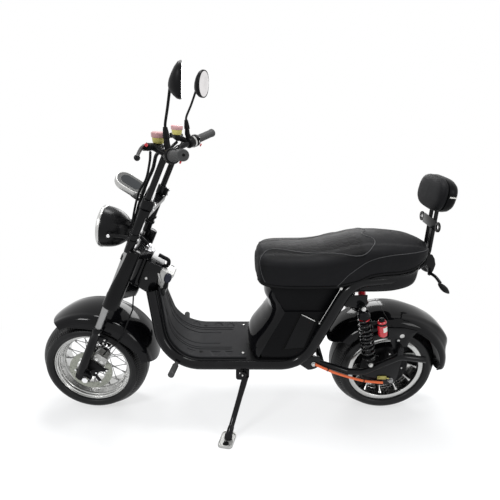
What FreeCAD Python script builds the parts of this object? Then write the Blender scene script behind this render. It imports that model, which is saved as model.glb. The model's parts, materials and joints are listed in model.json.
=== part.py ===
import FreeCAD
import Part
import math
import os
from FreeCAD import Vector

# Fat-tyre electric bike, in millimetres.
# Every piece is drawn upright and straight ahead in the bike's own frame: X runs back along the
# bike, Y to its right, Z up, with the origin on the floor half-way between the axles.
# The last step turns the steering, leans the bike onto its side stand and centres it.

# Stance
WHEELBASE = 1325.0
DRAWN_REACH = 662.5
RAKE_DEG = 25.0
LEAN_DEG = 8.0
STEER_AT_REST_DEG = -2.0
STEER_STOP_DEG = 35.0
STEER_OFFSET = 56.0
SEAT_GAP = 0.3
RUNNING_CLEARANCE = 0.05

# Wheels
TYRE_R = 238.5
TYRE_HALF = 103.0
CROWN_R = 170.0
CROWN_HALF = 66.0
TYRE_WALL = 9.0
TYRE_PROFILE = 68.5
RIM_R = TYRE_R - TYRE_PROFILE
RIM_HALF = 76.0
RIM_LIP = 5.0
RIM_DEPTH = 30.0
RIM_WELL_R = RIM_R - RIM_DEPTH
RIM_T = 5.0
FRONT_HUB_R = 30.0
FRONT_HUB_HALF = 58.0
FRONT_SPOKE_R = 3.0
FRONT_SPOKES = 16
SPOKE_LEAN_DEG = 24.0
DISC_R = 96.0
DISC_INNER_R = 66.0
DISC_Y = -86.0
DISC_T = 4.0
DISC_HOLES = 18
MOTOR_R = 108.0
MOTOR_HALF = 62.0
REAR_SPOKES = 12
REAR_SPOKE_W = 11.0
AXLE_R = 7.0
AXLE_HALF_LENGTH = 158.0
AXLE_NUT_R = 14.0
AXLE_NUT_T = 12.0

# Fork and handlebar, measured along the fork (u), forward of it (w) and across (y)
FORK_Y = 130.0
FORK_W = 31.0
STANCHION_R = 15.0
UPPER_TUBE_R = 17.0
SLIDER_R = 18.0
SLIDER_TOP_U = 262.0
SLIDER_FOOT_HALF = 13.0
SHROUD_U = (375.0, 655.0)
SHROUD_HALF_DEPTH = (34.0, 26.0)
SHROUD_HALF_WIDTH = (24.0, 22.0)
SHROUD_W = (18.0, 10.0)
LOWER_CLAMP_U = (402.0, 440.0)
MID_CLAMP_U = (600.0, 622.0)
TOP_CLAMP_U = (800.0, 826.0)
HEAD_U = (446.0, 594.0)
HEAD_R = 27.0
STEM_R = 14.0
RISER_R = 16.0
RISER_TOP_U = 1036.0
RISER_Y = 122.0
RISER_W = 34.0
BAR_R = 11.0
GRIP_R = 17.0
GRIP_LENGTH = 128.0
MIRROR_HEIGHT = 110.0
MIRROR_WIDTH = 95.0
MIRROR_TURN_DEG = 12.0
GRIP_REACH = Vector(112.52, 239.0, 40.22)

# Fenders
FENDER_HALF = 110.7
FENDER_T = 2.5
FRONT_FENDER_GAP = 36.5
FRONT_FENDER_R = TYRE_R + FRONT_FENDER_GAP
FRONT_FENDER_SHIFT = (14.0, 20.0)
FRONT_FENDER_ARC = (2.0, 139.0)
FRONT_SKIRT = 67.0
REAR_FENDER_GAP = 49.0
REAR_FENDER_R = TYRE_R + REAR_FENDER_GAP
REAR_FENDER_ARC = (-12.0, 155.0)
REAR_SKIRT = 48.0
# Side skirt's lower edge: angle about the fender's centre and rise above its lowest line
FRONT_LIP = ((2, 43), (10, 37), (18, 29), (30, 12), (50, 0), (80, 0), (97, 6), (108, 17), (118, 31),
             (128, 41), (139, 50))
REAR_LIP = ((-12, 18), (0, 6), (20, 0), (110, 0), (140, 4), (155, 12))
# Lamp housing on the rear fender: angle about the axle and rise above the crown
LAMP_HOUSING = ((26, -6), (29.5, 20), (34, 26), (42, 24), (56, 12), (70, 3), (82, -6))
LAMP_HOUSING_HALF = 66.0
TAIL_LENS_HALF = 43.0
FENDER_SHOULDER = 34.0
FENDER_CROWN_R = 330.0

# Frame
RAIL_R = 23.0
RAIL_Y = 145.0
FLOOR_Z = 354.0
MAT_T = 5.0
PAN_T = 3.0
RAIL_DROP = 33.0
MAT_BEND = 150.0
LEG_SLOPE_DEG = 80.0
LEG_TOP_Z = 640.0
RAIL_TOP_Z = 628.0
RAIL_BENDS = (180.0, 150.0, 110.0)
MAT_HALF = 140.0
MAT_RIB = 2.5
MAT_RIB_W = 7.0

# Seat and body
SEAT_HALF = 150.0
SEAT_TAIL_HALF = 128.0
SEAT_PAN_T = 9.0
CASE_TOP_Z = 681.0
CASE_BOTTOM_Z = 352.0
CASE_WALL = 4.0
CASE_SIDE_WALL = 5.0
CORNER_LEAN = 0.38
CORNER_DRAWN_Z = 470.0
# Side view of the saddle, from its front: the underside, then the top from the back
SEAT_UNDERSIDE = ((107, 688), (258, 682), (415, 690), (455, 718), (505, 752), (575, 768), (649, 768),
                  (712, 790))
SEAT_UPPER = ((771, 806), (756, 838), (698, 858), (554, 874), (500, 875), (424, 860), (321, 838),
              (163, 831), (112, 826), (84, 804), (72, 770), (74, 720))

# Swingarm and shocks
ARM_Y = 140.0
ARM_R = 14.0
ARM_PLATE_T = 10.0
CABLE_R = 8.0
SHOCK_Y = 146.0
SPRING_R = 29.0
SPRING_WIRE_R = 4.4
SPRING_TURNS = 8
SPRING_SEAT = (46.0, 34.0)
CANISTER_R = 18.6
CANISTER_Y = 163.0

# Side stand
STAND_PIVOT = Vector(20.0, -165.0, 280.0)
STAND_FOOT_X = -47.0
STAND_FOOT_Y = -293.0
STAND_FOOT_T = 9.0
STAND_FOOT_LENGTH = 96.0
STAND_FOOT_WIDTH = 62.0
STAND_FOOT_CORNER = 16.0
STAND_FOOT_TURN_DEG = 78.0
STAND_STOWED = Vector(0.95, -0.28, -0.12)
LEG_R = 11.0
STAND_EYE_HALF = 11.8
STAND_PIN_R = 7.0

# Headlamp, caliper and hose
HEADLIGHT_R = 84.0
HEADLIGHT_TILT_DEG = 9.0
HEADLIGHT_CURVE = [(0, 0), (-28, -3), (-64, -18), (-92, -44), (-106, -68), (-108, -84)]
CALIPER_TOP = 31.0
CALIPER_INSET = 12.0
CALIPER_GAP = 5.0
CALIPER_REACH = DISC_R - CALIPER_INSET
CALIPER_DEG = 52.0
HOSE_END_GAP = 1.6

# Backrest
POST_Y = 22.0
POST_R = 8.0
STRAP_HALF = 95.0
STRAP_HALF_HEIGHT = 20.0
STRAP_T = 5.0
STRAP_Z = 921.0
EYE_Y = 76.0
EYE_R = 9.5
PAD_TILT_DEG = 8.0
PAD_T = 74.0
PAD_HEIGHT = 130.0
PAD_LENGTH = 220.0

AXLE_F = Vector(-WHEELBASE / 2, 0, TYRE_R)
AXLE_R_PLACE = Vector(WHEELBASE / 2, 0, TYRE_R)
X_AXIS = Vector(1, 0, 0)
Y_AXIS = Vector(0, 1, 0)
Z_AXIS = Vector(0, 0, 1)
UP_FORK = Vector(math.sin(math.radians(RAKE_DEG)), 0, math.cos(math.radians(RAKE_DEG)))
FRONT_OF_FORK = Vector(-UP_FORK.z, 0, UP_FORK.x)
STEER_W = FORK_W - STEER_OFFSET

# Places in front of the floor keep their distance from the front axle, and those behind it
# keep theirs from the rear axle; these are the x of the drawing's origin for each
FRONT_ORIGIN = AXLE_F.x + DRAWN_REACH
REAR_ORIGIN = AXLE_R_PLACE.x - DRAWN_REACH
LEG_CORNER_X = FRONT_ORIGIN - 285.0
MAT_END_X = REAR_ORIGIN + 33.0
SEAT_HINGE = Vector(REAR_ORIGIN + 100.0, 0.0, 684.0)
PIVOT = (REAR_ORIGIN + 318.0, 335.0)
SHOCK_TOP = (REAR_ORIGIN + 502.0, 603.0)
SHOCK_FOOT = (REAR_ORIGIN + 562.0, 330.0)
POST_X = REAR_ORIGIN + 788.0
STRAP_X = POST_X - POST_R - SEAT_GAP - STRAP_T
PAD_PLACE = Vector(POST_X, 0, 1040)


def front_pairs(pairs):
    """Side view points of the front of the bike, moved with the front axle."""
    return [(FRONT_ORIGIN + x, other) for x, other in pairs]


def rear_pairs(pairs):
    """Side or top view points of the back of the bike, moved with the rear axle."""
    return [(REAR_ORIGIN + x, other) for x, other in pairs]


def front_place(x, y, z):
    """Place at the front of the bike, moved with the front axle."""
    return Vector(FRONT_ORIGIN + x, y, z)


def rear_place(x, y, z):
    """Place at the back of the bike, moved with the rear axle."""
    return Vector(REAR_ORIGIN + x, y, z)


def fork_point(u, w, y):
    """Place at a height u up the fork from the front axle, w forward of it and y across."""
    return AXLE_F + UP_FORK * u + FRONT_OF_FORK * w + Y_AXIS * y


def steer_axis():
    """A point on the steering axis and its upward direction, bike straight ahead."""
    return fork_point(0, STEER_W, 0), UP_FORK


def rod(start, end, radius, bore=0.0):
    """Round bar from start to end, or a tube when a bore radius is given."""
    line = end - start
    bar = Part.makeCylinder(radius, line.Length, start, line)
    if bore > 0:
        bar = bar.cut(Part.makeCylinder(bore, line.Length, start, line))
    return bar


def cone(start, end, r_start, r_end):
    """Tapered round bar from start to end."""
    line = end - start
    return Part.makeCone(r_start, r_end, line.Length, start, line)


def bent_path(points, bends):
    """Wire through the points, with an arc of the given radius at each inner corner."""
    edges = []
    start = points[0]
    for before, corner, after, bend in zip(points, points[1:], points[2:], bends):
        back = (before - corner).normalize()
        ahead = (after - corner).normalize()
        half = math.acos(back.dot(ahead)) / 2
        inward = (back + ahead).normalize()
        centre = corner + inward * (bend / math.sin(half))
        first = corner + back * (bend / math.tan(half))
        last = corner + ahead * (bend / math.tan(half))
        edges.append(Part.makeLine(start, first))
        edges.append(Part.Arc(first, centre - inward * bend, last).toShape())
        start = last
    edges.append(Part.makeLine(start, points[-1]))
    return Part.Wire(edges)


def bent_bar(points, radius, bends):
    """Round bar along a bent path."""
    path = bent_path(points, bends)
    ring = Part.Wire(Part.makeCircle(radius, points[0], points[1] - points[0]))
    return path.makePipeShell([ring], True, False)


def prism(outline, low_y, high_y):
    """Outline of (x, z) pairs, extruded across the bike."""
    corners = [Vector(x, low_y, z) for x, z in outline]
    face = Part.Face(Part.makePolygon(corners + corners[:1]))
    return face.extrude(Vector(0, high_y - low_y, 0))


def plan_prism(outline, low_z, high_z):
    """Outline of (x, y) pairs, extruded upwards."""
    corners = [Vector(x, y, low_z) for x, y in outline]
    face = Part.Face(Part.makePolygon(corners + corners[:1]))
    return face.extrude(Vector(0, 0, high_z - low_z))


def front_prism(outline, low_x, high_x):
    """Outline of (y, z) pairs, extruded along the bike."""
    corners = [Vector(low_x, y, z) for y, z in outline]
    face = Part.Face(Part.makePolygon(corners + corners[:1]))
    return face.extrude(Vector(high_x - low_x, 0, 0))


def fork_slab(outline, low_u, high_u):
    """Outline of (w, y) pairs across the fork, extruded along it."""
    corners = [fork_point(low_u, w, y) for w, y in outline]
    face = Part.Face(Part.makePolygon(corners + corners[:1]))
    return face.extrude(UP_FORK * (high_u - low_u))


def mirrored(outline):
    """Close a half outline of (x, y) pairs with its mirror image in y."""
    return outline + [(x, -y) for x, y in reversed(outline)]


def stadium(length, width, height):
    """Upright slab with round ends, centred on the origin, long side along X."""
    run = (length - width) / 2
    body = Part.makeBox(2 * run, width, height, Vector(-run, -width / 2, 0))
    for end in (-run, run):
        body = body.fuse(Part.makeCylinder(width / 2, height, Vector(end, 0, 0)))
    return body.removeSplitter()


def both_sides(make):
    """One solid for each side, from a function of the side's sign."""
    return Part.makeCompound([make(-1), make(1)])


def fused(shapes):
    """All the shapes joined into one."""
    return shapes[0].fuse(shapes[1:]).removeSplitter()


def revolved(profile, centre):
    """Closed wire in the plane of Y and Z, turned about the lateral line through the centre."""
    face = Part.Face(profile)
    face.translate(centre)
    return face.revolve(centre, Y_AXIS, 360)


def ring_profile(points):
    """Closed polygon of (y, radius) pairs."""
    corners = [Vector(0, y, r) for y, r in points]
    return Part.makePolygon(corners + corners[:1])


def tyre(centre):
    """Hollow fat tyre: round crown, full shoulders, beads seated on the rim's flanges."""
    def section(inset):
        crown_centre = TYRE_R - CROWN_R
        crown_edge = CROWN_HALF - inset / 2
        edge_r = crown_centre + math.sqrt((CROWN_R - inset) ** 2 - crown_edge ** 2)
        crown_edge_left = Vector(0, -crown_edge, edge_r)
        crown_edge_right = Vector(0, crown_edge, edge_r)
        crown_top = Vector(0, 0, TYRE_R - inset)
        wall_mid = RIM_R + 0.42 * (TYRE_R - RIM_R)
        bead_y = RIM_HALF - inset
        right_bead = Vector(0, bead_y, RIM_R + SEAT_GAP)
        left_bead = Vector(0, -bead_y, RIM_R + SEAT_GAP)
        right_wall = Vector(0, TYRE_HALF - inset, wall_mid)
        left_wall = Vector(0, inset - TYRE_HALF, wall_mid)
        return [Part.Arc(crown_edge_left, crown_top, crown_edge_right).toShape(),
                arc_through(crown_edge_right, right_wall, right_bead),
                Part.makeLine(right_bead, left_bead),
                arc_through(left_bead, left_wall, crown_edge_left)]
    outer = Part.Face(Part.Wire(section(0.0)))
    inner = Part.Face(Part.Wire(section(TYRE_WALL)))
    ring = outer.cut(inner)
    ring.translate(centre)
    return ring.revolve(centre, Y_AXIS, 360)


def arc_through(start, middle, end):
    """Arc from start to end through a middle point."""
    return Part.Arc(start, middle, end).toShape()


def rim_barrel(centre):
    """Deep-lipped rim: a rolled flange each side, stepped in to the well."""
    lip = RIM_HALF
    outer = [(-lip, RIM_R), (-lip + 6, RIM_R - 1), (-lip + 12, RIM_R - 7), (-30, RIM_R - 12),
             (-22, RIM_WELL_R + RIM_T), (22, RIM_WELL_R + RIM_T), (30, RIM_R - 12),
             (lip - 12, RIM_R - 7), (lip - 6, RIM_R - 1), (lip, RIM_R)]
    inner = [(lip, RIM_R - RIM_LIP), (lip - 8, RIM_R - 7), (lip - 13, RIM_R - 12),
             (33, RIM_R - 17), (24, RIM_WELL_R), (-24, RIM_WELL_R), (-33, RIM_R - 17),
             (13 - lip, RIM_R - 12), (8 - lip, RIM_R - 7), (-lip, RIM_R - RIM_LIP)]
    return revolved(ring_profile(outer + inner), centre)


def front_rim():
    """Rim, hub and two rows of crossed spokes, in one piece."""
    hub = Part.makeCylinder(FRONT_HUB_R, 2 * FRONT_HUB_HALF, AXLE_F - Y_AXIS * FRONT_HUB_HALF, Y_AXIS)
    flanges = []
    for side in (-1, 1):
        start = AXLE_F + Y_AXIS * (side * 36 - 4)
        flanges.append(Part.makeCylinder(FRONT_HUB_R + 12, 8, start, Y_AXIS))
    spokes = []
    for index in range(FRONT_SPOKES):
        for side in (-1, 1):
            angle = math.radians(360.0 * (index + 0.25 * side) / FRONT_SPOKES)
            lean = math.radians(SPOKE_LEAN_DEG * (1 if index % 2 else -1))
            apart = 7.0 * (index % 2)
            foot = Vector(math.cos(angle + lean) * 34, side * (39 - apart),
                          math.sin(angle + lean) * 34)
            reach = RIM_WELL_R + RIM_T / 2
            head = Vector(math.cos(angle) * reach, side * (18 - apart), math.sin(angle) * reach)
            spokes.append(rod(AXLE_F + foot, AXLE_F + head, FRONT_SPOKE_R))
    bore = Part.makeCylinder(AXLE_R + RUNNING_CLEARANCE, 400, AXLE_F - Y_AXIS * 200, Y_AXIS)
    return fused([rim_barrel(AXLE_F), hub] + flanges + spokes).cut(bore)


def front_disc():
    """Drilled brake disc on its spider, bolted to the hub's left end."""
    back = DISC_Y - DISC_T / 2
    ring = Part.makeCylinder(DISC_R, DISC_T, AXLE_F + Y_AXIS * back, Y_AXIS)
    ring = ring.cut(Part.makeCylinder(DISC_INNER_R, DISC_T, AXLE_F + Y_AXIS * back, Y_AXIS))
    for index in range(DISC_HOLES):
        angle = 2 * math.pi * index / DISC_HOLES
        reach = (DISC_R + DISC_INNER_R) / 2
        place = AXLE_F + Vector(math.cos(angle) * reach, back, math.sin(angle) * reach)
        ring = ring.cut(Part.makeCylinder(3.5, DISC_T, place, Y_AXIS))
    arms = []
    for index in range(6):
        angle = 2 * math.pi * index / 6
        out = Vector(math.cos(angle), 0, math.sin(angle))
        start = AXLE_F + out * 20 + Y_AXIS * DISC_Y
        arms.append(Part.makeBox(DISC_INNER_R - 18, 12, DISC_T, Vector(0, -6, -DISC_T / 2)))
        arms[-1].rotate(Vector(0, 0, 0), X_AXIS, 90)
        arms[-1].rotate(Vector(0, 0, 0), Y_AXIS, -math.degrees(angle))
        arms[-1].translate(start)
    carrier = Part.makeCylinder(34, -FRONT_HUB_HALF - SEAT_GAP - back,
                                AXLE_F + Y_AXIS * back, Y_AXIS)
    bore = Part.makeCylinder(AXLE_R + RUNNING_CLEARANCE, 400, AXLE_F - Y_AXIS * 200, Y_AXIS)
    return fused([ring, carrier] + arms).cut(bore)


def hub_motor():
    """Motor drum with domed side covers, on its axle."""
    half = MOTOR_HALF
    outline = [(-half - 14, AXLE_R + RUNNING_CLEARANCE), (-half - 14, 26), (-half - 6, 34),
               (-half, 84), (-half + 10, MOTOR_R), (half - 10, MOTOR_R), (half, 84),
               (half + 6, 34), (half + 14, 26), (half + 14, AXLE_R + RUNNING_CLEARANCE)]
    return revolved(ring_profile(outline), AXLE_R_PLACE)


def rear_rim():
    """Rim carried on the motor drum by short flat spokes."""
    sleeve_outer = MOTOR_R + SEAT_GAP + 4
    sleeve = revolved(ring_profile([(-30, MOTOR_R + SEAT_GAP), (-30, sleeve_outer),
                                    (30, sleeve_outer), (30, MOTOR_R + SEAT_GAP)]), AXLE_R_PLACE)
    spokes = []
    for index in range(REAR_SPOKES):
        reach = RIM_WELL_R + RIM_T / 2 - sleeve_outer + 2
        blade = Part.makeBox(reach, 40, REAR_SPOKE_W,
                             Vector(sleeve_outer - 1, -20, -REAR_SPOKE_W / 2))
        blade.rotate(Vector(0, 0, 0), Y_AXIS, 360.0 * index / REAR_SPOKES)
        blade.translate(AXLE_R_PLACE)
        spokes.append(blade)
    return fused([rim_barrel(AXLE_R_PLACE), sleeve] + spokes)


def axle(centre, half_length):
    """Axle with a nut at each end."""
    bar = rod(centre - Y_AXIS * half_length, centre + Y_AXIS * half_length, AXLE_R)
    for side in (-1, 1):
        start = centre + Y_AXIS * (side * (half_length - AXLE_NUT_T / 2) - AXLE_NUT_T / 2)
        bar = bar.fuse(hex_nut(start, Y_AXIS, AXLE_NUT_R, AXLE_NUT_T))
    return bar.removeSplitter()


def hex_nut(start, axis, radius, height):
    """Hexagonal nut standing on start."""
    nut = Part.makePolygon([Vector(radius * math.cos(math.radians(60 * k)),
                                   radius * math.sin(math.radians(60 * k)), 0) for k in range(7)])
    nut = Part.Face(nut).extrude(Vector(0, 0, height))
    nut.Placement = FreeCAD.Placement(start, FreeCAD.Rotation(Z_AXIS, axis))
    return nut


def fork_sliders():
    """Lower legs, each with a foot that reaches back to the axle and a fender lug."""
    def leg(side):
        y = side * FORK_Y
        tube = rod(fork_point(8, FORK_W, y), fork_point(SLIDER_TOP_U - 14, FORK_W, y), SLIDER_R)
        collar = rod(fork_point(SLIDER_TOP_U - 14, FORK_W, y),
                     fork_point(SLIDER_TOP_U, FORK_W, y), SLIDER_R + 1)
        half = SLIDER_FOOT_HALF
        foot = fork_slab([(FORK_W + 17, y - half), (FORK_W + 17, y + half),
                          (-20, y + half), (-20, y - half)], -20, 26)
        lug = fork_slab([(FORK_W, y - 7), (FORK_W, y + 7), (-26, y + 7), (-26, y - 7)], 196, 226)
        body = fused([tube, collar, foot, lug])
        bore = rod(fork_point(90, FORK_W, y), fork_point(400, FORK_W, y), STANCHION_R + SEAT_GAP)
        hole = rod(AXLE_F + Y_AXIS * (y - 40), AXLE_F + Y_AXIS * (y + 40), AXLE_R + SEAT_GAP)
        return body.cut(bore).cut(hole)
    return both_sides(leg)


def fork_tubes():
    """Bright stanchions, thicker above the shrouds where the clamps hold them."""
    def tube(side):
        y = side * FORK_Y
        lower = rod(fork_point(92, FORK_W, y), fork_point(SHROUD_U[1], FORK_W, y), STANCHION_R)
        upper = rod(fork_point(SHROUD_U[1] + SEAT_GAP, FORK_W, y),
                    fork_point(TOP_CLAMP_U[1], FORK_W, y), UPPER_TUBE_R)
        neck = rod(fork_point(SHROUD_U[1] - 2, FORK_W, y), fork_point(SHROUD_U[1] + 2, FORK_W, y),
                   STANCHION_R)
        return fused([lower, neck, upper])
    return both_sides(tube)


def fork_shrouds():
    """Round-ended covers around the tops of the stanchions, tapering upwards."""
    def ring(level, side):
        depth = SHROUD_HALF_DEPTH[level]
        half = SHROUD_HALF_WIDTH[level]
        run = depth - half
        corners = [fork_point(SHROUD_U[level], SHROUD_W[level] + w, side * FORK_Y + y)
                   for w, y in ((run, -half), (depth, 0), (run, half), (-run, half), (-depth, 0),
                                (-run, -half))]
        return Part.Wire([arc_through(*corners[:3]), Part.makeLine(corners[2], corners[3]),
                          arc_through(*corners[3:]), Part.makeLine(corners[5], corners[0])])

    def shroud(side):
        body = Part.makeLoft([ring(0, side), ring(1, side)], True, True)
        bore = rod(fork_point(300, FORK_W, side * FORK_Y), fork_point(700, FORK_W, side * FORK_Y),
                   STANCHION_R + SEAT_GAP)
        gap = SEAT_GAP
        for low, high in (LOWER_CLAMP_U, MID_CLAMP_U):
            slot = fork_slab([(STEER_W - 40, -side * 10), (FORK_W + 60, -side * 10),
                              (FORK_W + 60, side * (FORK_Y + 60)),
                              (STEER_W - 40, side * (FORK_Y + 60))], low - gap, high + gap)
            cutter = slot.common(clamp_plate(low - gap, high + gap, 0.6))
            bore = bore.fuse(cutter)
        return body.cut(bore)
    return both_sides(shroud)


def clamp_plate(low_u, high_u, margin):
    """Yoke outline: wide at the tubes, waisted behind the stem."""
    tube_w = FORK_W
    half = [(STEER_W - 24 - margin, 0.0), (STEER_W - 24 - margin, 22.0 + margin),
            (tube_w - 22 - margin, FORK_Y - 14), (tube_w - 20 - margin, FORK_Y + 12 + margin),
            (tube_w + 16 + margin, FORK_Y + 12 + margin), (tube_w + 20 + margin, FORK_Y - 20),
            (tube_w - 4 + margin, 60.0), (tube_w - 8 + margin, 0.0)]
    ring = half[1:-1]
    outline = ring + [(w, -y) for w, y in reversed(ring)]
    return fork_slab(outline, low_u, high_u)


def triple_clamps():
    """Lower and middle yokes on the steering stem, with the stem's top nut."""
    lower = clamp_plate(*LOWER_CLAMP_U, 0.0)
    middle = clamp_plate(*MID_CLAMP_U, 0.0)
    stem = rod(fork_point(LOWER_CLAMP_U[0], STEER_W, 0), fork_point(MID_CLAMP_U[1], STEER_W, 0),
               STEM_R)
    nut = hex_nut(fork_point(MID_CLAMP_U[1], STEER_W, 0), UP_FORK, 18, 14)
    cap = rod(fork_point(MID_CLAMP_U[1] + 14, STEER_W, 0),
              fork_point(MID_CLAMP_U[1] + 19, STEER_W, 0), 11)
    body = fused([lower, middle, stem, nut, cap])
    for side in (-1, 1):
        body = body.cut(rod(fork_point(380, FORK_W, side * FORK_Y),
                            fork_point(700, FORK_W, side * FORK_Y), STANCHION_R + SEAT_GAP))
    return body


def top_yoke():
    """Upper yoke that ties the fork tubes and carries the risers."""
    plate = clamp_plate(*TOP_CLAMP_U, 0.0)
    waist = fork_slab([(-70, -95), (4, -95), (4, 95), (-70, 95)], TOP_CLAMP_U[0], TOP_CLAMP_U[1])
    bridge = fork_slab([(8, -112), (46, -112), (46, 112), (8, 112)], TOP_CLAMP_U[0],
                       TOP_CLAMP_U[1])
    body = plate.cut(waist).fuse(bridge).removeSplitter()
    for side in (-1, 1):
        body = body.cut(rod(fork_point(700, FORK_W, side * FORK_Y),
                            fork_point(900, FORK_W, side * FORK_Y), UPPER_TUBE_R + SEAT_GAP))
        start = TOP_CLAMP_U[1]
        block = fork_slab([(RISER_W - 24, side * RISER_Y - 21), (RISER_W + 24, side * RISER_Y - 21),
                           (RISER_W + 24, side * RISER_Y + 21), (RISER_W - 24, side * RISER_Y + 21)],
                          start, start + 40)
        socket = rod(fork_point(start, RISER_W, side * RISER_Y),
                     fork_point(start + 60, RISER_W, side * RISER_Y), RISER_R + SEAT_GAP)
        body = body.fuse(block.cut(socket))
    return body.removeSplitter()


def bar_point(side, share):
    """Place on the bar's swept end: share 0 at the riser, 1 at the grip's end."""
    inner = fork_point(RISER_TOP_U, RISER_W, side * RISER_Y)
    reach = Vector(GRIP_REACH.x, side * GRIP_REACH.y, GRIP_REACH.z)
    return inner + reach * share


def handlebar():
    """Tall risers with a cross bar, swept back to the grips."""
    shapes = []
    for side in (-1, 1):
        shapes.append(rod(fork_point(TOP_CLAMP_U[1] + SEAT_GAP, RISER_W, side * RISER_Y),
                          fork_point(RISER_TOP_U, RISER_W, side * RISER_Y), RISER_R))
        shapes.append(Part.makeSphere(RISER_R, fork_point(RISER_TOP_U, RISER_W, side * RISER_Y)))
        shapes.append(rod(bar_point(side, 0), bar_point(side, 1), BAR_R))
    shapes.append(rod(fork_point(RISER_TOP_U, RISER_W, -RISER_Y),
                      fork_point(RISER_TOP_U, RISER_W, RISER_Y), BAR_R))
    return fused(shapes)


def grips():
    """Ribbed grips on the bar's ends."""
    def grip(side):
        end = bar_point(side, 1)
        line = (end - bar_point(side, 0)).normalize()
        body = rod(end - line * GRIP_LENGTH, end, GRIP_R)
        for start in (0.0, GRIP_LENGTH - 6.0):
            flange = rod(end - line * (start + 6), end - line * start, GRIP_R + 3)
            body = body.fuse(flange)
        cap = rod(end, end + line * 4, GRIP_R - 2)
        return fused([body, cap]).cut(rod(end - line * 200, end, BAR_R + SEAT_GAP))
    return both_sides(grip)


def bar_share(distance):
    """Share of the swept bar at a distance in from the grip's end."""
    length = (bar_point(1, 1) - bar_point(1, 0)).Length
    return 1 - distance / length


def lever_root(side):
    """Pivot of a brake lever, ahead of the bar."""
    return fork_point(RISER_TOP_U + 26, 84, side * 208)


def pot_foot(side):
    """Seat of a brake fluid reservoir on its master cylinder."""
    return fork_point(RISER_TOP_U + 42, 63, side * 158)


def boot_foot(side):
    """Seat of a mirror's rubber boot on its clamp."""
    return fork_point(RISER_TOP_U + 76, 38, side * 195)


def control_clamps():
    """Switch and lever perches around the bar, inboard of the grips, with the mirror seats."""
    def perch(side):
        line = (bar_point(side, 1) - bar_point(side, 0)).normalize()
        inner = bar_point(side, bar_share(GRIP_LENGTH + 62))
        outer = bar_point(side, bar_share(GRIP_LENGTH + 8))
        drum = rod(inner, outer, 20)
        cylinder_start = pot_foot(side) - Z_AXIS * 12
        cylinder = rod(cylinder_start, lever_root(side), 12)
        arm_start = inner + line * 18
        arm = rod(arm_start, (cylinder_start + lever_root(side)) * 0.5, 11)
        seat = boot_foot(side) - Z_AXIS * 16
        post = [rod(arm_start, seat, 9), Part.makeSphere(9, seat),
                rod(seat, boot_foot(side) - Z_AXIS * SEAT_GAP, 9)]
        body = fused([drum, cylinder, arm] + post)
        body = body.cut(Part.makeSphere(8 + SEAT_GAP, lever_root(side)))
        return body.cut(rod(bar_point(side, 0), bar_point(side, 1), BAR_R + SEAT_GAP))
    return both_sides(perch)


def levers():
    """Brake levers ahead of the grips, with ball ends."""
    def lever(side):
        root = lever_root(side)
        knee = fork_point(RISER_TOP_U + 22, 96, side * 250)
        tip = fork_point(RISER_TOP_U + 8, 92, side * 356)
        blade = bent_bar([root, knee, tip], 6.0, [30])
        ends = [Part.makeSphere(8.5, tip), Part.makeSphere(8.0, root)]
        room = rod(pot_foot(side) - Z_AXIS * 12, root, 12 + SEAT_GAP)
        room = room.cut(Part.makeSphere(8 + SEAT_GAP, root))
        return fused([blade] + ends).cut(room)
    return both_sides(lever)


def reservoirs():
    """Brake fluid reservoirs on the master cylinders: round pots with lids."""
    def pot(side):
        foot = pot_foot(side)
        body = cone(foot, foot + Z_AXIS * 26, 19, 22)
        lid = rod(foot + Z_AXIS * 26, foot + Z_AXIS * 40, 24)
        room = rod(foot - Z_AXIS * 12, lever_root(side), 12 + SEAT_GAP)
        return fused([body, lid]).cut(room)
    return both_sides(pot)


def mirror_path(side):
    """Corners of a mirror's stem."""
    foot = boot_foot(side)
    return [foot + Z_AXIS * 20, foot + Vector(2, side * 2, 52), mirror_back(side)]


def mirror_stems():
    """Bent mirror stems in rubber boots."""
    def stem(side):
        foot = boot_foot(side)
        boot = cone(foot, foot + Z_AXIS * 36, 12, 7)
        return fused([boot, bent_bar(mirror_path(side), 4.5, [40])])
    return both_sides(stem)


def mirrors():
    """Both mirrors: stems in their boots, and the housings on them."""
    return Part.makeCompound([mirror_stems(), mirror_heads()])


def mirror_glass(side):
    """Middle of a mirror's glass."""
    return boot_foot(side) + Vector(69, side * 55, 176)


def mirror_back(side):
    """Where the stem meets the mirror's shell."""
    return mirror_glass(side) + Vector(-32, -side * 3, -22)


def mirror_heads():
    """Deep mirror housings: a wedge-shaped side view inside an oval outline."""
    def head(side):
        profile = prism([(1.6, -55), (1.6, 55), (-6, 55), (-26, 24), (-39, -4), (-37, -22), (-24, -38),
                         (-8, -54)], -60, 60)
        oval = stadium(MIRROR_HEIGHT, MIRROR_WIDTH, 60)
        oval.rotate(Vector(0, 0, 0), Y_AXIS, -90)
        oval.translate(X_AXIS * 10)
        shell = profile.common(oval)
        shell.rotate(Vector(0, 0, 0), Z_AXIS, -side * MIRROR_TURN_DEG)
        shell.translate(mirror_glass(side))
        return shell.cut(bent_bar(mirror_path(side), 4.5 + SEAT_GAP, [40]))
    return both_sides(head)


def headlight_axis():
    """Lamp's ring centre and forward direction."""
    tilt = math.radians(HEADLIGHT_TILT_DEG)
    return fork_point(642, 169, 0), Vector(-math.cos(tilt), 0, math.sin(tilt))


def headlight_curve(inset):
    """Shell's side view as (along, radius) pairs, drawn in by an inset."""
    return [(along + (inset if index else 0), max(HEADLIGHT_R + drop - inset, 0.0))
            for index, (along, drop) in enumerate(HEADLIGHT_CURVE)]


def headlight_shell():
    """Bullet headlamp shell and its chrome ring."""
    centre, ahead = headlight_axis()
    shell = lathe(headlight_curve(0.0) + headlight_curve(4.0)[::-1], centre, ahead)
    return Part.makeCompound([shell, headlight_ring()])


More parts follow.
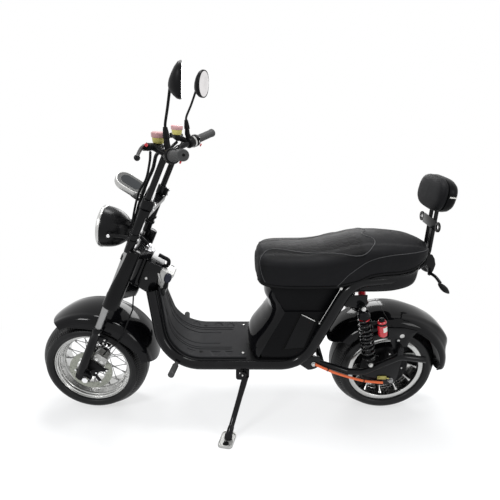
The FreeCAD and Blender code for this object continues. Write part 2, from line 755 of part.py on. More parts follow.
def lathe(outline, centre, axis):
    """Closed (along, radius) outline turned about an axis through the centre."""
    corners = [Vector(radius, 0, along) for along, radius in outline]
    face = Part.Face(Part.makePolygon(corners + corners[:1]))
    solid = face.revolve(Vector(0, 0, 0), Z_AXIS, 360)
    solid.Placement = FreeCAD.Placement(centre, FreeCAD.Rotation(Z_AXIS, axis))
    return solid


def headlight_ring():
    """Chrome ring with its rolled edge."""
    centre, ahead = headlight_axis()
    return lathe([(0.3, 78), (0.3, 88), (8, 89), (15, 86), (17, 80), (12, 77)], centre, ahead)


def headlight_lens():
    """Domed clear lens inside the ring."""
    centre, ahead = headlight_axis()
    return lathe([(2, 0), (2, 76.5), (12, 76.5), (17, 60), (21, 36), (23, 0)], centre, ahead)


def headlight_bracket():
    """Two arms from the fork tubes to the lamp's sides."""
    centre, ahead = headlight_axis()
    room = lathe(headlight_curve(-SEAT_GAP) + [(0, 0)], centre, ahead)

    def arm(side):
        tube = fork_point(690, FORK_W, side * FORK_Y)
        clamp = rod(tube - UP_FORK * 13, tube + UP_FORK * 13, UPPER_TUBE_R + 7)
        clamp = clamp.cut(rod(tube - UP_FORK * 40, tube + UP_FORK * 40, UPPER_TUBE_R + SEAT_GAP))
        start = tube + FRONT_OF_FORK * 20 - Y_AXIS * (side * 8)
        bolt = fork_point(652, 128, side * 90)
        strap = bent_bar([start, fork_point(678, 78, side * 104), bolt], 6.0, [20])
        boss = rod(bolt + Y_AXIS * (side * 5), bolt - Y_AXIS * (side * 20), 8)
        return fused([clamp, strap, boss]).cut(room)
    return both_sides(arm)


def speedometer():
    """Flat instrument pod with round ends, tilted back to the rider, on its arm from the yoke."""
    pod = stadium(126, 84, 26)
    foot = rod(Vector(30, 0, -26), Vector(30, 0, 2), 9)
    body = fused([pod, foot])
    body.rotate(Vector(0, 0, 0), Y_AXIS, 23)
    body.translate(fork_point(838, 151, 0))
    arm = rod(fork_point(813, 46 + SEAT_GAP, 0), fork_point(813, 126, 0), 7)
    return fused([body, arm])


def polar(centre, radius, degrees):
    """Place at an angle about a lateral line, from the rear over the top, in its own plane."""
    angle = math.radians(degrees)
    return centre + Vector(math.cos(angle), 0, math.sin(angle)) * radius


def raised_lip(centre, lowest, table):
    """Room below the side skirts, whose edge rises towards the fender's ends."""
    edge = [polar(centre, lowest + rise, degrees) for degrees, rise in table]
    inner = [polar(centre, lowest - 20, degrees) for degrees, _rise in reversed(table)]
    corners = [(p.x, p.z) for p in edge + inner]
    return prism(corners, -FENDER_HALF - 10, FENDER_HALF + 10)


def front_fender():
    """Wide deep fender over the front tyre."""
    centre = AXLE_F + Vector(FRONT_FENDER_SHIFT[0], 0, FRONT_FENDER_SHIFT[1])
    lip = FRONT_FENDER_R - FRONT_SKIRT
    shell = fender_shell(centre, FRONT_FENDER_R, lip, FRONT_FENDER_ARC)
    return shell.cut(raised_lip(centre, lip, FRONT_LIP))


def fender_shell(centre, crown_r, lip_r, arc):
    """Thin fender: crowned top, rounded shoulders and side skirts, swept over an arc."""
    def section(inset):
        half = FENDER_HALF - inset
        top = crown_r - inset
        corner = FENDER_SHOULDER - inset
        flat = half - corner
        drop = FENDER_CROWN_R - math.sqrt(FENDER_CROWN_R ** 2 - flat ** 2)
        edge_r = top - drop
        slope = math.radians(45)
        mid_y = flat + corner * math.sin(slope) * 0.98
        mid_r = edge_r - corner * (1 - math.cos(slope)) * 1.05
        side_r = edge_r - corner
        return [Part.Arc(Vector(0, -flat, edge_r), Vector(0, 0, top),
                         Vector(0, flat, edge_r)).toShape(),
                arc_through(Vector(0, flat, edge_r), Vector(0, mid_y, mid_r),
                            Vector(0, half, side_r)),
                Part.makeLine(Vector(0, half, side_r), Vector(0, half, lip_r)),
                Part.makeLine(Vector(0, half, lip_r), Vector(0, -half, lip_r)),
                Part.makeLine(Vector(0, -half, lip_r), Vector(0, -half, side_r)),
                arc_through(Vector(0, -half, side_r), Vector(0, -mid_y, mid_r),
                            Vector(0, -flat, edge_r))]
    outer = Part.Face(Part.Wire(section(0.0)))
    inner = Part.Face(Part.Wire(section(FENDER_T)))
    skin = outer.cut(inner)
    skin.translate(centre)
    skin.rotate(centre, Y_AXIS, 90 - arc[1])
    return skin.revolve(centre, Y_AXIS, arc[1] - arc[0])


def caliper_out():
    """Direction from the axle out to the caliper."""
    angle = math.radians(CALIPER_DEG)
    return Vector(math.cos(angle), 0, math.sin(angle))


def caliper_place():
    """Centre of the caliper, over the disc's edge."""
    return AXLE_F + caliper_out() * CALIPER_REACH + Y_AXIS * DISC_Y


def brake_caliper():
    """Caliper straddling the disc behind the left leg, on its bracket."""
    block = Part.makeBox(60, 43, CALIPER_TOP + 24, Vector(-30, -21.5, -24))
    slot = Part.makeBox(80, DISC_T + 2 * CALIPER_GAP, 100,
                        Vector(-40, -DISC_T / 2 - CALIPER_GAP, -84))
    body = block.cut(slot)
    body.rotate(Vector(0, 0, 0), Y_AXIS, 90 - CALIPER_DEG)
    body.translate(caliper_place())
    inner = DISC_Y - 21
    outer = -FORK_Y + SLIDER_FOOT_HALF + SEAT_GAP
    x, z = AXLE_F.x, AXLE_F.z
    plate = prism([(x + 20, z + 57), (x + 66, z + 47), (x + 74, z + 8), (x + 30, z - 20),
                   (x + 10, z - 6), (x + 16, z + 24)], outer, inner)
    return fused([body, plate])


def front_brake_hose():
    """Thin hose from the lower yoke round the fender to the top of the caliper."""
    out = caliper_out()
    top = caliper_place() + out * (CALIPER_TOP + HOSE_END_GAP) - Y_AXIS * 10
    points = [fork_point(LOWER_CLAMP_U[0] - HOSE_END_GAP, -38, -12), fork_point(350, -62, -44),
              fork_point(240, -72, -130), top + out * 44 - Y_AXIS * 14, top]
    return bent_bar(points, 3.0, [30, 60, 30])


def rail_points(side):
    """Corners of a side rail: neck, floor front, floor rear, seat bend, tail."""
    slope = math.radians(LEG_SLOPE_DEG)
    floor_z = FLOOR_Z - RAIL_DROP
    corner_x = LEG_CORNER_X - RAIL_DROP * math.tan(slope / 2)
    top_x = corner_x - (RAIL_TOP_Z - floor_z) / math.tan(slope)
    return [Vector(top_x, side * 58, RAIL_TOP_Z), Vector(corner_x, side * RAIL_Y, floor_z),
            rear_place(269, side * RAIL_Y, floor_z), rear_place(451, side * 128, 705),
            rear_place(690, side * 92, 712)]


def frame_rails():
    """Two side tubes from the neck along the floor, up to the seat and back to the tail."""
    return both_sides(lambda side: bent_bar(rail_points(side), RAIL_R, RAIL_BENDS))


def head_neck():
    """Head tube with its boxed gusset and the cross tube that the rails are welded to."""
    tube = rod(fork_point(HEAD_U[0], STEER_W, 0), fork_point(HEAD_U[1], STEER_W, 0), HEAD_R)
    box = fork_slab([(STEER_W - 18, -44), (-104, -44), (-104, 44), (STEER_W - 18, 44)],
                    HEAD_U[0] + 12, HEAD_U[1] - 2)
    top = rail_points(1)[0]
    cross = rod(Vector(top.x + 4, -34, top.z - 22), Vector(top.x + 4, 34, top.z - 22), 20)
    web = prism(front_pairs([(-392, 700), (-352, 690), (-346, 600), (-378, 596)]), -26, 26)
    body = fused([tube, box, cross, web])
    bore = rod(fork_point(300, STEER_W, 0), fork_point(700, STEER_W, 0),
               STEM_R + RUNNING_CLEARANCE)
    clear = rod(fork_point(LOWER_CLAMP_U[0] - 60, STEER_W, 0),
                fork_point(HEAD_U[0] - 2, STEER_W, 0), 60)
    body = body.cut(bore).cut(clear)
    return body.cut(grown_rails())


def grown_rails():
    """Space that the rails take with their seating gap, both sides."""
    bars = [bent_bar(rail_points(side), RAIL_R + SEAT_GAP, RAIL_BENDS) for side in (-1, 1)]
    return Part.makeCompound(bars)


def floor_path(offset):
    """Side view of the leg shield and floor, lowered by an offset from the mat's top."""
    slope = math.radians(LEG_SLOPE_DEG)
    z = FLOOR_Z - offset
    corner_x = LEG_CORNER_X - offset * math.tan(slope / 2)
    top_x = corner_x - (LEG_TOP_Z - z) / math.tan(slope)
    return [Vector(top_x, 0, LEG_TOP_Z), Vector(corner_x, 0, z), Vector(MAT_END_X, 0, z)]


def floor_slab(top, bottom, half, end_x):
    """Slab between two offsets of the floor's curve, narrowing up the leg shield."""
    upper = floor_path(top)
    lower = floor_path(bottom)
    upper[2].x = end_x
    lower[2].x = end_x
    near = bent_path(upper, [MAT_BEND + top])
    far = bent_path(lower, [MAT_BEND + bottom])
    ends = [Part.makeLine(upper[0], lower[0]), Part.makeLine(upper[2], lower[2])]
    edges = near.Edges + far.Edges + ends
    face = Part.Face(Part.Wire(Part.__sortEdges__(edges)))
    face.translate(Vector(0, -half, 0))
    slab = face.extrude(Vector(0, 2 * half, 0))
    narrowing = [(48, LEG_TOP_Z + 10), (56, 606), (86, 511), (118, 420), (half, 376), (half, 300)]
    outline = narrowing + [(-y, z) for y, z in reversed(narrowing)]
    return slab.common(front_prism(outline, LEG_CORNER_X - 135, end_x + 10))


def floor_mat():
    """Ribbed rubber mat on the floor and up the leg shield."""
    base = floor_slab(0.0, MAT_T, MAT_HALF, MAT_END_X)
    ribs = []
    raised = floor_slab(-MAT_RIB, 1.0, MAT_HALF, MAT_END_X - 60)
    for start, end, places in ((LEG_CORNER_X - 45, MAT_END_X - 63, (-84, -60, 60, 84)),
                               (LEG_CORNER_X - 5, MAT_END_X - 73, (-30, 0, 30))):
        for y in places:
            strip = Part.makeBox(end - start, MAT_RIB_W, 220, Vector(start, y - MAT_RIB_W / 2, 340))
            ribs.append(raised.common(strip))
    return fused([base] + ribs)


def floor_pan():
    """Steel pan under the mat, reaching back under the battery case."""
    pan = floor_slab(MAT_T + SEAT_GAP, MAT_T + SEAT_GAP + PAN_T, MAT_HALF - 2,
                     REAR_ORIGIN + 240)
    return pan.cut(grown_rails())


def frame_crossbars():
    """Cross tubes between the rails, under the floor and behind the case."""
    tubes = []
    floor_z = FLOOR_Z - RAIL_DROP
    reach = RAIL_Y - RAIL_R - SEAT_GAP
    for x in (LEG_CORNER_X + 165, REAR_ORIGIN + 60, REAR_ORIGIN + 215):
        tubes.append(rod(Vector(x, -reach, floor_z), Vector(x, reach, floor_z), 14))
    seat_y = 128 - RAIL_R - 18
    tubes.append(rod(rear_place(560, -seat_y, 706), rear_place(560, seat_y, 706), 12))
    return Part.makeCompound(tubes).cut(grown_rails())


def case_outline(inset):
    """Side view of the battery case: sloping nose, flat floor, raked back."""
    return rear_pairs([(60 + inset, CASE_BOTTOM_Z + inset), (40 + inset, 420), (142 + inset, CASE_TOP_Z),
                       (403 - inset, CASE_TOP_Z), (320 - inset, 500), (264 - inset, 400),
                       (236 - inset, CASE_BOTTOM_Z + inset)])


def case_cross(inset):
    """Front view of the battery case: flared below, upright above the ledge."""
    half = [(148 - inset, 350), (147 - inset, 378), (118 - inset, 565), (109 - inset, 566),
            (110 - inset, 700)]
    return half + [(-y, z) for y, z in reversed(half)]


def battery_case():
    """Open-topped case under the seat, flared below a ledge, its front corners cut away."""
    low_x, high_x = REAR_ORIGIN, REAR_ORIGIN + 420
    outer = prism(case_outline(0), -150, 150).common(front_prism(case_cross(0), low_x, high_x))
    inner_side = case_outline(CASE_WALL)
    inner_side[2:4] = rear_pairs([(144, 690), (398, 690)])
    inner_front = front_prism(case_cross(CASE_SIDE_WALL), low_x, high_x)
    inner = prism(inner_side, -150, 150).common(inner_front)
    corner = plan_prism(rear_pairs([(20, 84), (70, 98), (172, 150), (20, 150)]), 340, 700)
    shear = FreeCAD.Matrix()
    shear.A13 = CORNER_LEAN
    shear.A14 = -CORNER_LEAN * CORNER_DRAWN_Z
    corner = corner.transformGeometry(shear)
    shell = outer.cut(inner)
    for side in (-1, 1):
        wedge = corner if side > 0 else corner.mirror(Vector(0, 0, 0), Y_AXIS)
        shell = shell.cut(wedge)
    return shell.cut(grown_rails())


def front_cover():
    """Glossy rounded cover on the front of the battery case."""
    def ring(x, z, half, bulge):
        left = rear_place(x, -half, z)
        right = rear_place(x, half, z)
        return Part.Wire([Part.Arc(left, rear_place(x - bulge, 0, z), right).toShape(),
                          Part.makeLine(right, left)])
    levels = [(57, 360, 88, 26), (39, 418, 100, 36), (138.5, 674, 88, 20)]
    return Part.makeLoft([ring(*level) for level in levels], True, True)


def battery():
    """Battery block on the floor of the case."""
    seat_z = CASE_BOTTOM_Z + CASE_WALL + SEAT_GAP
    return prism(rear_pairs([(84, seat_z), (226, seat_z), (304, 505), (112, 505)]), -78, 78)


def side_panels():
    """Raised door panels on the flared sides of the case."""
    def panel(side):
        def place(x, z, out):
            y = 147 - (z - 378) * (29.0 / 187.0) + out
            return rear_place(x, side * y, z)
        corners = [(264, 548), (316, 516), (262, 404), (200, 394)]
        faces = []
        for out in (SEAT_GAP, 5.0):
            points = [place(x, z, out) for x, z in corners]
            faces.append(Part.makePolygon(points + points[:1]))
        return Part.makeLoft(faces, True, True)
    return both_sides(panel).cut(grown_rails())


def seat_plan(inset):
    """Top view of the seat, wide at the rider and narrower at the pillion."""
    half = [(71 + inset, 60 - inset), (82 + inset, 100 - inset), (110, 130 - inset),
            (190, SEAT_HALF - 3 - inset), (430, SEAT_HALF - 2 - inset), (560, 139 - inset),
            (695, SEAT_TAIL_HALF - 6 - inset), (754 - inset, 84 - inset), (771 - inset, 50 - inset)]
    return mirrored(rear_pairs(half))


def seat_underside(rise):
    """Side view of the saddle's underside, raised."""
    return [(x, z + rise) for x, z in rear_pairs(SEAT_UNDERSIDE)]


def seat_cushion():
    """Two-level saddle with rounded upper edges."""
    bottom = seat_underside(SEAT_PAN_T + SEAT_GAP)
    side = prism(bottom + rear_pairs(SEAT_UPPER), -170, 170)
    return side.common(plan_prism(seat_plan(0), 600, 1000))


def seat_base():
    """Stiff pan under the cushion, hinged at the front."""
    side = prism(seat_underside(0.0) + seat_underside(SEAT_PAN_T)[::-1], -170, 170)
    return side.common(plan_prism(seat_plan(3), 600, 1000))


def tail_tray():
    """Open-topped tail cover around the rails."""
    def outline(inset):
        return rear_pairs([(478, 652 + inset), (512, 659 + inset), (611, 668 + inset),
                           (690, 683 + inset), (718 - inset, 702 + inset), (724 - inset, 786),
                           (712 - inset, 789), (649, 767 + inset * 4), (575, 767 + inset * 4),
                           (505, 751 + inset * 4), (478, 733 + inset * 4)])
    def plan(inset):
        return mirrored(rear_pairs([(470, 136 - inset), (560, 131 - inset), (661, 124 - inset),
                                    (724 - inset, 104 - inset)]))
    outer = prism(outline(0), -170, 170).common(plan_prism(plan(0), 600, 900))
    inner = prism(outline(3), -170, 170).common(plan_prism(plan(3), 600, 900))
    shell = outer.cut(inner)
    keep_below = prism(seat_underside(-SEAT_GAP) + rear_pairs([(900, 790), (900, 500), (107, 500)]), -200, 200)
    return shell.common(keep_below).cut(grown_rails()).cut(post_bars(SEAT_GAP))


def swingarm():
    """Two bent arms with axle plates, joined by a cross tube at the pivot."""
    def arm(side):
        y = side * ARM_Y
        points = [Vector(PIVOT[0], y, PIVOT[1]), rear_place(470, y, 280), rear_place(545, y, 278),
                  rear_place(690, y, 358), rear_place(800, y, 342)]
        tube = bent_bar(points, ARM_R, [60, 80, 60])
        eye = rod(Vector(PIVOT[0], y - 15, PIVOT[1]), Vector(PIVOT[0], y + 15, PIVOT[1]), 21)
        plate = prism(rear_pairs([(505, 284), (560, 292), (620, 324), (672, 352), (700, 352),
                                  (694, 300), (690, 250), (680, 224), (662, 212), (640, 212),
                                  (600, 228), (556, 256)]), y - ARM_PLATE_T / 2, y + ARM_PLATE_T / 2)
        return fused([tube, eye, plate])
    cross = rod(rear_place(356, -ARM_Y, 322), rear_place(356, ARM_Y, 322), 13)
    body = fused([arm(-1), arm(1), cross])
    bolt = rod(Vector(PIVOT[0], -200, PIVOT[1]), Vector(PIVOT[0], 200, PIVOT[1]), 8 + SEAT_GAP)
    axle_hole = rod(AXLE_R_PLACE - Y_AXIS * 200, AXLE_R_PLACE + Y_AXIS * 200, AXLE_R + SEAT_GAP)
    return body.cut(bolt).cut(axle_hole).cut(shock_bolts(SEAT_GAP))


def pivot_plates():
    """Frame plates behind the rails that carry the swingarm pivot, with its bolt."""
    def plate(side):
        y = side * (ARM_Y + 15 + SEAT_GAP + 3)
        outline = rear_pairs([(262, 330), (300, 372), (345, 372), (344, 330), (326, 312),
                              (296, 304)])
        sheet = prism(outline, y - 3, y + 3)
        bolt = rod(Vector(PIVOT[0], side * 100, PIVOT[1]),
                   Vector(PIVOT[0], side * (ARM_Y + 24), PIVOT[1]), 8)
        head = hex_nut(Vector(PIVOT[0], side * (ARM_Y + 21), PIVOT[1]), Y_AXIS * side, 13, 9)
        return fused([sheet, bolt, head])
    return both_sides(plate).cut(grown_rails())


def shock_line(side):
    """Top and bottom bolt places of a shock."""
    y = side * SHOCK_Y
    return Vector(SHOCK_TOP[0], y, SHOCK_TOP[1]), Vector(SHOCK_FOOT[0], y, SHOCK_FOOT[1])


def shock_bolts(gap):
    """Room for the shocks' lower bolts."""
    bolts = []
    for side in (-1, 1):
        foot = shock_line(side)[1]
        bolts.append(rod(foot - Y_AXIS * 20, foot + Y_AXIS * 20, 6 + gap))
    return Part.makeCompound(bolts)


def shock_dampers():
    """Damper bodies with an eye at each end and cups that hold the springs."""
    def damper(side):
        top, foot = shock_line(side)
        line = (foot - top).normalize()
        eyes = [rod(p - Y_AXIS * 13, p + Y_AXIS * 13, 14) for p in (top, foot)]
        body = rod(top + line * 10, foot - line * 10, 12)
        upper = cone(top + line * 18, top + line * 36, 17, SPRING_R - 4)
        cup = rod(top + line * 34, top + line * SPRING_SEAT[0], SPRING_R - 3)
        lower = rod(foot - line * SPRING_SEAT[1], foot - line * 24, SPRING_R - 1)
        solid = fused(eyes + [body, upper, cup, lower])
        for place in (top, foot):
            solid = solid.cut(rod(place - Y_AXIS * 30, place + Y_AXIS * 30, 6 + SEAT_GAP))
        return solid
    return both_sides(damper)


def shock_springs():
    """Coil springs around the dampers, each of half rings that climb in turn on either side."""
    def half_ring(start, climb, side):
        low = Vector(side * (SPRING_R - SPRING_WIRE_R), 0, start)
        high = Vector(-low.x, 0, start + climb)
        wire = Part.Face(Part.Wire(Part.makeCircle(SPRING_WIRE_R, low, Y_AXIS)))
        return wire.revolve((low + high) / 2, (high - low).cross(Y_AXIS) * side, 180)

    def spring(side):
        top, foot = shock_line(side)
        start = SPRING_SEAT[0] + SPRING_WIRE_R + SEAT_GAP
        end = (foot - top).Length - SPRING_SEAT[1] - SPRING_WIRE_R - SEAT_GAP
        climb = (end - start) / (2 * SPRING_TURNS)
        halves = [half_ring(start + climb * k, climb, 1 if k % 2 else -1)
                  for k in range(2 * SPRING_TURNS)]
        coil = halves[0].fuse(halves[1:])
        coil.Placement = FreeCAD.Placement(top, FreeCAD.Rotation(Z_AXIS, foot - top))
        return coil
    return both_sides(spring)


def shock_canisters():
    """Remote gas canisters behind the shocks."""
    def canister(side):
        top = rear_place(580, side * CANISTER_Y, 550)
        foot = rear_place(594, side * CANISTER_Y, 480)
        line = (foot - top).normalize()
        can = rod(top, foot, CANISTER_R)
        cap = rod(top - line * 10, top, 12)
        strap = rod(rear_place(534, side * 150, 532), rear_place(578, side * 158, 540), 6)
        return fused([can, cap, strap]).cut(rod(*shock_line(side), SPRING_R + SEAT_GAP))
    return both_sides(canister)


def shock_brackets():
    """Gusset plates from the rails to the shocks' top bolts."""
    def bracket(side):
        y = side * (SHOCK_Y - 13 - SEAT_GAP - 3)
        outline = rear_pairs([(398, 640), (470, 648), (520, 650), (520, 596), (488, 591),
                              (404, 604)])
        sheet = prism(outline, y - 3, y + 3)
        top = shock_line(side)[0]
        bolt = rod(Vector(top.x, y, top.z), Vector(top.x, side * (SHOCK_Y + 19), top.z), 6)
        head = hex_nut(Vector(top.x, side * (SHOCK_Y + 13 + SEAT_GAP), top.z), Y_AXIS * side, 11, 8)
        return fused([sheet, bolt, head])
    return both_sides(bracket).cut(grown_rails()).cut(grown_tray())


def grown_tray():
    """Room for the tail cover over the gusset plates."""
    return plan_prism(mirrored(rear_pairs([(472, 137), (560, 132), (720, 127)])), 651.0, 800)


def rear_fender():
    """Deep rear fender with a raised housing for the tail lamp."""
    lip = REAR_FENDER_R - REAR_SKIRT
    shell = fender_shell(AXLE_R_PLACE, REAR_FENDER_R, lip, REAR_FENDER_ARC)
    shell = shell.cut(raised_lip(AXLE_R_PLACE, lip, REAR_LIP))
    edge = [polar(AXLE_R_PLACE, REAR_FENDER_R + rise, degrees) for degrees, rise in LAMP_HOUSING]
    corners = [(p.x, p.z) for p in edge]
    housing = prism(corners, -LAMP_HOUSING_HALF, LAMP_HOUSING_HALF)
    corner_edges = [e for e in housing.Edges if abs(e.CenterOfMass.y) > LAMP_HOUSING_HALF - 1
                    and (e.CenterOfMass - AXLE_R_PLACE).Length > REAR_FENDER_R + 6]
    housing = housing.makeChamfer(9, corner_edges)
    inside = Part.makeCylinder(REAR_FENDER_R - FENDER_T, 400, AXLE_R_PLACE - Y_AXIS * 200, Y_AXIS)
    return shell.fuse(housing.cut(inside)).removeSplitter().cut(tail_lens(SEAT_GAP))


def tail_lens(gap):
    """Lens let into the housing's rear face, grown by a gap."""
    low = polar(AXLE_R_PLACE, REAR_FENDER_R - 1 - gap, 22 - gap)
    high = polar(AXLE_R_PLACE, REAR_FENDER_R + 13 + gap, 28.5)
    deep = polar(AXLE_R_PLACE, REAR_FENDER_R + 4, 31)
    corners = [(low.x + 2, low.z), (high.x + 3, high.z), (high.x - 6, high.z + gap),
               (deep.x - gap, deep.z + gap), (low.x - 10 - gap, low.z + 3)]
    return prism(corners, -TAIL_LENS_HALF - gap, TAIL_LENS_HALF + gap)


def tail_lamp():
    """Red tail lamp in the rear face of its housing."""
    room = Part.makeCylinder(REAR_FENDER_R + SEAT_GAP, 400, AXLE_R_PLACE - Y_AXIS * 200, Y_AXIS)
    return tail_lens(0.0).cut(room)


def fender_stays():
    """Plates that hang the rear fender on the swingarm's rear tubes."""
    def stay(side):
        y = side * (FENDER_HALF + SEAT_GAP + 3)
        outline = rear_pairs([(628, 486), (700, 484), (758, 470), (738, 440), (728, 408), (722, 372),
                              (690, 376), (662, 392), (640, 440)])
        sheet = prism(outline, y - 3, y + 3)
        hole = rod(rear_place(696, y - 10, 444), rear_place(696, y + 10, 444), 11)
        hanger = rod(rear_place(688, side * (FENDER_HALF + 6), 402),
                     rear_place(688, side * (ARM_Y + 8), 402), 9)
        foot = prism(rear_pairs([(676, 404), (700, 404), (700, 352), (676, 352)]),
                     side * ARM_Y - 6, side * ARM_Y + 6)
        return fused([sheet.cut(hole), hanger, foot]).cut(arms)
    arms = swingarm()
    return both_sides(stay)


def post_bars(gap):
    """Bent posts from the tail frame up into the pad, grown by a gap."""
    def post(side):
        y = side * POST_Y
        points = [rear_place(700, y, 712), rear_place(748, y, 714), rear_place(780, y, 744),
                  Vector(POST_X, y, 800), Vector(POST_X, y, 1000)]
        return bent_bar(points, POST_R + gap, [24, 40, 60])
    return both_sides(post)


def indicator_arm(side, gap):
    """Arm out to an indicator, grown by a gap."""
    end = rear_place(828, side * 96, 684)
    knee = rear_place(814, side * 62, 702)
    line = (end - knee).normalize()
    return bent_bar([rear_place(804, side * 28, 704), knee, end + line * gap], 6.5 + gap, [14])


def backrest_frame():
    """Twin posts on a web with the indicators' bracket, and the eyed strap before them."""
    foot = rod(rear_place(640, -74, 712), rear_place(640, 74, 712), 13)
    base = Part.makeBox(84, 52, 10, rear_place(630, -26, 707))
    web = front_prism([(-POST_Y, 790), (POST_Y, 790), (POST_Y, 900), (0, 886), (-POST_Y, 900)],
                      POST_X - 3, POST_X + 3)
    cross = [rod(rear_place(x, -30, z), rear_place(x, 30, z), 7) for x, z in ((804, 716), (796, 770))]
    bodies = [foot, base, web, post_bars(0.0)] + cross
    for side in (-1, 1):
        cheek = prism(rear_pairs([(776, 792), (800, 786), (812, 768), (820, 742), (816, 716),
                                  (806, 690), (796, 694), (792, 722), (780, 748)]),
                      side * 30 - 2.5, side * 30 + 2.5)
        bodies += [cheek, indicator_arm(side, 0.0)]
    frame = fused(bodies).cut(grown_rails())
    strap = stadium(2 * STRAP_HALF, 2 * STRAP_HALF_HEIGHT, STRAP_T)
    strap.rotate(Vector(0, 0, 0), Z_AXIS, 90)
    strap.rotate(Vector(0, 0, 0), Y_AXIS, 90)
    strap.translate(Vector(STRAP_X, 0, STRAP_Z))
    for side in (-1, 1):
        centre = Vector(STRAP_X - 10, side * EYE_Y, STRAP_Z)
        strap = strap.cut(rod(centre, centre + X_AXIS * 30, EYE_R))
    return Part.makeCompound([frame, strap])


def backrest_pad():
    """Padded backrest, round-ended across the bike."""
    pad = stadium(PAD_LENGTH, PAD_HEIGHT, PAD_T)
    pad.translate(Z_AXIS * (-PAD_T / 2))
    pad.rotate(Vector(0, 0, 0), Z_AXIS, 90)
    pad.rotate(Vector(0, 0, 0), Y_AXIS, 90 + PAD_TILT_DEG)
    pad.translate(PAD_PLACE)
    return pad.cut(post_bars(SEAT_GAP)).removeSplitter()


def rear_indicators():
    """Leaf-shaped indicators on the bracket's ends."""
    def leaf(side):
        outline = [(-34, 0), (-31, 6), (-18, 12), (-4, 14), (10, 13), (24, 8), (35, 1.5), (35, 0)]
        slope = math.radians(42)
        body = lathe(outline, rear_place(836, side * 104, 668),
                     Vector(math.cos(slope), 0, -math.sin(slope)))
        return body.cut(indicator_arm(side, SEAT_GAP))
    return both_sides(leaf)


def front_pegs():
    """Foot pegs that stand out from the rails at the front of the floor."""
    def peg(side):
        root = Vector(LEG_CORNER_X + 23, side * (RAIL_Y + 4), 336)
        tip = Vector(LEG_CORNER_X + 11, side * 240, 338)
        return rod(root, tip, 12)
    return both_sides(peg).cut(grown_rails())


def lock_panel():
    """Glossy panel at the top of the leg shield, with the lock and the bag hook."""
    slope = math.radians(LEG_SLOPE_DEG)
    face = Vector(math.sin(slope), 0, math.cos(slope))
    up = Vector(-math.cos(slope), 0, math.sin(slope))
    centre = front_place(-330, 0, 690)
    corners = []
    for across, along in ((-40, -42), (40, -42), (46, 4), (38, 44), (-38, 44), (-46, 4)):
        corners.append(centre + Y_AXIS * across + up * along)
    plate = Part.Face(Part.makePolygon(corners + corners[:1])).extrude(face * -8)
    low = centre - up * 14
    lock = rod(low - face * 2, low + face * 22, 21).fuse(rod(low, low + face * 34, 17))
    hook = bent_bar([centre + up * 26, centre + up * 26 + face * 36,
                     centre + up * 66 + face * 24], 6, [14])
    body = fused([plate, lock, hook])
    gusset = fork_slab([(STEER_W, -44), (-104, -44), (-104, 44), (STEER_W, 44)],
                       HEAD_U[0] + 12, HEAD_U[1] - 2)
    return body.cut(gusset)


def motor_cable():
    """Thick motor cable from the frame along the left arm to the axle."""
    beside_arm = -(ARM_Y + ARM_R + CABLE_R + SEAT_GAP)
    beside_plate = -(ARM_Y + ARM_PLATE_T / 2 + CABLE_R + SEAT_GAP)
    points = [rear_place(352, beside_arm, 318), rear_place(425, beside_arm, 266),
              rear_place(490, -158, 250), rear_place(576, beside_plate, 224),
              rear_place(628, beside_plate, 224)]
    return bent_bar(points, CABLE_R, [60, 80, 60])


def axle_adjusters():
    """Axle adjuster blocks on the arm plates."""
    def block(side):
        y = side * (ARM_Y + ARM_PLATE_T / 2 + SEAT_GAP)
        return Part.makeBox(46, 5, 25, rear_place(599, min(y, y + side * 5), 243.5))
    return both_sides(block)


def stand_point(share):
    """Place along the stand's leg: share 0 at the pivot, 1 at the foot."""
    return STAND_PIVOT + (stand_foot() - STAND_PIVOT) * share


def stand_foot():
    """Centre of the foot's underside, in the bike's frame, on the floor when the bike leans."""
    foot = Vector(STAND_FOOT_X, STAND_FOOT_Y, 0)
    return to_upright(foot)


def to_leaning(point):
    """Bike frame to parked frame: lean about the floor line and rest the tyres on the floor."""
    turned = FreeCAD.Rotation(X_AXIS, LEAN_DEG).multVec(point)
    return turned + Z_AXIS * lean_lift()


def to_upright(point):
    """Parked frame back to the bike frame."""
    return FreeCAD.Rotation(X_AXIS, -LEAN_DEG).multVec(point - Z_AXIS * lean_lift())


def lean_lift():
    """Rise that puts the leaned tyres' round crowns on the floor."""
    return CROWN_R * (1 - math.cos(math.radians(LEAN_DEG)))


def stand_axis():
    """Hinge axis of the side stand, square to the leg both down and folded back."""
    down = (stand_foot() - STAND_PIVOT).normalize()
    folded = Vector(STAND_STOWED).normalize()
    return down.cross(folded).normalize()


def stand_travel():
    """Angle in degrees from the stand down to folded back."""
    down = (stand_foot() - STAND_PIVOT).normalize()
    folded = Vector(STAND_STOWED).normalize()
    return math.degrees(math.acos(down.dot(folded)))


def side_stand():
    """Stand leg with its eye and a flat foot that lies on the floor."""
    axis = stand_axis()
    eye = rod(STAND_PIVOT - axis * STAND_EYE_HALF, STAND_PIVOT + axis * STAND_EYE_HALF, 15)
    leg = rod(stand_point(0.02), stand_point(0.955), LEG_R)
    foot = Part.makeBox(STAND_FOOT_LENGTH, STAND_FOOT_WIDTH, STAND_FOOT_T,
                        Vector(-STAND_FOOT_LENGTH / 2, -STAND_FOOT_WIDTH / 2, 0))
    upright = [e for e in foot.Edges if abs(e.tangentAt(e.FirstParameter).z) > 0.9]
    foot = foot.makeFillet(STAND_FOOT_CORNER, upright)
    foot.rotate(Vector(0, 0, 0), Z_AXIS, STAND_FOOT_TURN_DEG)
    foot.translate(Vector(STAND_FOOT_X, STAND_FOOT_Y, 0))
    foot.translate(Z_AXIS * -lean_lift())
    foot.rotate(Vector(0, 0, 0), X_AXIS, -LEAN_DEG)
    pin_room = rod(STAND_PIVOT - axis * 30, STAND_PIVOT + axis * 30,
                   STAND_PIN_R + RUNNING_CLEARANCE)
    return fused([eye, leg, foot]).cut(pin_room)


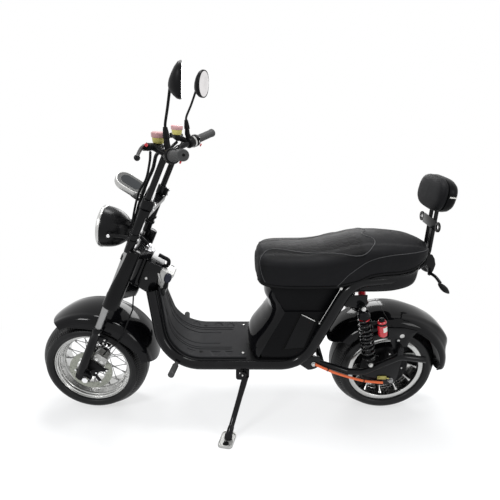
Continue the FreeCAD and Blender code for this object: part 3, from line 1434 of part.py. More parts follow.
def stand_bracket():
    """Bracket below the left rail: two cheeks with the stand's pivot pin between them."""
    axis = stand_axis()
    inner = STAND_EYE_HALF + 0.2
    rail = Vector(STAND_PIVOT.x, -RAIL_Y, FLOOR_Z - RAIL_DROP)
    block = rod(STAND_PIVOT - axis * (inner + 6), STAND_PIVOT + axis * (inner + 6), 15)
    web = rod(STAND_PIVOT, rail, 15)
    slab = rod(STAND_PIVOT - axis * (inner + 6), STAND_PIVOT + axis * (inner + 6), 90)
    body = fused([block, web.common(slab)])
    body = body.cut(rod(STAND_PIVOT - axis * inner, STAND_PIVOT + axis * inner, 90))
    pin = rod(STAND_PIVOT - axis * (inner + 8), STAND_PIVOT + axis * (inner + 8), STAND_PIN_R)
    return body.fuse(pin).removeSplitter().cut(grown_rails())


def frame_brackets():
    """Plates on the frame for the swingarm pivot, the shocks and the side stand."""
    return Part.makeCompound([pivot_plates(), shock_brackets(), stand_bracket()])


def fork_clamps():
    """The lower and middle yokes on the stem, and the upper yoke with the riser clamps."""
    return Part.makeCompound([triple_clamps(), top_yoke()])


def front_axle():
    """Front wheel's axle."""
    return axle(AXLE_F, AXLE_HALF_LENGTH)


def rear_axle():
    """Rear wheel's axle."""
    return axle(AXLE_R_PLACE, AXLE_HALF_LENGTH)


def front_tyre():
    """Tyre of the front wheel."""
    return tyre(AXLE_F)


def rear_tyre():
    """Tyre of the rear wheel."""
    return tyre(AXLE_R_PLACE)


# Each node: its maker and the body that carries it
NODES = {
    "head_neck": (head_neck, "frame"),
    "frame_rails": (frame_rails, "frame"),
    "frame_crossbars": (frame_crossbars, "frame"),
    "frame_brackets": (frame_brackets, "frame"),
    "floor_pan": (floor_pan, "frame"),
    "floor_mat": (floor_mat, "frame"),
    "battery_case": (battery_case, "frame"),
    "battery": (battery, "frame"),
    "front_cover": (front_cover, "frame"),
    "side_panels": (side_panels, "frame"),
    "lock_panel": (lock_panel, "frame"),
    "tail_tray": (tail_tray, "frame"),
    "swingarm": (swingarm, "frame"),
    "axle_adjusters": (axle_adjusters, "frame"),
    "shock_dampers": (shock_dampers, "frame"),
    "shock_springs": (shock_springs, "frame"),
    "shock_canisters": (shock_canisters, "frame"),
    "rear_fender": (rear_fender, "frame"),
    "fender_stays": (fender_stays, "frame"),
    "tail_lamp": (tail_lamp, "frame"),
    "backrest_frame": (backrest_frame, "frame"),
    "backrest_pad": (backrest_pad, "frame"),
    "rear_indicators": (rear_indicators, "frame"),
    "front_pegs": (front_pegs, "frame"),
    "motor_cable": (motor_cable, "frame"),
    "rear_axle": (rear_axle, "frame"),
    "fork_clamps": (fork_clamps, "steering"),
    "fork_tubes": (fork_tubes, "steering"),
    "fork_sliders": (fork_sliders, "steering"),
    "fork_shrouds": (fork_shrouds, "steering"),
    "front_axle": (front_axle, "steering"),
    "front_fender": (front_fender, "steering"),
    "handlebar": (handlebar, "steering"),
    "grips": (grips, "steering"),
    "control_clamps": (control_clamps, "steering"),
    "levers": (levers, "steering"),
    "reservoirs": (reservoirs, "steering"),
    "mirrors": (mirrors, "steering"),
    "headlight_shell": (headlight_shell, "steering"),
    "headlight_lens": (headlight_lens, "steering"),
    "headlight_bracket": (headlight_bracket, "steering"),
    "speedometer": (speedometer, "steering"),
    "brake_caliper": (brake_caliper, "steering"),
    "front_brake_hose": (front_brake_hose, "steering"),
    "front_tyre": (front_tyre, "front_wheel"),
    "front_rim": (front_rim, "front_wheel"),
    "front_disc": (front_disc, "front_wheel"),
    "rear_tyre": (rear_tyre, "rear_wheel"),
    "rear_rim": (rear_rim, "rear_wheel"),
    "hub_motor": (hub_motor, "rear_wheel"),
    "side_stand": (side_stand, "side_stand"),
    "seat_cushion": (seat_cushion, "seat"),
    "seat_base": (seat_base, "seat"),
}

STEERED = ("steering", "front_wheel")


def parked(shape, body):
    """Shape turned with the steering if it is steered, and leaned onto the stand."""
    placed = shape.copy()
    if body in STEERED:
        origin, axis = steer_axis()
        placed.rotate(origin, axis, STEER_AT_REST_DEG)
    placed.rotate(Vector(0, 0, 0), X_AXIS, LEAN_DEG)
    placed.translate(Z_AXIS * lean_lift())
    return placed


def build():
    """All the nodes, parked and centred on the part's base, and the shift that centred them."""
    shapes = {name: parked(make(), body) for name, (make, body) in NODES.items()}
    box = Part.makeCompound(list(shapes.values())).optimalBoundingBox(False)
    shift = Vector(-box.Center.x, -box.Center.y, -box.ZMin)
    for shape in shapes.values():
        shape.translate(shift)
    return shapes, shift


def main():
    """Write one file for each node."""
    os.makedirs("parts", exist_ok=True)
    shapes, _shift = build()
    for name, shape in shapes.items():
        shape.exportStep(os.path.join("parts", name + ".step"))


if __name__ == "__main__":
    main()
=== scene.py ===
"""Looks of a fat-tyre electric bike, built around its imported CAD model."""

import json
import logging
import math
from dataclasses import dataclass, field
from enum import Enum
from typing import Iterable, Mapping, Sequence

import bpy
import numpy as np
from mathutils import Matrix, Vector

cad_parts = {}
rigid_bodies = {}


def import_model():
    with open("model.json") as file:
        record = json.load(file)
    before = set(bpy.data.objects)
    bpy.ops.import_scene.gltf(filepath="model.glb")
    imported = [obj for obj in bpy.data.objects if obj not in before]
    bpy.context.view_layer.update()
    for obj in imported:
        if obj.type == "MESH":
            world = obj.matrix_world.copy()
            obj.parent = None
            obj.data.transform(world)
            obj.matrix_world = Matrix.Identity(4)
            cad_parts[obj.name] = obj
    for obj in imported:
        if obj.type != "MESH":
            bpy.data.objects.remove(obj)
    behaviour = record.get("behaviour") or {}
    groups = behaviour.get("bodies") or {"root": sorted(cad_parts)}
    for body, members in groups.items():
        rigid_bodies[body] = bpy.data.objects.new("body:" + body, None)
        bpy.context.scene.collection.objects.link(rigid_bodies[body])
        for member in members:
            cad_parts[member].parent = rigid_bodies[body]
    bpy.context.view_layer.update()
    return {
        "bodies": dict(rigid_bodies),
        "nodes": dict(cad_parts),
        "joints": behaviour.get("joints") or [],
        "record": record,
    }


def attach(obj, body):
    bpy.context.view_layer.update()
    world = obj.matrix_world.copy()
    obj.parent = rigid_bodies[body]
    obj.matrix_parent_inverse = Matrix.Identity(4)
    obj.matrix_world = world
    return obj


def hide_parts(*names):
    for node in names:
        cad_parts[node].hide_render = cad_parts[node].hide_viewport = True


log = logging.getLogger("bike")

Colour = tuple[float, float, float]
Point = Sequence[float]
Outline = Sequence[tuple[float, float]]

MM = 0.001
X_AXIS = Vector((1.0, 0.0, 0.0))
Y_AXIS = Vector((0.0, 1.0, 0.0))
Z_AXIS = Vector((0.0, 0.0, 1.0))
SIDES = (-1, 1)
WHITE = (1.0, 1.0, 1.0)


class Body(Enum):
    """The bodies that move against each other."""

    FRAME = "frame"
    STEERING = "steering"
    FRONT_WHEEL = "front_wheel"
    REAR_WHEEL = "rear_wheel"
    STAND = "side_stand"
    SEAT = "seat"


@dataclass
class Stance:
    """Sizes that place everything in the bike's upright frame, in millimetres."""

    wheelbase: float = 1325.0
    tyre_r: float = 238.5
    crown_r: float = 170.0
    rake: float = 25.0
    lean: float = 8.0
    steer_at_rest: float = -2.0
    fork_w: float = 31.0
    steer_offset: float = 56.0
    shift: Vector = field(default_factory=Vector)

    @property
    def axle_front(self) -> Vector:
        """Centre of the front wheel."""
        return Vector((-self.wheelbase / 2, 0.0, self.tyre_r))

    @property
    def axle_rear(self) -> Vector:
        """Centre of the rear wheel."""
        return Vector((self.wheelbase / 2, 0.0, self.tyre_r))

    @property
    def up_fork(self) -> Vector:
        """Direction up the fork legs."""
        angle = math.radians(self.rake)
        return Vector((math.sin(angle), 0.0, math.cos(angle)))

    @property
    def ahead_fork(self) -> Vector:
        """Direction forward and square to the fork legs."""
        up = self.up_fork
        return Vector((-up.z, 0.0, up.x))

    @property
    def steer_w(self) -> float:
        """Steering axis, forward of the axle along the fork's square."""
        return self.fork_w - self.steer_offset

    def fork(self, u: float, w: float, y: float) -> Vector:
        """Place u up the fork from the axle, w forward of it and y across."""
        return self.axle_front + self.up_fork * u + self.ahead_fork * w + Y_AXIS * y

    def leaned(self) -> Matrix:
        """Upright millimetres to the parked bike, before it is centred."""
        lift = self.crown_r * (1 - math.cos(math.radians(self.lean)))
        lean = Matrix.Rotation(math.radians(self.lean), 4, "X")
        return Matrix.Translation((0.0, 0.0, lift)) @ lean

    def settle(self, rear_axle: Point) -> None:
        """Find the centring shift from the rear axle's place in metres."""
        parked = self.leaned() @ self.axle_rear
        self.shift = Vector(rear_axle) / MM - parked

    def matrix(self, body: Body) -> Matrix:
        """Upright millimetres to the row frame in metres, for a piece of a body.

        Args:
            body: The body that carries the piece.

        Returns:
            The placing matrix.
        """
        place = Matrix.Scale(MM, 4) @ Matrix.Translation(self.shift) @ self.leaned()
        if body in (Body.STEERING, Body.FRONT_WHEEL):
            origin = self.fork(0.0, self.steer_w, 0.0)
            turn = Matrix.Rotation(math.radians(self.steer_at_rest), 4, self.up_fork)
            place = place @ Matrix.Translation(origin) @ turn @ Matrix.Translation(-origin)
        return place


class Signal:
    """A shader value that can be written into sums and products."""

    def __init__(self, shader: "Graph", socket: bpy.types.NodeSocket) -> None:
        """Wrap one output socket."""
        self.shader = shader
        self.socket = socket

    def math(self, operation: str, *values: object, clamp: bool = False) -> "Signal":
        """Add a Math node on this value.

        Args:
            operation: The Math node's operation.
            values: Further operands, numbers or signals.
            clamp: Whether the result is kept in 0 to 1.

        Returns:
            The node's result.
        """
        settings = {"operation": operation, "use_clamp": clamp}
        inputs = dict(enumerate((self,) + values))
        return self.shader.node("ShaderNodeMath", settings, inputs)

    def __add__(self, other: object) -> "Signal":
        """Sum."""
        return self.math("ADD", other)

    def __sub__(self, other: object) -> "Signal":
        """Difference."""
        return self.math("SUBTRACT", other)

    def __rsub__(self, other: object) -> "Signal":
        """Difference, reflected."""
        return (self * -1.0) + other

    def __mul__(self, other: object) -> "Signal":
        """Product."""
        return self.math("MULTIPLY", other)

    __radd__ = __add__
    __rmul__ = __mul__

    def step(self, low: float, high: float) -> "Signal":
        """Smooth ramp from 0 at low to 1 at high."""
        settings = {"interpolation_type": "SMOOTHSTEP"}
        inputs = {"Value": self, "From Min": low, "From Max": high}
        return self.shader.node("ShaderNodeMapRange", settings, inputs)

    def dot(self, axis: Point) -> "Signal":
        """Part of this vector along an axis."""
        settings = {"operation": "DOT_PRODUCT"}
        inputs = {0: self, 1: tuple(axis)}
        return self.shader.node("ShaderNodeVectorMath", settings, inputs, "Value")

    def vector(self, operation: str, other: object) -> "Signal":
        """Vector Math of this vector and another vector or number."""
        key = 3 if operation == "SCALE" else 1
        return self.shader.node("ShaderNodeVectorMath", {"operation": operation}, {0: self, key: other})


class Graph:
    """Nodes of a material or a world, written as sums of signals."""

    def __init__(self, tree: bpy.types.NodeTree) -> None:
        """Start with an empty tree."""
        self.tree = tree
        self.tree.nodes.clear()

    def plug(self, socket: bpy.types.NodeSocket, value: object) -> None:
        """Link a signal to a socket, or set the socket's own value."""
        if isinstance(value, Signal):
            self.tree.links.new(value.socket, socket)
            return
        if isinstance(value, tuple) and len(value) == 3 and socket.type == "RGBA":
            value = value + (1.0,)
        socket.default_value = value

    def node(self, kind: str, settings: Mapping[str, object] | None = None,
             inputs: Mapping[object, object] | None = None, output: object = 0) -> Signal:
        """Add any node.

        Args:
            kind: The node's type.
            settings: Properties that are set first.
            inputs: Values or signals by socket name or index.
            output: Name or index of the result.

        Returns:
            The chosen output as a signal, or nothing for a node without one.
        """
        node = self.tree.nodes.new(kind)
        for key, value in (settings or {}).items():
            setattr(node, key, value)
        for key, value in (inputs or {}).items():
            self.plug(node.inputs[key], value)
        return Signal(self, node.outputs[output]) if node.outputs else None

    def seen(self) -> Signal:
        """1 where the camera looks straight, by a mirror or through glass, and 0 elsewhere."""
        straight, glossy, through = (self.node("ShaderNodeLightPath", output=f"Is {name} Ray")
                                     for name in ("Camera", "Glossy", "Transmission"))
        return straight.math("MAXIMUM", glossy).math("MAXIMUM", through)

    def place(self) -> Signal:
        """The piece's own coordinates, in metres."""
        return self.node("ShaderNodeTexCoord", output="Object")

    def noise(self, scale: float, detail: float = 2.0, roughness: float = 0.5,
              where: Signal | None = None) -> Signal:
        """Noise value at so many waves a metre."""
        inputs = {"Vector": where or self.place(), "Scale": scale, "Detail": detail,
                  "Roughness": roughness}
        return self.node("ShaderNodeTexNoise", None, inputs)

    def cells(self, scale: float, feature: str = "F1", where: Signal | None = None) -> Signal:
        """Distance in a pattern of cells at so many a metre."""
        inputs = {"Vector": where or self.place(), "Scale": scale}
        return self.node("ShaderNodeTexVoronoi", {"feature": feature}, inputs, "Distance")

    def mix(self, share: object, first: object, second: object) -> Signal:
        """Mix two colours by a share."""
        inputs = {0: share, 6: first, 7: second}
        return self.node("ShaderNodeMix", {"data_type": "RGBA"}, inputs, 2)


class Shader(Graph):
    """One material: its principled surface and the nodes that feed it."""

    def __init__(self, name: str) -> None:
        """Start a material with a principled surface."""
        self.material = bpy.data.materials.new(name)
        self.material.use_nodes = True
        super().__init__(self.material.node_tree)
        self.surface = self.node("ShaderNodeBsdfPrincipled")
        self.output = self.tree.nodes.new("ShaderNodeOutputMaterial")
        self.plug(self.output.inputs["Surface"], self.surface)

    def bump(self, height: Signal, strength: float, distance: float) -> None:
        """Let a height roughen the surface.

        Args:
            height: The height signal.
            strength: The bump's strength.
            distance: Its depth in metres.
        """
        inputs = {"Height": height, "Strength": strength, "Distance": distance}
        self.put("Normal", self.node("ShaderNodeBump", None, inputs))

    def put(self, socket: str, value: object) -> None:
        """Give the surface a value."""
        self.plug(self.surface.socket.node.inputs[socket], value)

    def put_all(self, values: Mapping[str, object]) -> None:
        """Give the surface several values."""
        for socket, value in values.items():
            self.put(socket, value)


@dataclass(frozen=True)
class Finish:
    """A finish: the record's slot it belongs to and its base colour."""

    name: str
    slot: str
    colour: Colour

    def paint(self, shader: Shader) -> None:
        """Fill in the shader; each kind of finish has its own way."""
        shader.put("Base Color", self.colour)

    def material(self) -> bpy.types.Material:
        """The finish as a material, made once."""
        known = bpy.data.materials.get(self.name)
        if known:
            return known
        shader = Shader(self.name)
        self.paint(shader)
        return shader.material


@dataclass(frozen=True)
class Lacquer(Finish):
    """Glossy paint or moulded gloss plastic with a faint ripple and dusty patches."""

    roughness: float = 0.12
    coat: float = 0.12
    ripple: float = 0.00003
    level: float = 0.08

    def paint(self, shader: Shader) -> None:
        """Deep colour under a clear coat."""
        dust = shader.noise(9.0, 4.0, 0.6).step(0.42, 0.75)
        fine = shader.noise(420.0, 2.0)
        pale = tuple(min(1.0, c * 1.5 + 0.001) for c in self.colour)
        shader.put_all({
            "Base Color": shader.mix(dust * 0.6, self.colour, pale),
            "Roughness": dust * 0.08 + fine * 0.03 + self.roughness,
            "Specular IOR Level": self.level,
            "Coat Weight": self.coat,
            "Coat Roughness": 0.03,
            "Coat IOR": 1.42,
        })
        shader.bump(shader.noise(38.0, 1.0), 0.25, self.ripple)


@dataclass(frozen=True)
class Powder(Finish):
    """Satin powder coat or moulded plastic with a fine grain."""

    roughness: float = 0.38
    grain: float = 1400.0
    depth: float = 0.00008
    level: float = 0.08
    wear: float = 0.25

    def paint(self, shader: Shader) -> None:
        """Satin colour, rubbed smoother in patches."""
        patch = shader.noise(16.0, 5.0, 0.62)
        pale = tuple(min(1.0, c * 1.6 + 0.001) for c in self.colour)
        shader.put_all({
            "Base Color": shader.mix(patch.step(0.45, 0.8) * self.wear, self.colour, pale),
            "Roughness": patch * 0.16 + (self.roughness - 0.08),
            "Specular IOR Level": self.level,
        })
        shader.bump(shader.noise(self.grain, 3.0, 0.6), 0.35, self.depth)


@dataclass(frozen=True)
class Rubber(Finish):
    """Matt rubber with a dusty bloom."""

    roughness: float = 0.62
    bloom: Colour = (0.06, 0.06, 0.06)
    amount: float = 0.35
    level: float = 0.08

    def paint(self, shader: Shader) -> None:
        """Dark rubber with pale bloom in patches."""
        bloom = shader.noise(13.0, 6.0, 0.65).step(0.4, 0.8)
        speck = shader.noise(900.0, 3.0, 0.7)
        shader.put_all({
            "Base Color": shader.mix(bloom * self.amount, self.colour, self.bloom),
            "Roughness": bloom * 0.14 + speck * 0.08 + (self.roughness - 0.1),
            "Specular IOR Level": self.level,
        })
        shader.bump(speck, 0.4, 0.00012)


@dataclass(frozen=True)
class Metal(Finish):
    """Bare or plated metal, with fine lines and a few dull patches."""

    roughness: float = 0.18
    grain: tuple[float, float, float] = (60.0, 60.0, 60.0)
    depth: float = 0.00002
    dull: float = 0.12

    def paint(self, shader: Shader) -> None:
        """Metal whose roughness varies along its grain."""
        stretched = shader.place().vector("MULTIPLY", self.grain)
        lines = shader.noise(12.0, 3.0, 0.6, stretched)
        patch = shader.noise(22.0, 4.0, 0.6).step(0.4, 0.75)
        dark = tuple(c * 0.72 for c in self.colour)
        shader.put_all({
            "Base Color": shader.mix(patch * 0.5, self.colour, dark),
            "Metallic": 1.0,
            "Roughness": lines * 0.1 + patch * self.dull + self.roughness,
        })
        shader.bump(lines, 0.3, self.depth)


@dataclass(frozen=True)
class Glass(Finish):
    """Clear moulded lens."""

    roughness: float = 0.03
    flutes: float = 0.0

    def paint(self, shader: Shader) -> None:
        """Clear glass, fluted where asked."""
        shader.put_all({
            "Base Color": self.colour,
            "Roughness": shader.noise(60.0) * 0.04 + self.roughness,
            "Transmission Weight": 1.0,
            "IOR": 1.45,
        })
        if self.flutes:
            wave = shader.place().dot(X_AXIS + Y_AXIS) * self.flutes
            shader.bump(wave.math("SINE"), 0.5, 0.0006)


@dataclass(frozen=True)
class Saddlery(Finish):
    """Pebbled vinyl; a stitched honeycomb on the rider's part of the top."""

    pebble: float = 620.0
    comb: float = 40.0
    insert: Colour = (0.0015, 0.0015, 0.0016)

    def paint(self, shader: Shader) -> None:
        """Charcoal vinyl with pebble grain and faint rubbed patches."""
        pebble = shader.cells(self.pebble)
        creases = shader.noise(24.0, 5.0, 0.6)
        along = shader.place().dot(X_AXIS)
        height = shader.place().dot((0.0, -0.1392, 0.9903))
        insert = (along.step(0.085, 0.105) * (1.0 - along.step(0.455, 0.475))
                  * (height - along * 0.06).step(0.765, 0.775))
        quilt = shader.cells(self.comb, "DISTANCE_TO_EDGE").step(0.0, 0.16) * insert
        rub = creases.step(0.45, 0.8)
        pale = tuple(c * 1.5 for c in self.colour)
        shader.put_all({
            "Base Color": shader.mix(insert * 0.7, shader.mix(rub * 0.4, self.colour, pale), self.insert),
            "Roughness": rub * -0.08 + pebble * 0.1 + 0.52,
            "Specular IOR Level": 0.07,
        })
        shader.bump(pebble * 0.12 + creases * 0.04 + quilt, 0.4, 0.0009)


class Finishes:
    """Every finish on the bike."""

    gloss = Lacquer("gloss_black_plastic", "gloss_black", (0.0025, 0.0025, 0.003), 0.08, 0.2)
    paint = Lacquer("frame_black_paint", "frame_black", (0.004, 0.004, 0.0045), 0.16, 0.22)
    satin = Powder("satin_black_plastic", "trim_black", (0.005, 0.005, 0.0054), 0.4)
    fork_black = Lacquer("fork_black_anodised", "frame_black", (0.004, 0.004, 0.0045), 0.2, 0.12)
    mat = Rubber("floor_mat_rubber", "mat_rubber", (0.011, 0.011, 0.012), 0.6, (0.034, 0.034, 0.036))
    tyre = Rubber("tyre_rubber", "tyre", (0.006, 0.006, 0.0064), 0.42, (0.016, 0.016, 0.0165),
                  0.35, 0.2)
    grip = Rubber("grip_rubber", "grip_rubber", (0.005, 0.005, 0.005), 0.6, (0.012, 0.012, 0.012))
    hose = Rubber("hose_rubber", "grip_rubber", (0.004, 0.004, 0.0045), 0.45, (0.009, 0.009, 0.009))
    chrome = Metal("bright_chrome", "chrome", (0.82, 0.82, 0.83), 0.05, (20.0, 20.0, 20.0), 0.00001, 0.06)
    polished = Metal("polished_aluminium", "polished", (0.54, 0.54, 0.53), 0.2)
    spoke = Metal("steel_spoke", "steel", (0.36, 0.36, 0.36), 0.3)
    steel = Metal("machined_steel", "steel", (0.55, 0.55, 0.54), 0.28)
    disc = Metal("brake_disc_steel", "steel", (0.3, 0.31, 0.27), 0.32)
    caliper = Metal("cast_aluminium", "steel", (0.42, 0.42, 0.41), 0.4)
    zinc = Metal("yellow_zinc_plate", "zinc", (0.33, 0.3, 0.1), 0.3)
    motor = Powder("motor_black_cast", "motor_black", (0.0045, 0.0045, 0.005), 0.34)
    block = Powder("sealed_block_grey", "battery_case_block", (0.08, 0.08, 0.08), 0.5)
    red = Lacquer("anodised_red", "red", (0.42, 0.012, 0.02), 0.25, 0.4, 0.0001, 0.5)
    red_lens = Lacquer("red_lamp_lens", "lens_red", (0.16, 0.004, 0.004), 0.08, 1.0, 0.0001, 0.5)
    saddle = Saddlery("saddle_vinyl", "seat_cover", (0.0062, 0.0062, 0.0069))
    piping = Rubber("seam_piping", "seat_cover", (0.045, 0.045, 0.046), 0.5, (0.08, 0.08, 0.08))
    knob = Lacquer("lock_knob_plastic", "instrument", (0.016, 0.017, 0.026), 0.3, 0.2)
    lamp = Powder("lamp_shell_paint", "gloss_black", (0.004, 0.004, 0.0045), 0.3, 900.0, 0.00003, 0.14)
    stanchion = Metal("satin_stanchion", "steel", (0.3, 0.3, 0.3), 0.24)
    case = Powder("case_black_plastic", "trim_black", (0.0028, 0.0028, 0.0032), 0.36, 1200.0, 0.00006, 0.06)
    tray = Lacquer("tray_black_plastic", "gloss_black", (0.0045, 0.0045, 0.005), 0.24, 0.08)
    shroud = Lacquer("shroud_black_plastic", "gloss_black", (0.003, 0.003, 0.0034), 0.2, 0.08)
    # Near-black matt finish that paints the shade inside grooves, slots, sockets and wells
    painted_shade = Rubber("dark_hollow", "mat_rubber", (0.003, 0.003, 0.003), 0.8, (0.004, 0.004, 0.004))
    reflector = Metal("lamp_reflector", "chrome", (0.85, 0.85, 0.86), 0.08)
    dial = Lacquer("dial_grey", "instrument", (0.085, 0.085, 0.082), 0.25, 0.15)
    screen = Lacquer("screen_dark", "instrument", (0.02, 0.022, 0.024), 0.1, 0.6)
    coil = Lacquer("spring_black_paint", "frame_black", (0.003, 0.003, 0.0034), 0.12, 0.3, 0.0, 0.2)
    cap = Lacquer("pot_cap_rose", "pot", (0.42, 0.24, 0.24), 0.3, 0.3)
    glass = Metal("mirror_glass", "chrome", (0.78, 0.76, 0.76), 0.04)
    label = Powder("blank_label", "red", (0.55, 0.54, 0.5), 0.5, 600.0, 0.00004, 0.3, 0.2)
    orange = Rubber("orange_cable_sheath", "cable_orange", (0.62, 0.13, 0.05), 0.45, (0.7, 0.2, 0.1))
    pot = Lacquer("reservoir_pot", "pot", (0.45, 0.4, 0.12), 0.25, 0.4)
    lens = Glass("clear_lens", "lens_clear", (0.95, 0.96, 0.97), 0.03, 520.0)
    bezel = Metal("silver_bezel", "instrument", (0.5, 0.5, 0.49), 0.32)


# Finish of each solid that is shown as it is
DRESSED: dict[str, Finish] = {
    "frame_rails": Finishes.paint,
    "frame_crossbars": Finishes.paint,
    "battery": Finishes.block,
    "front_axle": Finishes.chrome,
    "front_brake_hose": Finishes.hose,
}


class Shape:
    """Points and faces of one piece, in the bike's upright frame in millimetres."""

    def __init__(self) -> None:
        """Start with nothing."""
        self.points: list[np.ndarray] = []
        self.faces: list[tuple[int, ...]] = []
        self.marks: list[int] = []
        self.count = 0
        self.mark = 0

    def add(self, points: Sequence[Point], faces: Iterable[Sequence[int]]) -> None:
        """Add points and the faces between them.

        Args:
            points: New points.
            faces: Faces as indices into the new points.
        """
        block = np.array([tuple(p) for p in points], float).reshape(-1, 3)
        base = self.count
        self.points.append(block)
        self.count += len(block)
        for face in faces:
            self.faces.append(tuple(base + i for i in face))
            self.marks.append(self.mark)

    def grid(self, rows: Sequence[Sequence[Point]], round_rows: bool = False,
             round_columns: bool = False) -> None:
        """Add a sheet of four-sided faces.

        Args:
            rows: Rows of points, all the same length.
            round_rows: Whether the last row joins the first.
            round_columns: Whether each row is a ring.
        """
        high = len(rows)
        wide = len(rows[0])
        faces = []
        for i in range(high if round_rows else high - 1):
            for j in range(wide if round_columns else wide - 1):
                k = (i + 1) % high
                m = (j + 1) % wide
                faces.append((i * wide + j, i * wide + m, k * wide + m, k * wide + j))
        self.add([p for row in rows for p in row], faces)

    def loft(self, rings: Sequence[Sequence[Point]], caps: bool = True) -> None:
        """Add a skin over rings of points, with its ends closed where asked."""
        wide = len(rings[0])
        high = len(rings)
        faces = []
        for i in range(high - 1):
            for j in range(wide):
                m = (j + 1) % wide
                faces.append((i * wide + j, i * wide + m, (i + 1) * wide + m, (i + 1) * wide + j))
        if caps:
            faces.append(tuple(reversed(range(wide))))
            faces.append(tuple((high - 1) * wide + j for j in range(wide)))
        self.add([p for ring in rings for p in ring], faces)

    def lathe(self, outline: Outline, centre: Point, axis: Vector = Y_AXIS, steps: int = 96,
              closed: bool = True) -> None:
        """Turn an outline about an axis.

        Args:
            outline: Pairs of place along the axis and radius.
            centre: A point on the axis, where places along it start.
            axis: The axis.
            steps: Faces around.
            closed: Whether the outline's last point joins its first.
        """
        axis = Vector(axis).normalized()
        across, up = square_axes(axis)
        middle = Vector(centre)
        rows = []
        for turn in turns(steps):
            out = across * math.cos(turn) + up * math.sin(turn)
            rows.append([middle + axis * along + out * radius for along, radius in outline])
        self.grid(rows, True, closed)

    def tube(self, path: Sequence[Point], radius: float | Sequence[float], sides: int = 16,
             caps: bool = True) -> None:
        """Add a round bar along a path, of one radius or one for each point."""
        points = [Vector(p) for p in path]
        sizes = [radius] * len(points) if isinstance(radius, (int, float)) else list(radius)
        rings = []
        across = None
        for index, point in enumerate(points):
            before = points[max(index - 1, 0)]
            after = points[min(index + 1, len(points) - 1)]
            ahead = (after - before).normalized()
            if across is None:
                across = square_axes(ahead)[0]
            across = (across - ahead * across.dot(ahead)).normalized()
            side = ahead.cross(across)
            rings.append([point + (across * math.cos(a) + side * math.sin(a)) * sizes[index]
                          for a in turns(sides)])
        self.loft(rings, caps)

    def rod(self, start: Point, end: Point, radius: float, edge: float = 0.6,
            sides: int = 24) -> None:
        """Add a round bar with softened ends."""
        first = Vector(start)
        line = Vector(end) - first
        length = line.length
        edge = min(edge, radius * 0.4, length * 0.4)
        outline = [(0.0, 0.0), (0.0, radius - edge), (edge * 0.3, radius - edge * 0.3), (edge, radius),
                   (length - edge, radius), (length - edge * 0.3, radius - edge * 0.3),
                   (length, radius - edge), (length, 0.0)]
        self.lathe(outline, first, line, sides, False)

    def slab(self, outline: Sequence[Point], depth: Vector) -> None:
        """Add a flat outline of points pushed along a vector."""
        near = [Vector(p) for p in outline]
        self.loft([near, [p + depth for p in near]])

    def plate(self, outline: Outline, y: float, depth: float) -> None:
        """Add an (x, z) outline as a plate from one place across the bike."""
        self.slab([(x, y, z) for x, z in outline], Y_AXIS * depth)

    def box(self, centre: Point, size: Point, turn: Matrix | None = None) -> None:
        """Add a block about a centre."""
        middle = Vector(centre)
        turn = turn or Matrix.Identity(3)
        half = [s / 2 for s in size]
        corners = [(-half[0], -half[1]), (half[0], -half[1]), (half[0], half[1]), (-half[0], half[1])]
        low = [middle + turn @ Vector((x, y, -half[2])) for x, y in corners]
        high = [middle + turn @ Vector((x, y, half[2])) for x, y in corners]
        self.loft([low, high])

    def ball(self, centre: Point, radii: Point, turn: Matrix | None = None, steps: int = 24) -> None:
        """Add a ball or a flattened ball."""
        turn = turn or Matrix.Identity(3)
        middle = Vector(centre)
        rows = []
        for i in range(steps // 2 + 1):
            lift = math.pi * i / (steps // 2) - math.pi / 2
            rows.append([middle + turn @ Vector((radii[0] * math.cos(lift) * math.cos(a),
                                                 radii[1] * math.cos(lift) * math.sin(a),
                                                 radii[2] * math.sin(lift)))
                         for a in turns(steps)])
        self.grid(rows, False, True)

    def nut(self, start: Point, axis: Vector, across_corners: float, height: float) -> None:
        """Add a hexagonal nut or bolt head with chamfered corners."""
        axis = Vector(axis).normalized()
        side, up = square_axes(axis)
        base = Vector(start)
        chamfer = height * 0.14
        rings = []
        for along, grow in ((0.0, 1.0), (height - chamfer, 1.0), (height, 0.88)):
            rings.append([base + axis * along
                          + (side * math.cos(a) + up * math.sin(a)) * across_corners * grow
                          for a in (math.pi * k / 3 for k in range(6))])
        self.loft(rings)


def turns(steps: int) -> list[float]:
    """Angles of even steps around a circle."""
    return [2 * math.pi * k / steps for k in range(steps)]


def squared(turn: float, across: float, up: float = 0.0) -> tuple[float, float]:
    """Cosine and sine with exponents below 1, which fill a circle out towards a square."""
    wide = math.cos(turn)
    high = math.sin(turn)
    return (math.copysign(abs(wide) ** across, wide), math.copysign(abs(high) ** (up or across), high))


def square_axes(axis: Vector) -> tuple[Vector, Vector]:
    """Two directions square to an axis and to each other."""
    seed = Z_AXIS if abs(axis.normalized().z) < 0.9 else X_AXIS
    across = axis.cross(seed).normalized()
    return across, axis.normalized().cross(across).normalized()


def arc_path(corners: Sequence[Point], bends: Sequence[float], steps: int = 10) -> list[Vector]:
    """Path through corners with a round bend at each inner one."""
    points = [Vector(c) for c in corners]
    path = [points[0]]
    for before, corner, after, bend in zip(points, points[1:], points[2:], bends):
        back = (before - corner).normalized()
        ahead = (after - corner).normalized()
        half = math.acos(max(-1.0, min(1.0, back.dot(ahead)))) / 2
        inward = (back + ahead).normalized()
        centre = corner + inward * (bend / math.sin(half))
        first = corner + back * (bend / math.tan(half)) - centre
        last = corner + ahead * (bend / math.tan(half)) - centre
        for k in range(steps + 1):
            path.append(centre + first.normalized().slerp(last.normalized(), k / steps) * bend)
    path.append(points[-1])
    return path


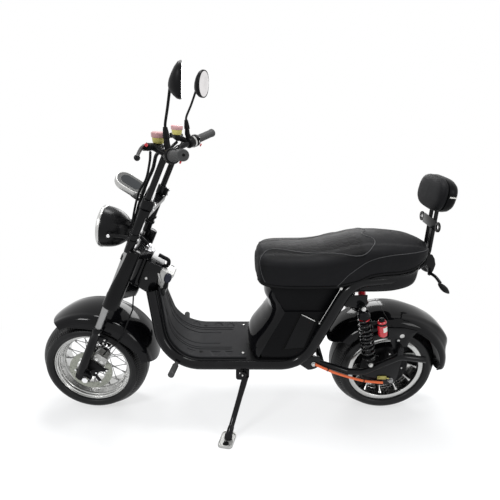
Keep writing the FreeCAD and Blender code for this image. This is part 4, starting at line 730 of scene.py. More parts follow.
def flowing(points: Sequence[Point], steps: int = 8) -> list[Vector]:
    """Smooth path that passes through every point."""
    knots = [Vector(p) for p in points]
    ends = [knots[0] * 2 - knots[1]] + knots + [knots[-1] * 2 - knots[-2]]
    path = []
    for a, b, c, d in zip(ends, ends[1:], ends[2:], ends[3:]):
        for k in range(steps):
            t = k / steps
            path.append(0.5 * ((2 * b) + (c - a) * t + (2 * a - 5 * b + 4 * c - d) * t * t
                               + (3 * b - a - 3 * c + d) * t * t * t))
    path.append(knots[-1])
    return path


@dataclass
class Builder:
    """Turns shapes into pieces that ride on the bike's bodies."""

    stance: Stance

    def piece(self, name: str, shape: Shape, body: Body, finishes: Finish | Sequence[Finish],
              replaces: Sequence[str] = (), bevel: float = 0.0, sharp: float = 32.0,
              segments: int = 2) -> bpy.types.Object:
        """Make a piece from a shape.

        Args:
            name: The piece's name.
            shape: Its shape in the upright frame.
            body: The body that carries it.
            finishes: Its finish, or one for each mark in the shape.
            replaces: CAD nodes that it stands for.
            bevel: Width of its softened edges in millimetres.
            sharp: Angle in degrees above which an edge stays sharp.
            segments: Faces across a softened edge.

        Returns:
            The piece.
        """
        points = np.vstack(shape.points)
        place = np.array(self.stance.matrix(body), float)
        placed = points @ place[:3, :3].T + place[:3, 3]
        mesh = bpy.data.meshes.new(name)
        mesh.from_pydata(placed.tolist(), [], shape.faces)
        mesh.polygons.foreach_set("material_index", shape.marks)
        mesh.validate()
        piece = bpy.data.objects.new(name, mesh)
        bpy.context.scene.collection.objects.link(piece)
        several = [finishes] if isinstance(finishes, Finish) else list(finishes)
        for finish in several:
            mesh.materials.append(finish.material())
        self.refine(piece, bevel, segments, sharp)
        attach(piece, body.value)
        if replaces:
            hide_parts(*replaces)
        log.info("%s: %d faces on %s", name, len(piece.data.polygons), body.value)
        return piece

    @staticmethod
    def refine(piece: bpy.types.Object, bevel: float, segments: int, sharp: float) -> None:
        """Clean a mesh, soften its edges and shade it smooth."""
        weld = piece.modifiers.new("weld", "WELD")
        weld.merge_threshold = 0.00002
        if bevel:
            soft = piece.modifiers.new("soft edges", "BEVEL")
            soft.width = bevel * MM
            soft.segments = segments
            soft.limit_method = "ANGLE"
            soft.angle_limit = math.radians(sharp)
            soft.use_clamp_overlap = True
        bpy.context.view_layer.update()
        graph = bpy.context.evaluated_depsgraph_get()
        mesh = bpy.data.meshes.new_from_object(piece.evaluated_get(graph))
        piece.modifiers.clear()
        piece.data = mesh
        mesh.shade_smooth()
        mesh.set_sharp_from_angle(angle=math.radians(max(sharp, 32.0)))

    def dress(self, frame: Mapping[str, object]) -> None:
        """Give every CAD solid that is still shown its finish."""
        for node, finish in DRESSED.items():
            solid = frame["nodes"][node]
            solid.data.materials.clear()
            solid.data.materials.append(finish.material())
            log.info("%s dressed in %s", node, finish.name)


def round_through(first: Point, middle: Point, last: Point, steps: int) -> list[tuple[float, float]]:
    """Arc of a circle through three flat points, as steps + 1 points."""
    (ax, ay), (bx, by), (cx, cy) = first, middle, last
    d = 2 * (ax * (by - cy) + bx * (cy - ay) + cx * (ay - by))
    ux = ((ax * ax + ay * ay) * (by - cy) + (bx * bx + by * by) * (cy - ay)
          + (cx * cx + cy * cy) * (ay - by)) / d
    uy = ((ax * ax + ay * ay) * (cx - bx) + (bx * bx + by * by) * (ax - cx)
          + (cx * cx + cy * cy) * (bx - ax)) / d
    radius = math.hypot(ax - ux, ay - uy)
    start = math.atan2(ay - uy, ax - ux)
    end = math.atan2(cy - uy, cx - ux)
    middle_turn = math.atan2(by - uy, bx - ux)
    turn = (end - start) % (2 * math.pi)
    if (middle_turn - start) % (2 * math.pi) > turn:
        turn -= 2 * math.pi
    return [(ux + radius * math.cos(start + turn * k / steps),
             uy + radius * math.sin(start + turn * k / steps)) for k in range(steps + 1)]


def polar(centre: Vector, radius: float, degrees: float, y: float = 0.0) -> Vector:
    """Place at an angle about a wheel's centre, from the rear upwards."""
    angle = math.radians(degrees)
    return centre + Vector((math.cos(angle) * radius, y, math.sin(angle) * radius))


@dataclass
class FatTyre:
    """Wide road tyre: a crown with two grooves, cut shoulders and ringed walls."""

    crown_r: float = 170.0
    crown_half: float = 66.0
    half: float = 89.5
    rim_r: float = 170.4
    bead: float = 75.6
    cuts: int = 116
    cut_depth: float = 5.4
    edge_drop: float = 17.0
    cut_lean: float = 0.0052
    groove_depth: float = 3.5

    def profile(self, radius: float) -> list[tuple[float, float, float]]:
        """Outer outline as (y, radius, depth of the shoulder cuts)."""
        centre = radius - self.crown_r
        half = []
        for y, sunk in ((0, 0), (12, 0), (24.6, 0), (26, 1), (30, 1), (31.4, 0), (40, 0), (50, 0),
                        (58, 0), (63, 0)):
            r = centre + math.sqrt(self.crown_r ** 2 - y * y) - sunk * self.groove_depth - self.drop(y)
            half.append((y, r, 0.0 if y < 50 else 0.35 * (y - 50) / 13 * self.cut_depth))
        edge = (self.crown_half, centre + math.sqrt(self.crown_r ** 2 - self.crown_half ** 2)
                - self.drop(self.crown_half))
        wall_mid = self.rim_r + 0.31 * (radius - self.rim_r)
        wall = round_through(edge, (self.half, wall_mid), (self.bead, self.rim_r), 26)
        for index, (y, r) in enumerate(wall):
            cut = self.cut_depth * max(0.0, 1 - abs(index - 3.6) / 5.6)
            ridge = 0.9 if index in (16, 22) else 0.0
            half.append((y + ridge, r, min(cut * 1.4, self.cut_depth)))
        mirror = [(-y, r, cut) for y, r, cut in reversed(half[1:])]
        return mirror + half

    def drop(self, y: float) -> float:
        """Extra fall of the crown towards its edge."""
        return self.edge_drop * max(0.0, (abs(y) - 30.0) / (self.crown_half - 30.0)) ** 2

    def build(self, centre: Vector, radius: float) -> Shape:
        """Tyre about a centre."""
        shape = Shape()
        profile = self.profile(radius)
        phases = ((0.0, 0.0), (0.08, 1.0), (0.38, 1.0), (0.46, 0.0), (0.74, 0.0))
        rows = []
        for k in range(self.cuts):
            for phase, sunk in phases:
                turn = 2 * math.pi * (k + phase) / self.cuts
                row = []
                for y, r, cut in profile:
                    lean = self.cut_lean * max(0.0, min(abs(y), 100.0) - 40.0) / 10.0
                    angle = turn + lean
                    reach = r - cut * sunk
                    row.append(centre + Vector((math.cos(angle) * reach, y, math.sin(angle) * reach)))
                rows.append(row)
        shape.grid(rows, True, True)
        return shape


@dataclass
class WheelMaker:
    """Shared making of both wheels."""

    make: Builder
    tyre: FatTyre = field(default_factory=FatTyre)
    rim_steps: int = 192

    def rim(self, shape: Shape, centre: Vector, inner: Outline, outer: Outline) -> None:
        """Add a rim from its inner and outer outlines, mirrored across the wheel."""
        near = [(-y, r) for y, r in inner]
        back = [(y, r) for y, r in reversed(inner)]
        out = [(y, r) for y, r in outer] + [(-y, r) for y, r in reversed(outer)]
        shape.lathe(near + back + out, centre, Y_AXIS, self.rim_steps)


@dataclass
class FrontWheel(WheelMaker):
    """Laced front wheel with its tyre, hub and drilled disc."""

    spokes: int = 16
    spoke_r: float = 1.9
    hub_r: float = 27.0
    flange_r: float = 42.0
    disc_y: float = -86.0
    disc_t: float = 4.0
    disc_r: tuple[float, float] = (66.0, 96.0)
    disc_cells: int = 60

    def build(self) -> None:
        """Tyre, rim with spokes, hub and disc."""
        centre = self.make.stance.axle_front
        tyre = self.tyre.build(centre, self.make.stance.tyre_r)
        self.make.piece("front_tyre_rubber", tyre, Body.FRONT_WHEEL, Finishes.tyre, ["front_tyre"],
                        sharp=50.0)
        shape = Shape()
        self.rim(shape, centre, RIM_INNER, RIM_OUTER)
        shape.mark = 1
        self.lace(shape, centre)
        shape.mark = 2
        self.hub(shape, centre)
        self.make.piece("front_laced_rim", shape, Body.FRONT_WHEEL,
                        [Finishes.polished, Finishes.spoke, Finishes.fork_black], ["front_rim"])
        self.disc(centre)

    def lace(self, shape: Shape, centre: Vector) -> None:
        """Crossed spokes with nipples at the rim."""
        for index in range(self.spokes):
            for side in SIDES:
                angle = 360.0 * (index + 0.25 * side) / self.spokes
                lean = 46.0 if index % 2 else -46.0
                apart = 5.0 * (index % 2)
                foot = polar(centre, self.flange_r - 5, angle + lean, side * (41 - apart))
                head = polar(centre, 140.5, angle, side * (17 - apart))
                shape.tube([foot, head], self.spoke_r, 8)
                line = (foot - head).normalized()
                shape.tube([head - line * 3, head + line * 13], 3.2, 8)
                shape.tube([foot - Y_AXIS * side * 6, foot + Y_AXIS * side * 1.5], 3.4, 8)

    def hub(self, shape: Shape, centre: Vector) -> None:
        """Black hub with flanges."""
        r = self.hub_r
        half = [(0, r - 4), (20, r - 4), (30, r), (35, r + 4), (35, self.flange_r), (36, self.flange_r + 1),
                (42, self.flange_r + 1), (43, self.flange_r), (43, r + 4), (48, r), (57, r - 2),
                (58, r - 5), (58, 7.2)]
        outline = [(-y, radius) for y, radius in reversed(half[1:])] + half
        shape.lathe(outline, centre, Y_AXIS, 64, False)

    def disc(self, centre: Vector) -> None:
        """Disc ring full of holes on a black carrier with bright bolts."""
        shape = Shape()
        self.drilled_ring(shape, centre)
        shape.mark = 1
        back = self.disc_y - self.disc_t / 2
        for k in range(6):
            turn = Matrix.Rotation(-math.radians(60.0 * k), 3, "Y")
            middle = polar(centre, 46.0, 60.0 * k, self.disc_y)
            shape.box(middle, (48.0, self.disc_t, 13.0), turn)
        outline = [(back, 7.2), (back, 30), (back + 1, 33), (back + 5, 34), (-62.0, 34), (-58.4, 30),
                   (-58.4, 7.2)]
        shape.lathe(outline, centre, Y_AXIS, 64, False)
        shape.mark = 2
        for k in range(6):
            shape.nut(polar(centre, 25.0, 60.0 * k + 30.0, back), -Y_AXIS, 4.6, 3.4)
            shape.rod(polar(centre, 70.5, 60.0 * k, back + 0.4), polar(centre, 70.5, 60.0 * k, back - 1.6),
                      4.4)
        self.make.piece("drilled_brake_disc", shape, Body.FRONT_WHEEL,
                        [Finishes.disc, Finishes.fork_black, Finishes.chrome], ["front_disc"],
                        sharp=30.0)

    def drilled_ring(self, shape: Shape, centre: Vector) -> None:
        """Ring of cells, with a round hole through every other one."""
        low, high = self.disc_r
        bands = 3
        cells = self.disc_cells
        width = (high - low) / (bands + 0.6)
        edges = [low + 0.3 * width + band * width for band in range(bands + 1)]
        faces_y = (self.disc_y - self.disc_t / 2, self.disc_y + self.disc_t / 2)
        for y in faces_y:
            for k in range(cells):
                spans = [(low, edges[0]), (edges[-1], high)]
                for inner, outer in spans:
                    shape.add([polar(centre, r, 360.0 * (k + f) / cells, y)
                               for r, f in ((inner, 0), (inner, 0.5), (inner, 1), (outer, 1),
                                            (outer, 0.5), (outer, 0))], [(0, 1, 2, 3, 4, 5)])
        for band in range(bands):
            inner, outer = edges[band], edges[band + 1]
            middle = (inner + outer) / 2
            for k in range(cells):
                corner = [(inner, 0), (inner, 0.5), (inner, 1), (middle, 1), (outer, 1), (outer, 0.5),
                          (outer, 0), (middle, 0)]
                drilled = (k + band) % 3 == 0
                for y in faces_y:
                    ring = [polar(centre, r, 360.0 * (k + f) / cells, y) for r, f in corner]
                    if not drilled:
                        shape.add(ring, [tuple(range(8))])
                        continue
                    middle_point = polar(centre, middle, 360.0 * (k + 0.5) / cells, y)
                    hole = [middle_point + (p - middle_point).normalized() * 2.7 for p in ring]
                    shape.add(ring + hole, [(i, (i + 1) % 8, 8 + (i + 1) % 8, 8 + i) for i in range(8)])
                if drilled:
                    walls = []
                    for y in faces_y:
                        middle_point = polar(centre, middle, 360.0 * (k + 0.5) / cells, y)
                        walls.append([middle_point + (polar(centre, r, 360.0 * (k + f) / cells, y)
                                                      - middle_point).normalized() * 2.7
                                      for r, f in corner])
                    shape.loft(walls, False)
        for r in (low, high):
            rings = [[polar(centre, r, 360.0 * k / (2 * cells), y) for k in range(2 * cells)]
                     for y in faces_y]
            shape.loft(rings, False)


@dataclass
class RearWheel(WheelMaker):
    """Cast rear wheel around the hub motor."""

    spokes: int = 12
    motor_r: float = 108.0
    half: float = 62.0

    def build(self) -> None:
        """Tyre, rim with cast spokes, and motor drum."""
        centre = self.make.stance.axle_rear
        tyre = self.tyre.build(centre, self.make.stance.tyre_r)
        self.make.piece("rear_tyre_rubber", tyre, Body.REAR_WHEEL, Finishes.tyre, ["rear_tyre"],
                        sharp=50.0)
        shape = Shape()
        self.rim(shape, centre, CAST_INNER, RIM_OUTER)
        shape.mark = 1
        sleeve = [(-30, self.motor_r + 0.4), (-30, 112), (-28, 113), (28, 113), (30, 112),
                  (30, self.motor_r + 0.4)]
        shape.lathe(sleeve, centre, Y_AXIS, 128)
        for index in range(self.spokes):
            self.spoke(shape, centre, 360.0 * index / self.spokes)
        self.make.piece("rear_cast_rim", shape, Body.REAR_WHEEL, [Finishes.polished, Finishes.motor],
                        ["rear_rim"], bevel=0.8, sharp=38.0, segments=1)
        self.motor(centre)

    def spoke(self, shape: Shape, centre: Vector, degrees: float) -> None:
        """One short spoke, flared into the rim, machined bright on both faces."""
        out = polar(Vector(), 1.0, degrees)
        across = Vector((-out.z, 0.0, out.x))
        levels = ((110.0, 4.4, 34.0), (118.0, 3.2, 38.0), (128.0, 3.0, 44.0), (136.0, 3.6, 50.0),
                  (142.0, 5.2, 56.0), (147.0, 8.0, 60.0))
        rings = []
        for reach, width, depth in levels:
            middle = centre + out * reach
            rings.append([middle + across * width * s + Y_AXIS * depth * t
                          for s, t in ((-1, -0.9), (-0.75, -1), (0.75, -1), (1, -0.9), (1, 0.9),
                                       (0.75, 1), (-0.75, 1), (-1, 0.9))])
        for lower, upper in zip(rings, rings[1:]):
            for j in range(8):
                k = (j + 1) % 8
                shape.mark = 0 if j in (0, 1, 2, 4, 5, 6) else 1
                shape.add([lower[j], lower[k], upper[k], upper[j]], [(0, 1, 2, 3)])

    def motor(self, centre: Vector) -> None:
        """Motor drum: ribbed domed covers with bright rings near the axle."""
        shape = Shape()
        half = self.half
        side = [(half + 13, 7.2), (half + 14, 9), (half + 14, 25), (half + 12.6, 27), (half + 8, 29),
                (half + 6, 34), (half + 5, 40), (half + 3.8, 46), (half + 1.5, 70), (half, 84),
                (half - 2, 90), (half - 6, 98), (half - 9, 103), (half - 9.6, 104), (half - 10, 107),
                (half - 11.5, self.motor_r)]
        outline = side + [(-y, r) for y, r in reversed(side)]
        shape.lathe(outline, centre, Y_AXIS, 144, False)
        for face in SIDES:
            for k in range(24):
                angle = 15.0 * k + 7.5
                rings = []
                for reach, lift, width in ((48.0, half + 3.2, 1.6), (70.0, half + 1.4, 2.0),
                                           (86.0, half - 1.4, 2.2), (97.0, half - 6.2, 2.2)):
                    place = polar(centre, reach, angle, face * lift)
                    across = polar(Vector(), 1.0, angle + 90.0)
                    rings.append([place - across * width, place - across * width * 0.6 + Y_AXIS * face * 2.4,
                                  place + across * width * 0.6 + Y_AXIS * face * 2.4,
                                  place + across * width])
                shape.loft(rings)
            shape.mark = 1
            for r, lift in ((31.5, half + 8.6), (43.5, half + 5.2)):
                ring = [(lift - 2.0, r - 1.6), (lift + 0.6, r - 1.5), (lift + 1.2, r), (lift + 0.4, r + 1.5),
                        (lift - 2.6, r + 1.7)]
                shape.lathe([(face * y, radius) for y, radius in ring], centre, Y_AXIS, 96)
            for k in range(9):
                foot = polar(centre, 78.0, 40.0 * k, face * (half - 1.0))
                shape.nut(foot, Y_AXIS * face, 4.2, 4.6)
            shape.mark = 0
        self.make.piece("hub_motor_drum", shape, Body.REAR_WHEEL, [Finishes.motor, Finishes.polished],
                        ["hub_motor"], sharp=34.0)


# Rim outlines as (distance from the middle, radius): a rolled lip, two steps and the well
RIM_INNER = ((75.6, 169.2), (76.0, 167.6), (75.6, 166.0), (74.2, 165.0), (72.0, 164.4), (70.6, 163.2),
             (70.0, 160.4), (68.6, 158.8), (62.0, 157.6), (60.6, 156.4), (60.0, 153.6), (58.4, 152.4),
             (50.0, 151.0), (38.0, 149.6), (34.0, 148.6), (31.6, 146.0), (29.6, 142.4), (26.0, 140.4),
             (20.0, 140.0))
CAST_INNER = ((75.6, 169.2), (76.4, 167.6), (75.0, 151.6), (73.6, 149.4), (70.0, 148.6), (60.0, 148.0),
              (40.0, 147.0), (26.0, 146.0), (20.0, 145.6))
RIM_OUTER = ((20.0, 143.6), (28.0, 144.4), (34.0, 152.0), (60.0, 160.0), (68.0, 166.0), (72.0, 168.6),
             (74.0, 169.6))


def between(table: Sequence[tuple[float, float]], at: float) -> float:
    """Value of a table of (place, value) pairs at a place, on a smooth curve that never overshoots."""
    rows = sorted(table)
    if at <= rows[0][0]:
        return rows[0][1]
    if at >= rows[-1][0]:
        return rows[-1][1]
    slopes = [(b[1] - a[1]) / (b[0] - a[0]) for a, b in zip(rows, rows[1:])]
    leans = [slopes[0]]
    for first, second in zip(slopes, slopes[1:]):
        leans.append(2 * first * second / (first + second) if first * second > 0 else 0.0)
    leans.append(slopes[-1])
    index = next(k for k in range(len(slopes)) if at <= rows[k + 1][0])
    (low, start), (high, end) = rows[index], rows[index + 1]
    span = high - low
    t = (at - low) / span
    return (start * (1 + 2 * t) * (1 - t) ** 2 + end * t * t * (3 - 2 * t)
            + span * t * (1 - t) * (leans[index] * (1 - t) - leans[index + 1] * t))


def columns_at(table: Sequence[Sequence[float]], place: float) -> list[float]:
    """Every further column of a table at a place in its first column."""
    return [between([(row[0], row[c]) for row in table], place) for c in range(1, len(table[0]))]


@dataclass
class Fender:
    """A fender swept over an arc: crowned top, round shoulders, skirts of changing depth."""

    centre: Vector
    crown: Sequence[tuple[float, float]]
    lip: Sequence[tuple[float, float]]
    arc: tuple[float, float]
    hump: Sequence[tuple[float, float]] = ((0.0, 0.0),)
    end_round: float = 9.0
    half: float = 110.4
    shoulder: float = 34.0
    crown_r: float = 330.0
    thickness: float = 2.4
    steps: int = 110

    def section(self, degrees: float, inset: float) -> list[Vector]:
        """Half section from the middle of the crown to the lip, drawn in by an inset."""
        top = between(self.crown, degrees) - inset
        lip = between(self.lip, degrees)
        hump = between(self.hump, degrees)
        half = self.half - inset
        corner = self.shoulder - inset
        flat = half - corner
        low = self.crown_r - math.sqrt(self.crown_r ** 2 - flat ** 2)
        points = []
        for k in range(9):
            y = flat * k / 8
            drop = self.crown_r - math.sqrt(self.crown_r ** 2 - y * y)
            points.append((y, top - drop))
        for k in range(1, 11):
            turn = math.pi / 2 * k / 10
            points.append((flat + corner * math.sin(turn), top - low - corner * (1 - math.cos(turn))))
        side_r = top - low - corner
        lip = min(lip, side_r - 1.0)
        for k in range(1, 9):
            points.append((half, side_r + (lip - side_r) * k / 8))
        lifted = []
        for y, r in points:
            fade = 1 - between(((58.0, 0.0), (92.0, 1.0)), y)
            lifted.append(self.bend(degrees, y, r + hump * fade))
        return lifted

    def bend(self, degrees: float, y: float, r: float) -> Vector:
        """Round the fender's ends in plan by pulling the sides back."""
        low, high = self.arc
        middle = (low + high) / 2
        share = (degrees - middle) / ((high - low) / 2)
        pull = self.end_round * (y / self.half) ** 2 * abs(share) ** 8 * math.copysign(1, share)
        return polar(self.centre, r, degrees - pull, y)

    def shape(self) -> Shape:
        """Closed skin of the fender."""
        shape = Shape()
        low, high = self.arc
        rows = []
        for k in range(self.steps + 1):
            degrees = low + (high - low) * k / self.steps
            outer = self.section(degrees, 0.0)
            inner = self.section(degrees, self.thickness)
            ring = [Vector((p.x, -p.y, p.z)) for p in reversed(outer[1:])] + outer
            back = inner[::-1] + [Vector((p.x, -p.y, p.z)) for p in inner[1:]]
            rows.append(ring + back)
        shape.grid(rows, False, True)
        count = len(rows[0]) // 2
        for row in (rows[0], rows[-1]):
            strip = [[row[j], row[2 * count - 1 - j]] for j in range(count)]
            shape.grid(strip)
        return shape

    def bead(self, shape: Shape, radius: float, start: float, end: float, inward: float = 0.0) -> None:
        """Add a round bead along both lips between two angles."""
        for side in SIDES:
            path = []
            for k in range(61):
                degrees = start + (end - start) * k / 60
                last = self.section(degrees, 0.0)[-1]
                out = (last - self.centre)
                out.y = 0.0
                last = last - out.normalized() * inward
                path.append(Vector((last.x, side * (last.y - self.thickness / 2), last.z)))
            shape.tube(path, radius, 8)


@dataclass
class Fenders:
    """Front and rear fenders and the lamp at the tail."""

    make: Builder

    def build(self) -> None:
        """Both fenders and what they carry."""
        self.front()
        self.rear()

    def front(self) -> None:
        """Front fender with its rolled lip."""
        fender = Fender(
            centre=self.make.stance.axle_front + Vector((14.0, 0.0, 20.0)),
            crown=((2.0, 274.5), (140.0, 274.5)),
            lip=((2.0, 252.0), (10.0, 246.0), (18.0, 238.0), (30.0, 220.0), (50.0, 209.0), (80.0, 209.0),
                 (97.0, 215.0), (106.0, 226.0), (114.0, 240.0), (121.0, 250.0), (128.0, 258.0)),
            arc=(2.0, 128.0),
        )
        shape = fender.shape()
        fender.bead(shape, 2.2, 4.0, 126.0)
        self.make.piece("front_fender_shell", shape, Body.STEERING, Finishes.gloss, ["front_fender"],
                        sharp=40.0)

    def rear(self) -> None:
        """Rear fender with its lamp hump, seam and flared tail."""
        fender = Fender(
            centre=self.make.stance.axle_rear,
            crown=((-7.0, 259.0), (0.0, 267.0), (10.0, 275.0), (24.0, 282.0), (60.0, 287.5), (155.0, 287.5)),
            lip=((-7.0, 250.0), (4.0, 243.0), (20.0, 240.0), (110.0, 240.0), (140.0, 244.0),
                 (155.0, 252.0)),
            arc=(-7.0, 155.0),
            end_round=15.0,
            hump=((22.0, 0.0), (27.0, 20.0), (33.0, 27.0), (42.0, 24.0), (56.0, 12.0), (74.0, 4.0),
                  (90.0, 0.0)),
            steps=150,
        )
        shape = fender.shape()
        fender.bead(shape, 2.2, -5.0, 152.0)
        self.seam(shape, fender)
        self.make.piece("rear_fender_shell", shape, Body.FRAME, Finishes.gloss, ["rear_fender"],
                        sharp=40.0)
        self.tail_lamp(fender)

    def seam(self, shape: Shape, fender: Fender) -> None:
        """Raised edge of the tail cover: over the crown, then along both sides."""
        path = []
        rows = ((97.0, 0), (97.0, 6), (96.5, 11), (95.0, 15), (91.5, 17.5), (86.0, 18.6), (78.0, 19.0),
                (66.0, 19.4), (52.0, 20.4), (38.0, 21.6), (24.0, 21.8), (12.0, 21.2), (6.0, 20.6),
                (0.0, 20.0))
        for degrees, column in rows:
            section = fender.section(degrees, 0.0)
            base = int(column)
            path.append(section[base].lerp(section[min(base + 1, len(section) - 1)], column - base))
        smooth = flowing(path, 8)
        whole = [Vector((p.x, -p.y, p.z)) for p in reversed(smooth[1:])] + smooth
        shape.tube(whole, 1.5, 8)

    def tail_lamp(self, fender: Fender) -> None:
        """Red lens in the hump's rear face."""
        shape = Shape()
        out = polar(Vector(), 1.0, 10.0)
        rings = []
        for grow, lift in ((1.0, -2.0), (1.0, 3.0), (0.94, 6.0), (0.7, 8.4), (0.35, 9.6)):
            ring = []
            for turn in turns(40):
                across, along = squared(turn, 0.7)
                degrees = 24.6 + 3.4 * grow * along
                base = between(fender.crown, degrees) + between(fender.hump, degrees)
                ring.append(polar(fender.centre, base - 4.0, degrees, 44.0 * grow * across) + out * lift)
            rings.append(ring)
        shape.loft(rings)
        self.make.piece("tail_lamp_lens", shape, Body.FRAME, Finishes.red_lens, ["tail_lamp"], sharp=50.0)


@dataclass
class Saddle:
    """Two-level seat: stuffed cover, light seams and the stiff pan under it."""

    make: Builder
    # Stations along the seat: x, half width, underside, height of the edge seam, crown, shoulder
    stations: Sequence[tuple[float, ...]] = (
        (71.0, 58.0, 712.0, 786.0, 784.0, 16.0),
        (74.0, 78.0, 704.0, 792.0, 792.0, 24.0),
        (82.0, 100.0, 697.0, 800.0, 802.0, 32.0),
        (96.0, 120.0, 694.0, 806.0, 811.0, 40.0),
        (120.0, 134.0, 692.0, 808.0, 817.5, 46.0),
        (155.0, 142.0, 691.0, 808.0, 820.0, 50.0),
        (200.0, 147.0, 690.5, 806.0, 820.0, 52.0),
        (260.0, 149.0, 691.0, 803.0, 820.0, 52.0),
        (320.0, 150.0, 692.0, 801.0, 825.0, 52.0),
        (380.0, 150.0, 694.0, 803.0, 838.0, 52.0),
        (430.0, 148.0, 704.0, 810.0, 850.0, 52.0),
        (475.0, 145.0, 716.0, 824.0, 861.0, 48.0),
        (520.0, 141.0, 737.0, 834.0, 866.0, 44.0),
        (575.0, 137.0, 746.0, 838.0, 866.0, 40.0),
        (640.0, 132.0, 750.0, 836.0, 862.0, 36.0),
        (695.0, 122.0, 762.0, 834.0, 857.0, 32.0),
        (730.0, 106.0, 784.0, 831.0, 850.0, 26.0),
        (754.0, 84.0, 803.0, 828.0, 841.0, 18.0),
        (767.0, 58.0, 818.0, 826.0, 833.0, 10.0),
    )
    rings: int = 120

    def at(self, x: float) -> list[float]:
        """Sizes of the seat at a place along it."""
        return columns_at(self.stations, x)

    def section(self, x: float) -> list[Vector]:
        """Closed ring across the seat: flat underside, full sides, round shoulders, crown."""
        half, low, edge, top, shoulder = self.at(x)
        points = []
        for k in range(5):
            points.append((half * 0.93 * k / 5, low))
        points.append((half * 0.955, low + 2.0))
        for k in range(1, 9):
            share = k / 9
            z = low + (top - shoulder - low) * share
            bulge = 0.955 + 0.045 * math.sin(math.pi * 0.5 * min(1.0, share * 1.6))
            points.append((half * bulge, z))
        for k in range(13):
            turn = math.pi / 2 * k / 12
            y = half - shoulder * 1.25 * (1 - math.cos(turn))
            z = top - shoulder + (shoulder - 10.0) * math.sin(turn)
            points.append((y, z))
        flat = half - shoulder * 1.25
        for k in range(1, 8):
            y = flat * (1 - k / 8)
            points.append((y, top - 10.0 * (y / flat) ** 2))
        right = [Vector((x, y, z)) for y, z in points]
        crown = [Vector((x, 0.0, top))]
        left = [Vector((p.x, -p.y, p.z)) for p in reversed(right[1:])]
        return right + crown + left

    def body(self) -> Shape:
        """The stuffed form: rings over the stations, with rounded ends."""
        shape = Shape()
        low = self.stations[0][0]
        high = self.stations[-1][0]
        rings = []
        for k in range(self.rings + 1):
            share = k / self.rings
            eased = 0.5 - 0.5 * math.cos(math.pi * share)
            x = low + (high - low) * (0.55 * share + 0.45 * eased)
            rings.append(self.section(x))
        for end, push in ((0, -1.0), (-1, 1.0)):
            ring = rings[end]
            middle = sum(ring, Vector()) / len(ring)
            caps = []
            for shrink, out in ((0.86, 3.0), (0.6, 5.0), (0.3, 6.0)):
                caps.append([middle + (p - middle) * shrink + X_AXIS * push * out for p in ring])
            if end == 0:
                rings = caps[::-1] + rings
            else:
                rings = rings + caps
        shape.loft(rings)
        return shape

    def build(self) -> None:
        """Cushion, seams, insert and pan."""
        cushion = self.make.piece("saddle_cover", self.body(), Body.SEAT, Finishes.saddle,
                                  ["seat_cushion"], sharp=75.0)
        self.piping(cushion)
        self.pan()

    def piping(self, cushion: bpy.types.Object) -> None:
        """Light seams laid on the cover along their paths."""
        shape = Shape()
        place = self.make.stance.matrix(Body.SEAT)
        back = place.inverted()
        for side in SIDES:
            for path, radius in ((SEAT_INSERT_SEAM, 1.7), (SEAT_FLANK_SEAM, 1.5)):
                laid = []
                for point in flowing([Vector((x, side * y, z)) for x, y, z in path], 10):
                    hit, spot, normal, _face = cushion.closest_point_on_mesh(
                        cushion.matrix_world.inverted() @ (place @ point))
                    if hit:
                        laid.append(back @ (cushion.matrix_world @ (spot + normal * 0.0002)))
                shape.tube(laid, radius, 8)
        self.make.piece("saddle_seams", shape, Body.SEAT, Finishes.piping, sharp=60.0)

    def pan(self) -> None:
        """Black pan that frames the cushion's underside."""
        shape = Shape()
        rings = []
        for k in range(81):
            x = 76.0 + (766.0 - 76.0) * k / 80
            half, low, _edge, _top, _shoulder = self.at(x)
            bottom = low - 9.0
            wide = half * 0.955
            rings.append([Vector((x, y, z)) for y, z in (
                (-wide, low + 3), (-wide - 2.4, low + 1), (-wide - 2.6, low - 5), (-wide + 1, bottom),
                (wide - 1, bottom), (wide + 2.6, low - 5), (wide + 2.4, low + 1), (wide, low + 3))])
        shape.loft(rings)
        self.make.piece("saddle_pan", shape, Body.SEAT, Finishes.satin, ["seat_base"], sharp=40.0)


# Seams on the saddle's left half as (x, half width, z): round the insert, and along the flank
SEAT_INSERT_SEAM = ((104.0, 128.0, 702.0), (88.0, 118.0, 740.0), (82.0, 100.0, 785.0), (92.0, 76.0, 806.0),
                    (112.0, 56.0, 813.0), (140.0, 48.0, 817.0), (182.0, 56.0, 819.0), (238.0, 72.0, 815.0),
                    (290.0, 84.0, 816.0), (336.0, 95.0, 817.0), (400.0, 119.0, 820.0), (440.0, 132.0, 820.0),
                    (474.0, 139.0, 826.0), (500.0, 133.0, 838.0), (520.0, 114.0, 852.0), (536.0, 88.0, 860.0),
                    (541.0, 62.0, 864.0), (533.0, 42.0, 866.0), (514.0, 20.0, 866.0), (504.0, 0.0, 866.0))
SEAT_FLANK_SEAM = ((390.0, 150.0, 692.0), (408.0, 150.0, 716.0), (431.0, 150.0, 747.0),
                   (476.0, 146.0, 785.0), (500.0, 144.0, 801.0), (537.0, 141.0, 815.0),
                   (595.0, 136.0, 826.0), (667.0, 130.0, 832.0), (716.0, 116.0, 836.0),
                   (746.0, 88.0, 832.0), (764.0, 50.0, 829.0), (772.0, 0.0, 828.0))


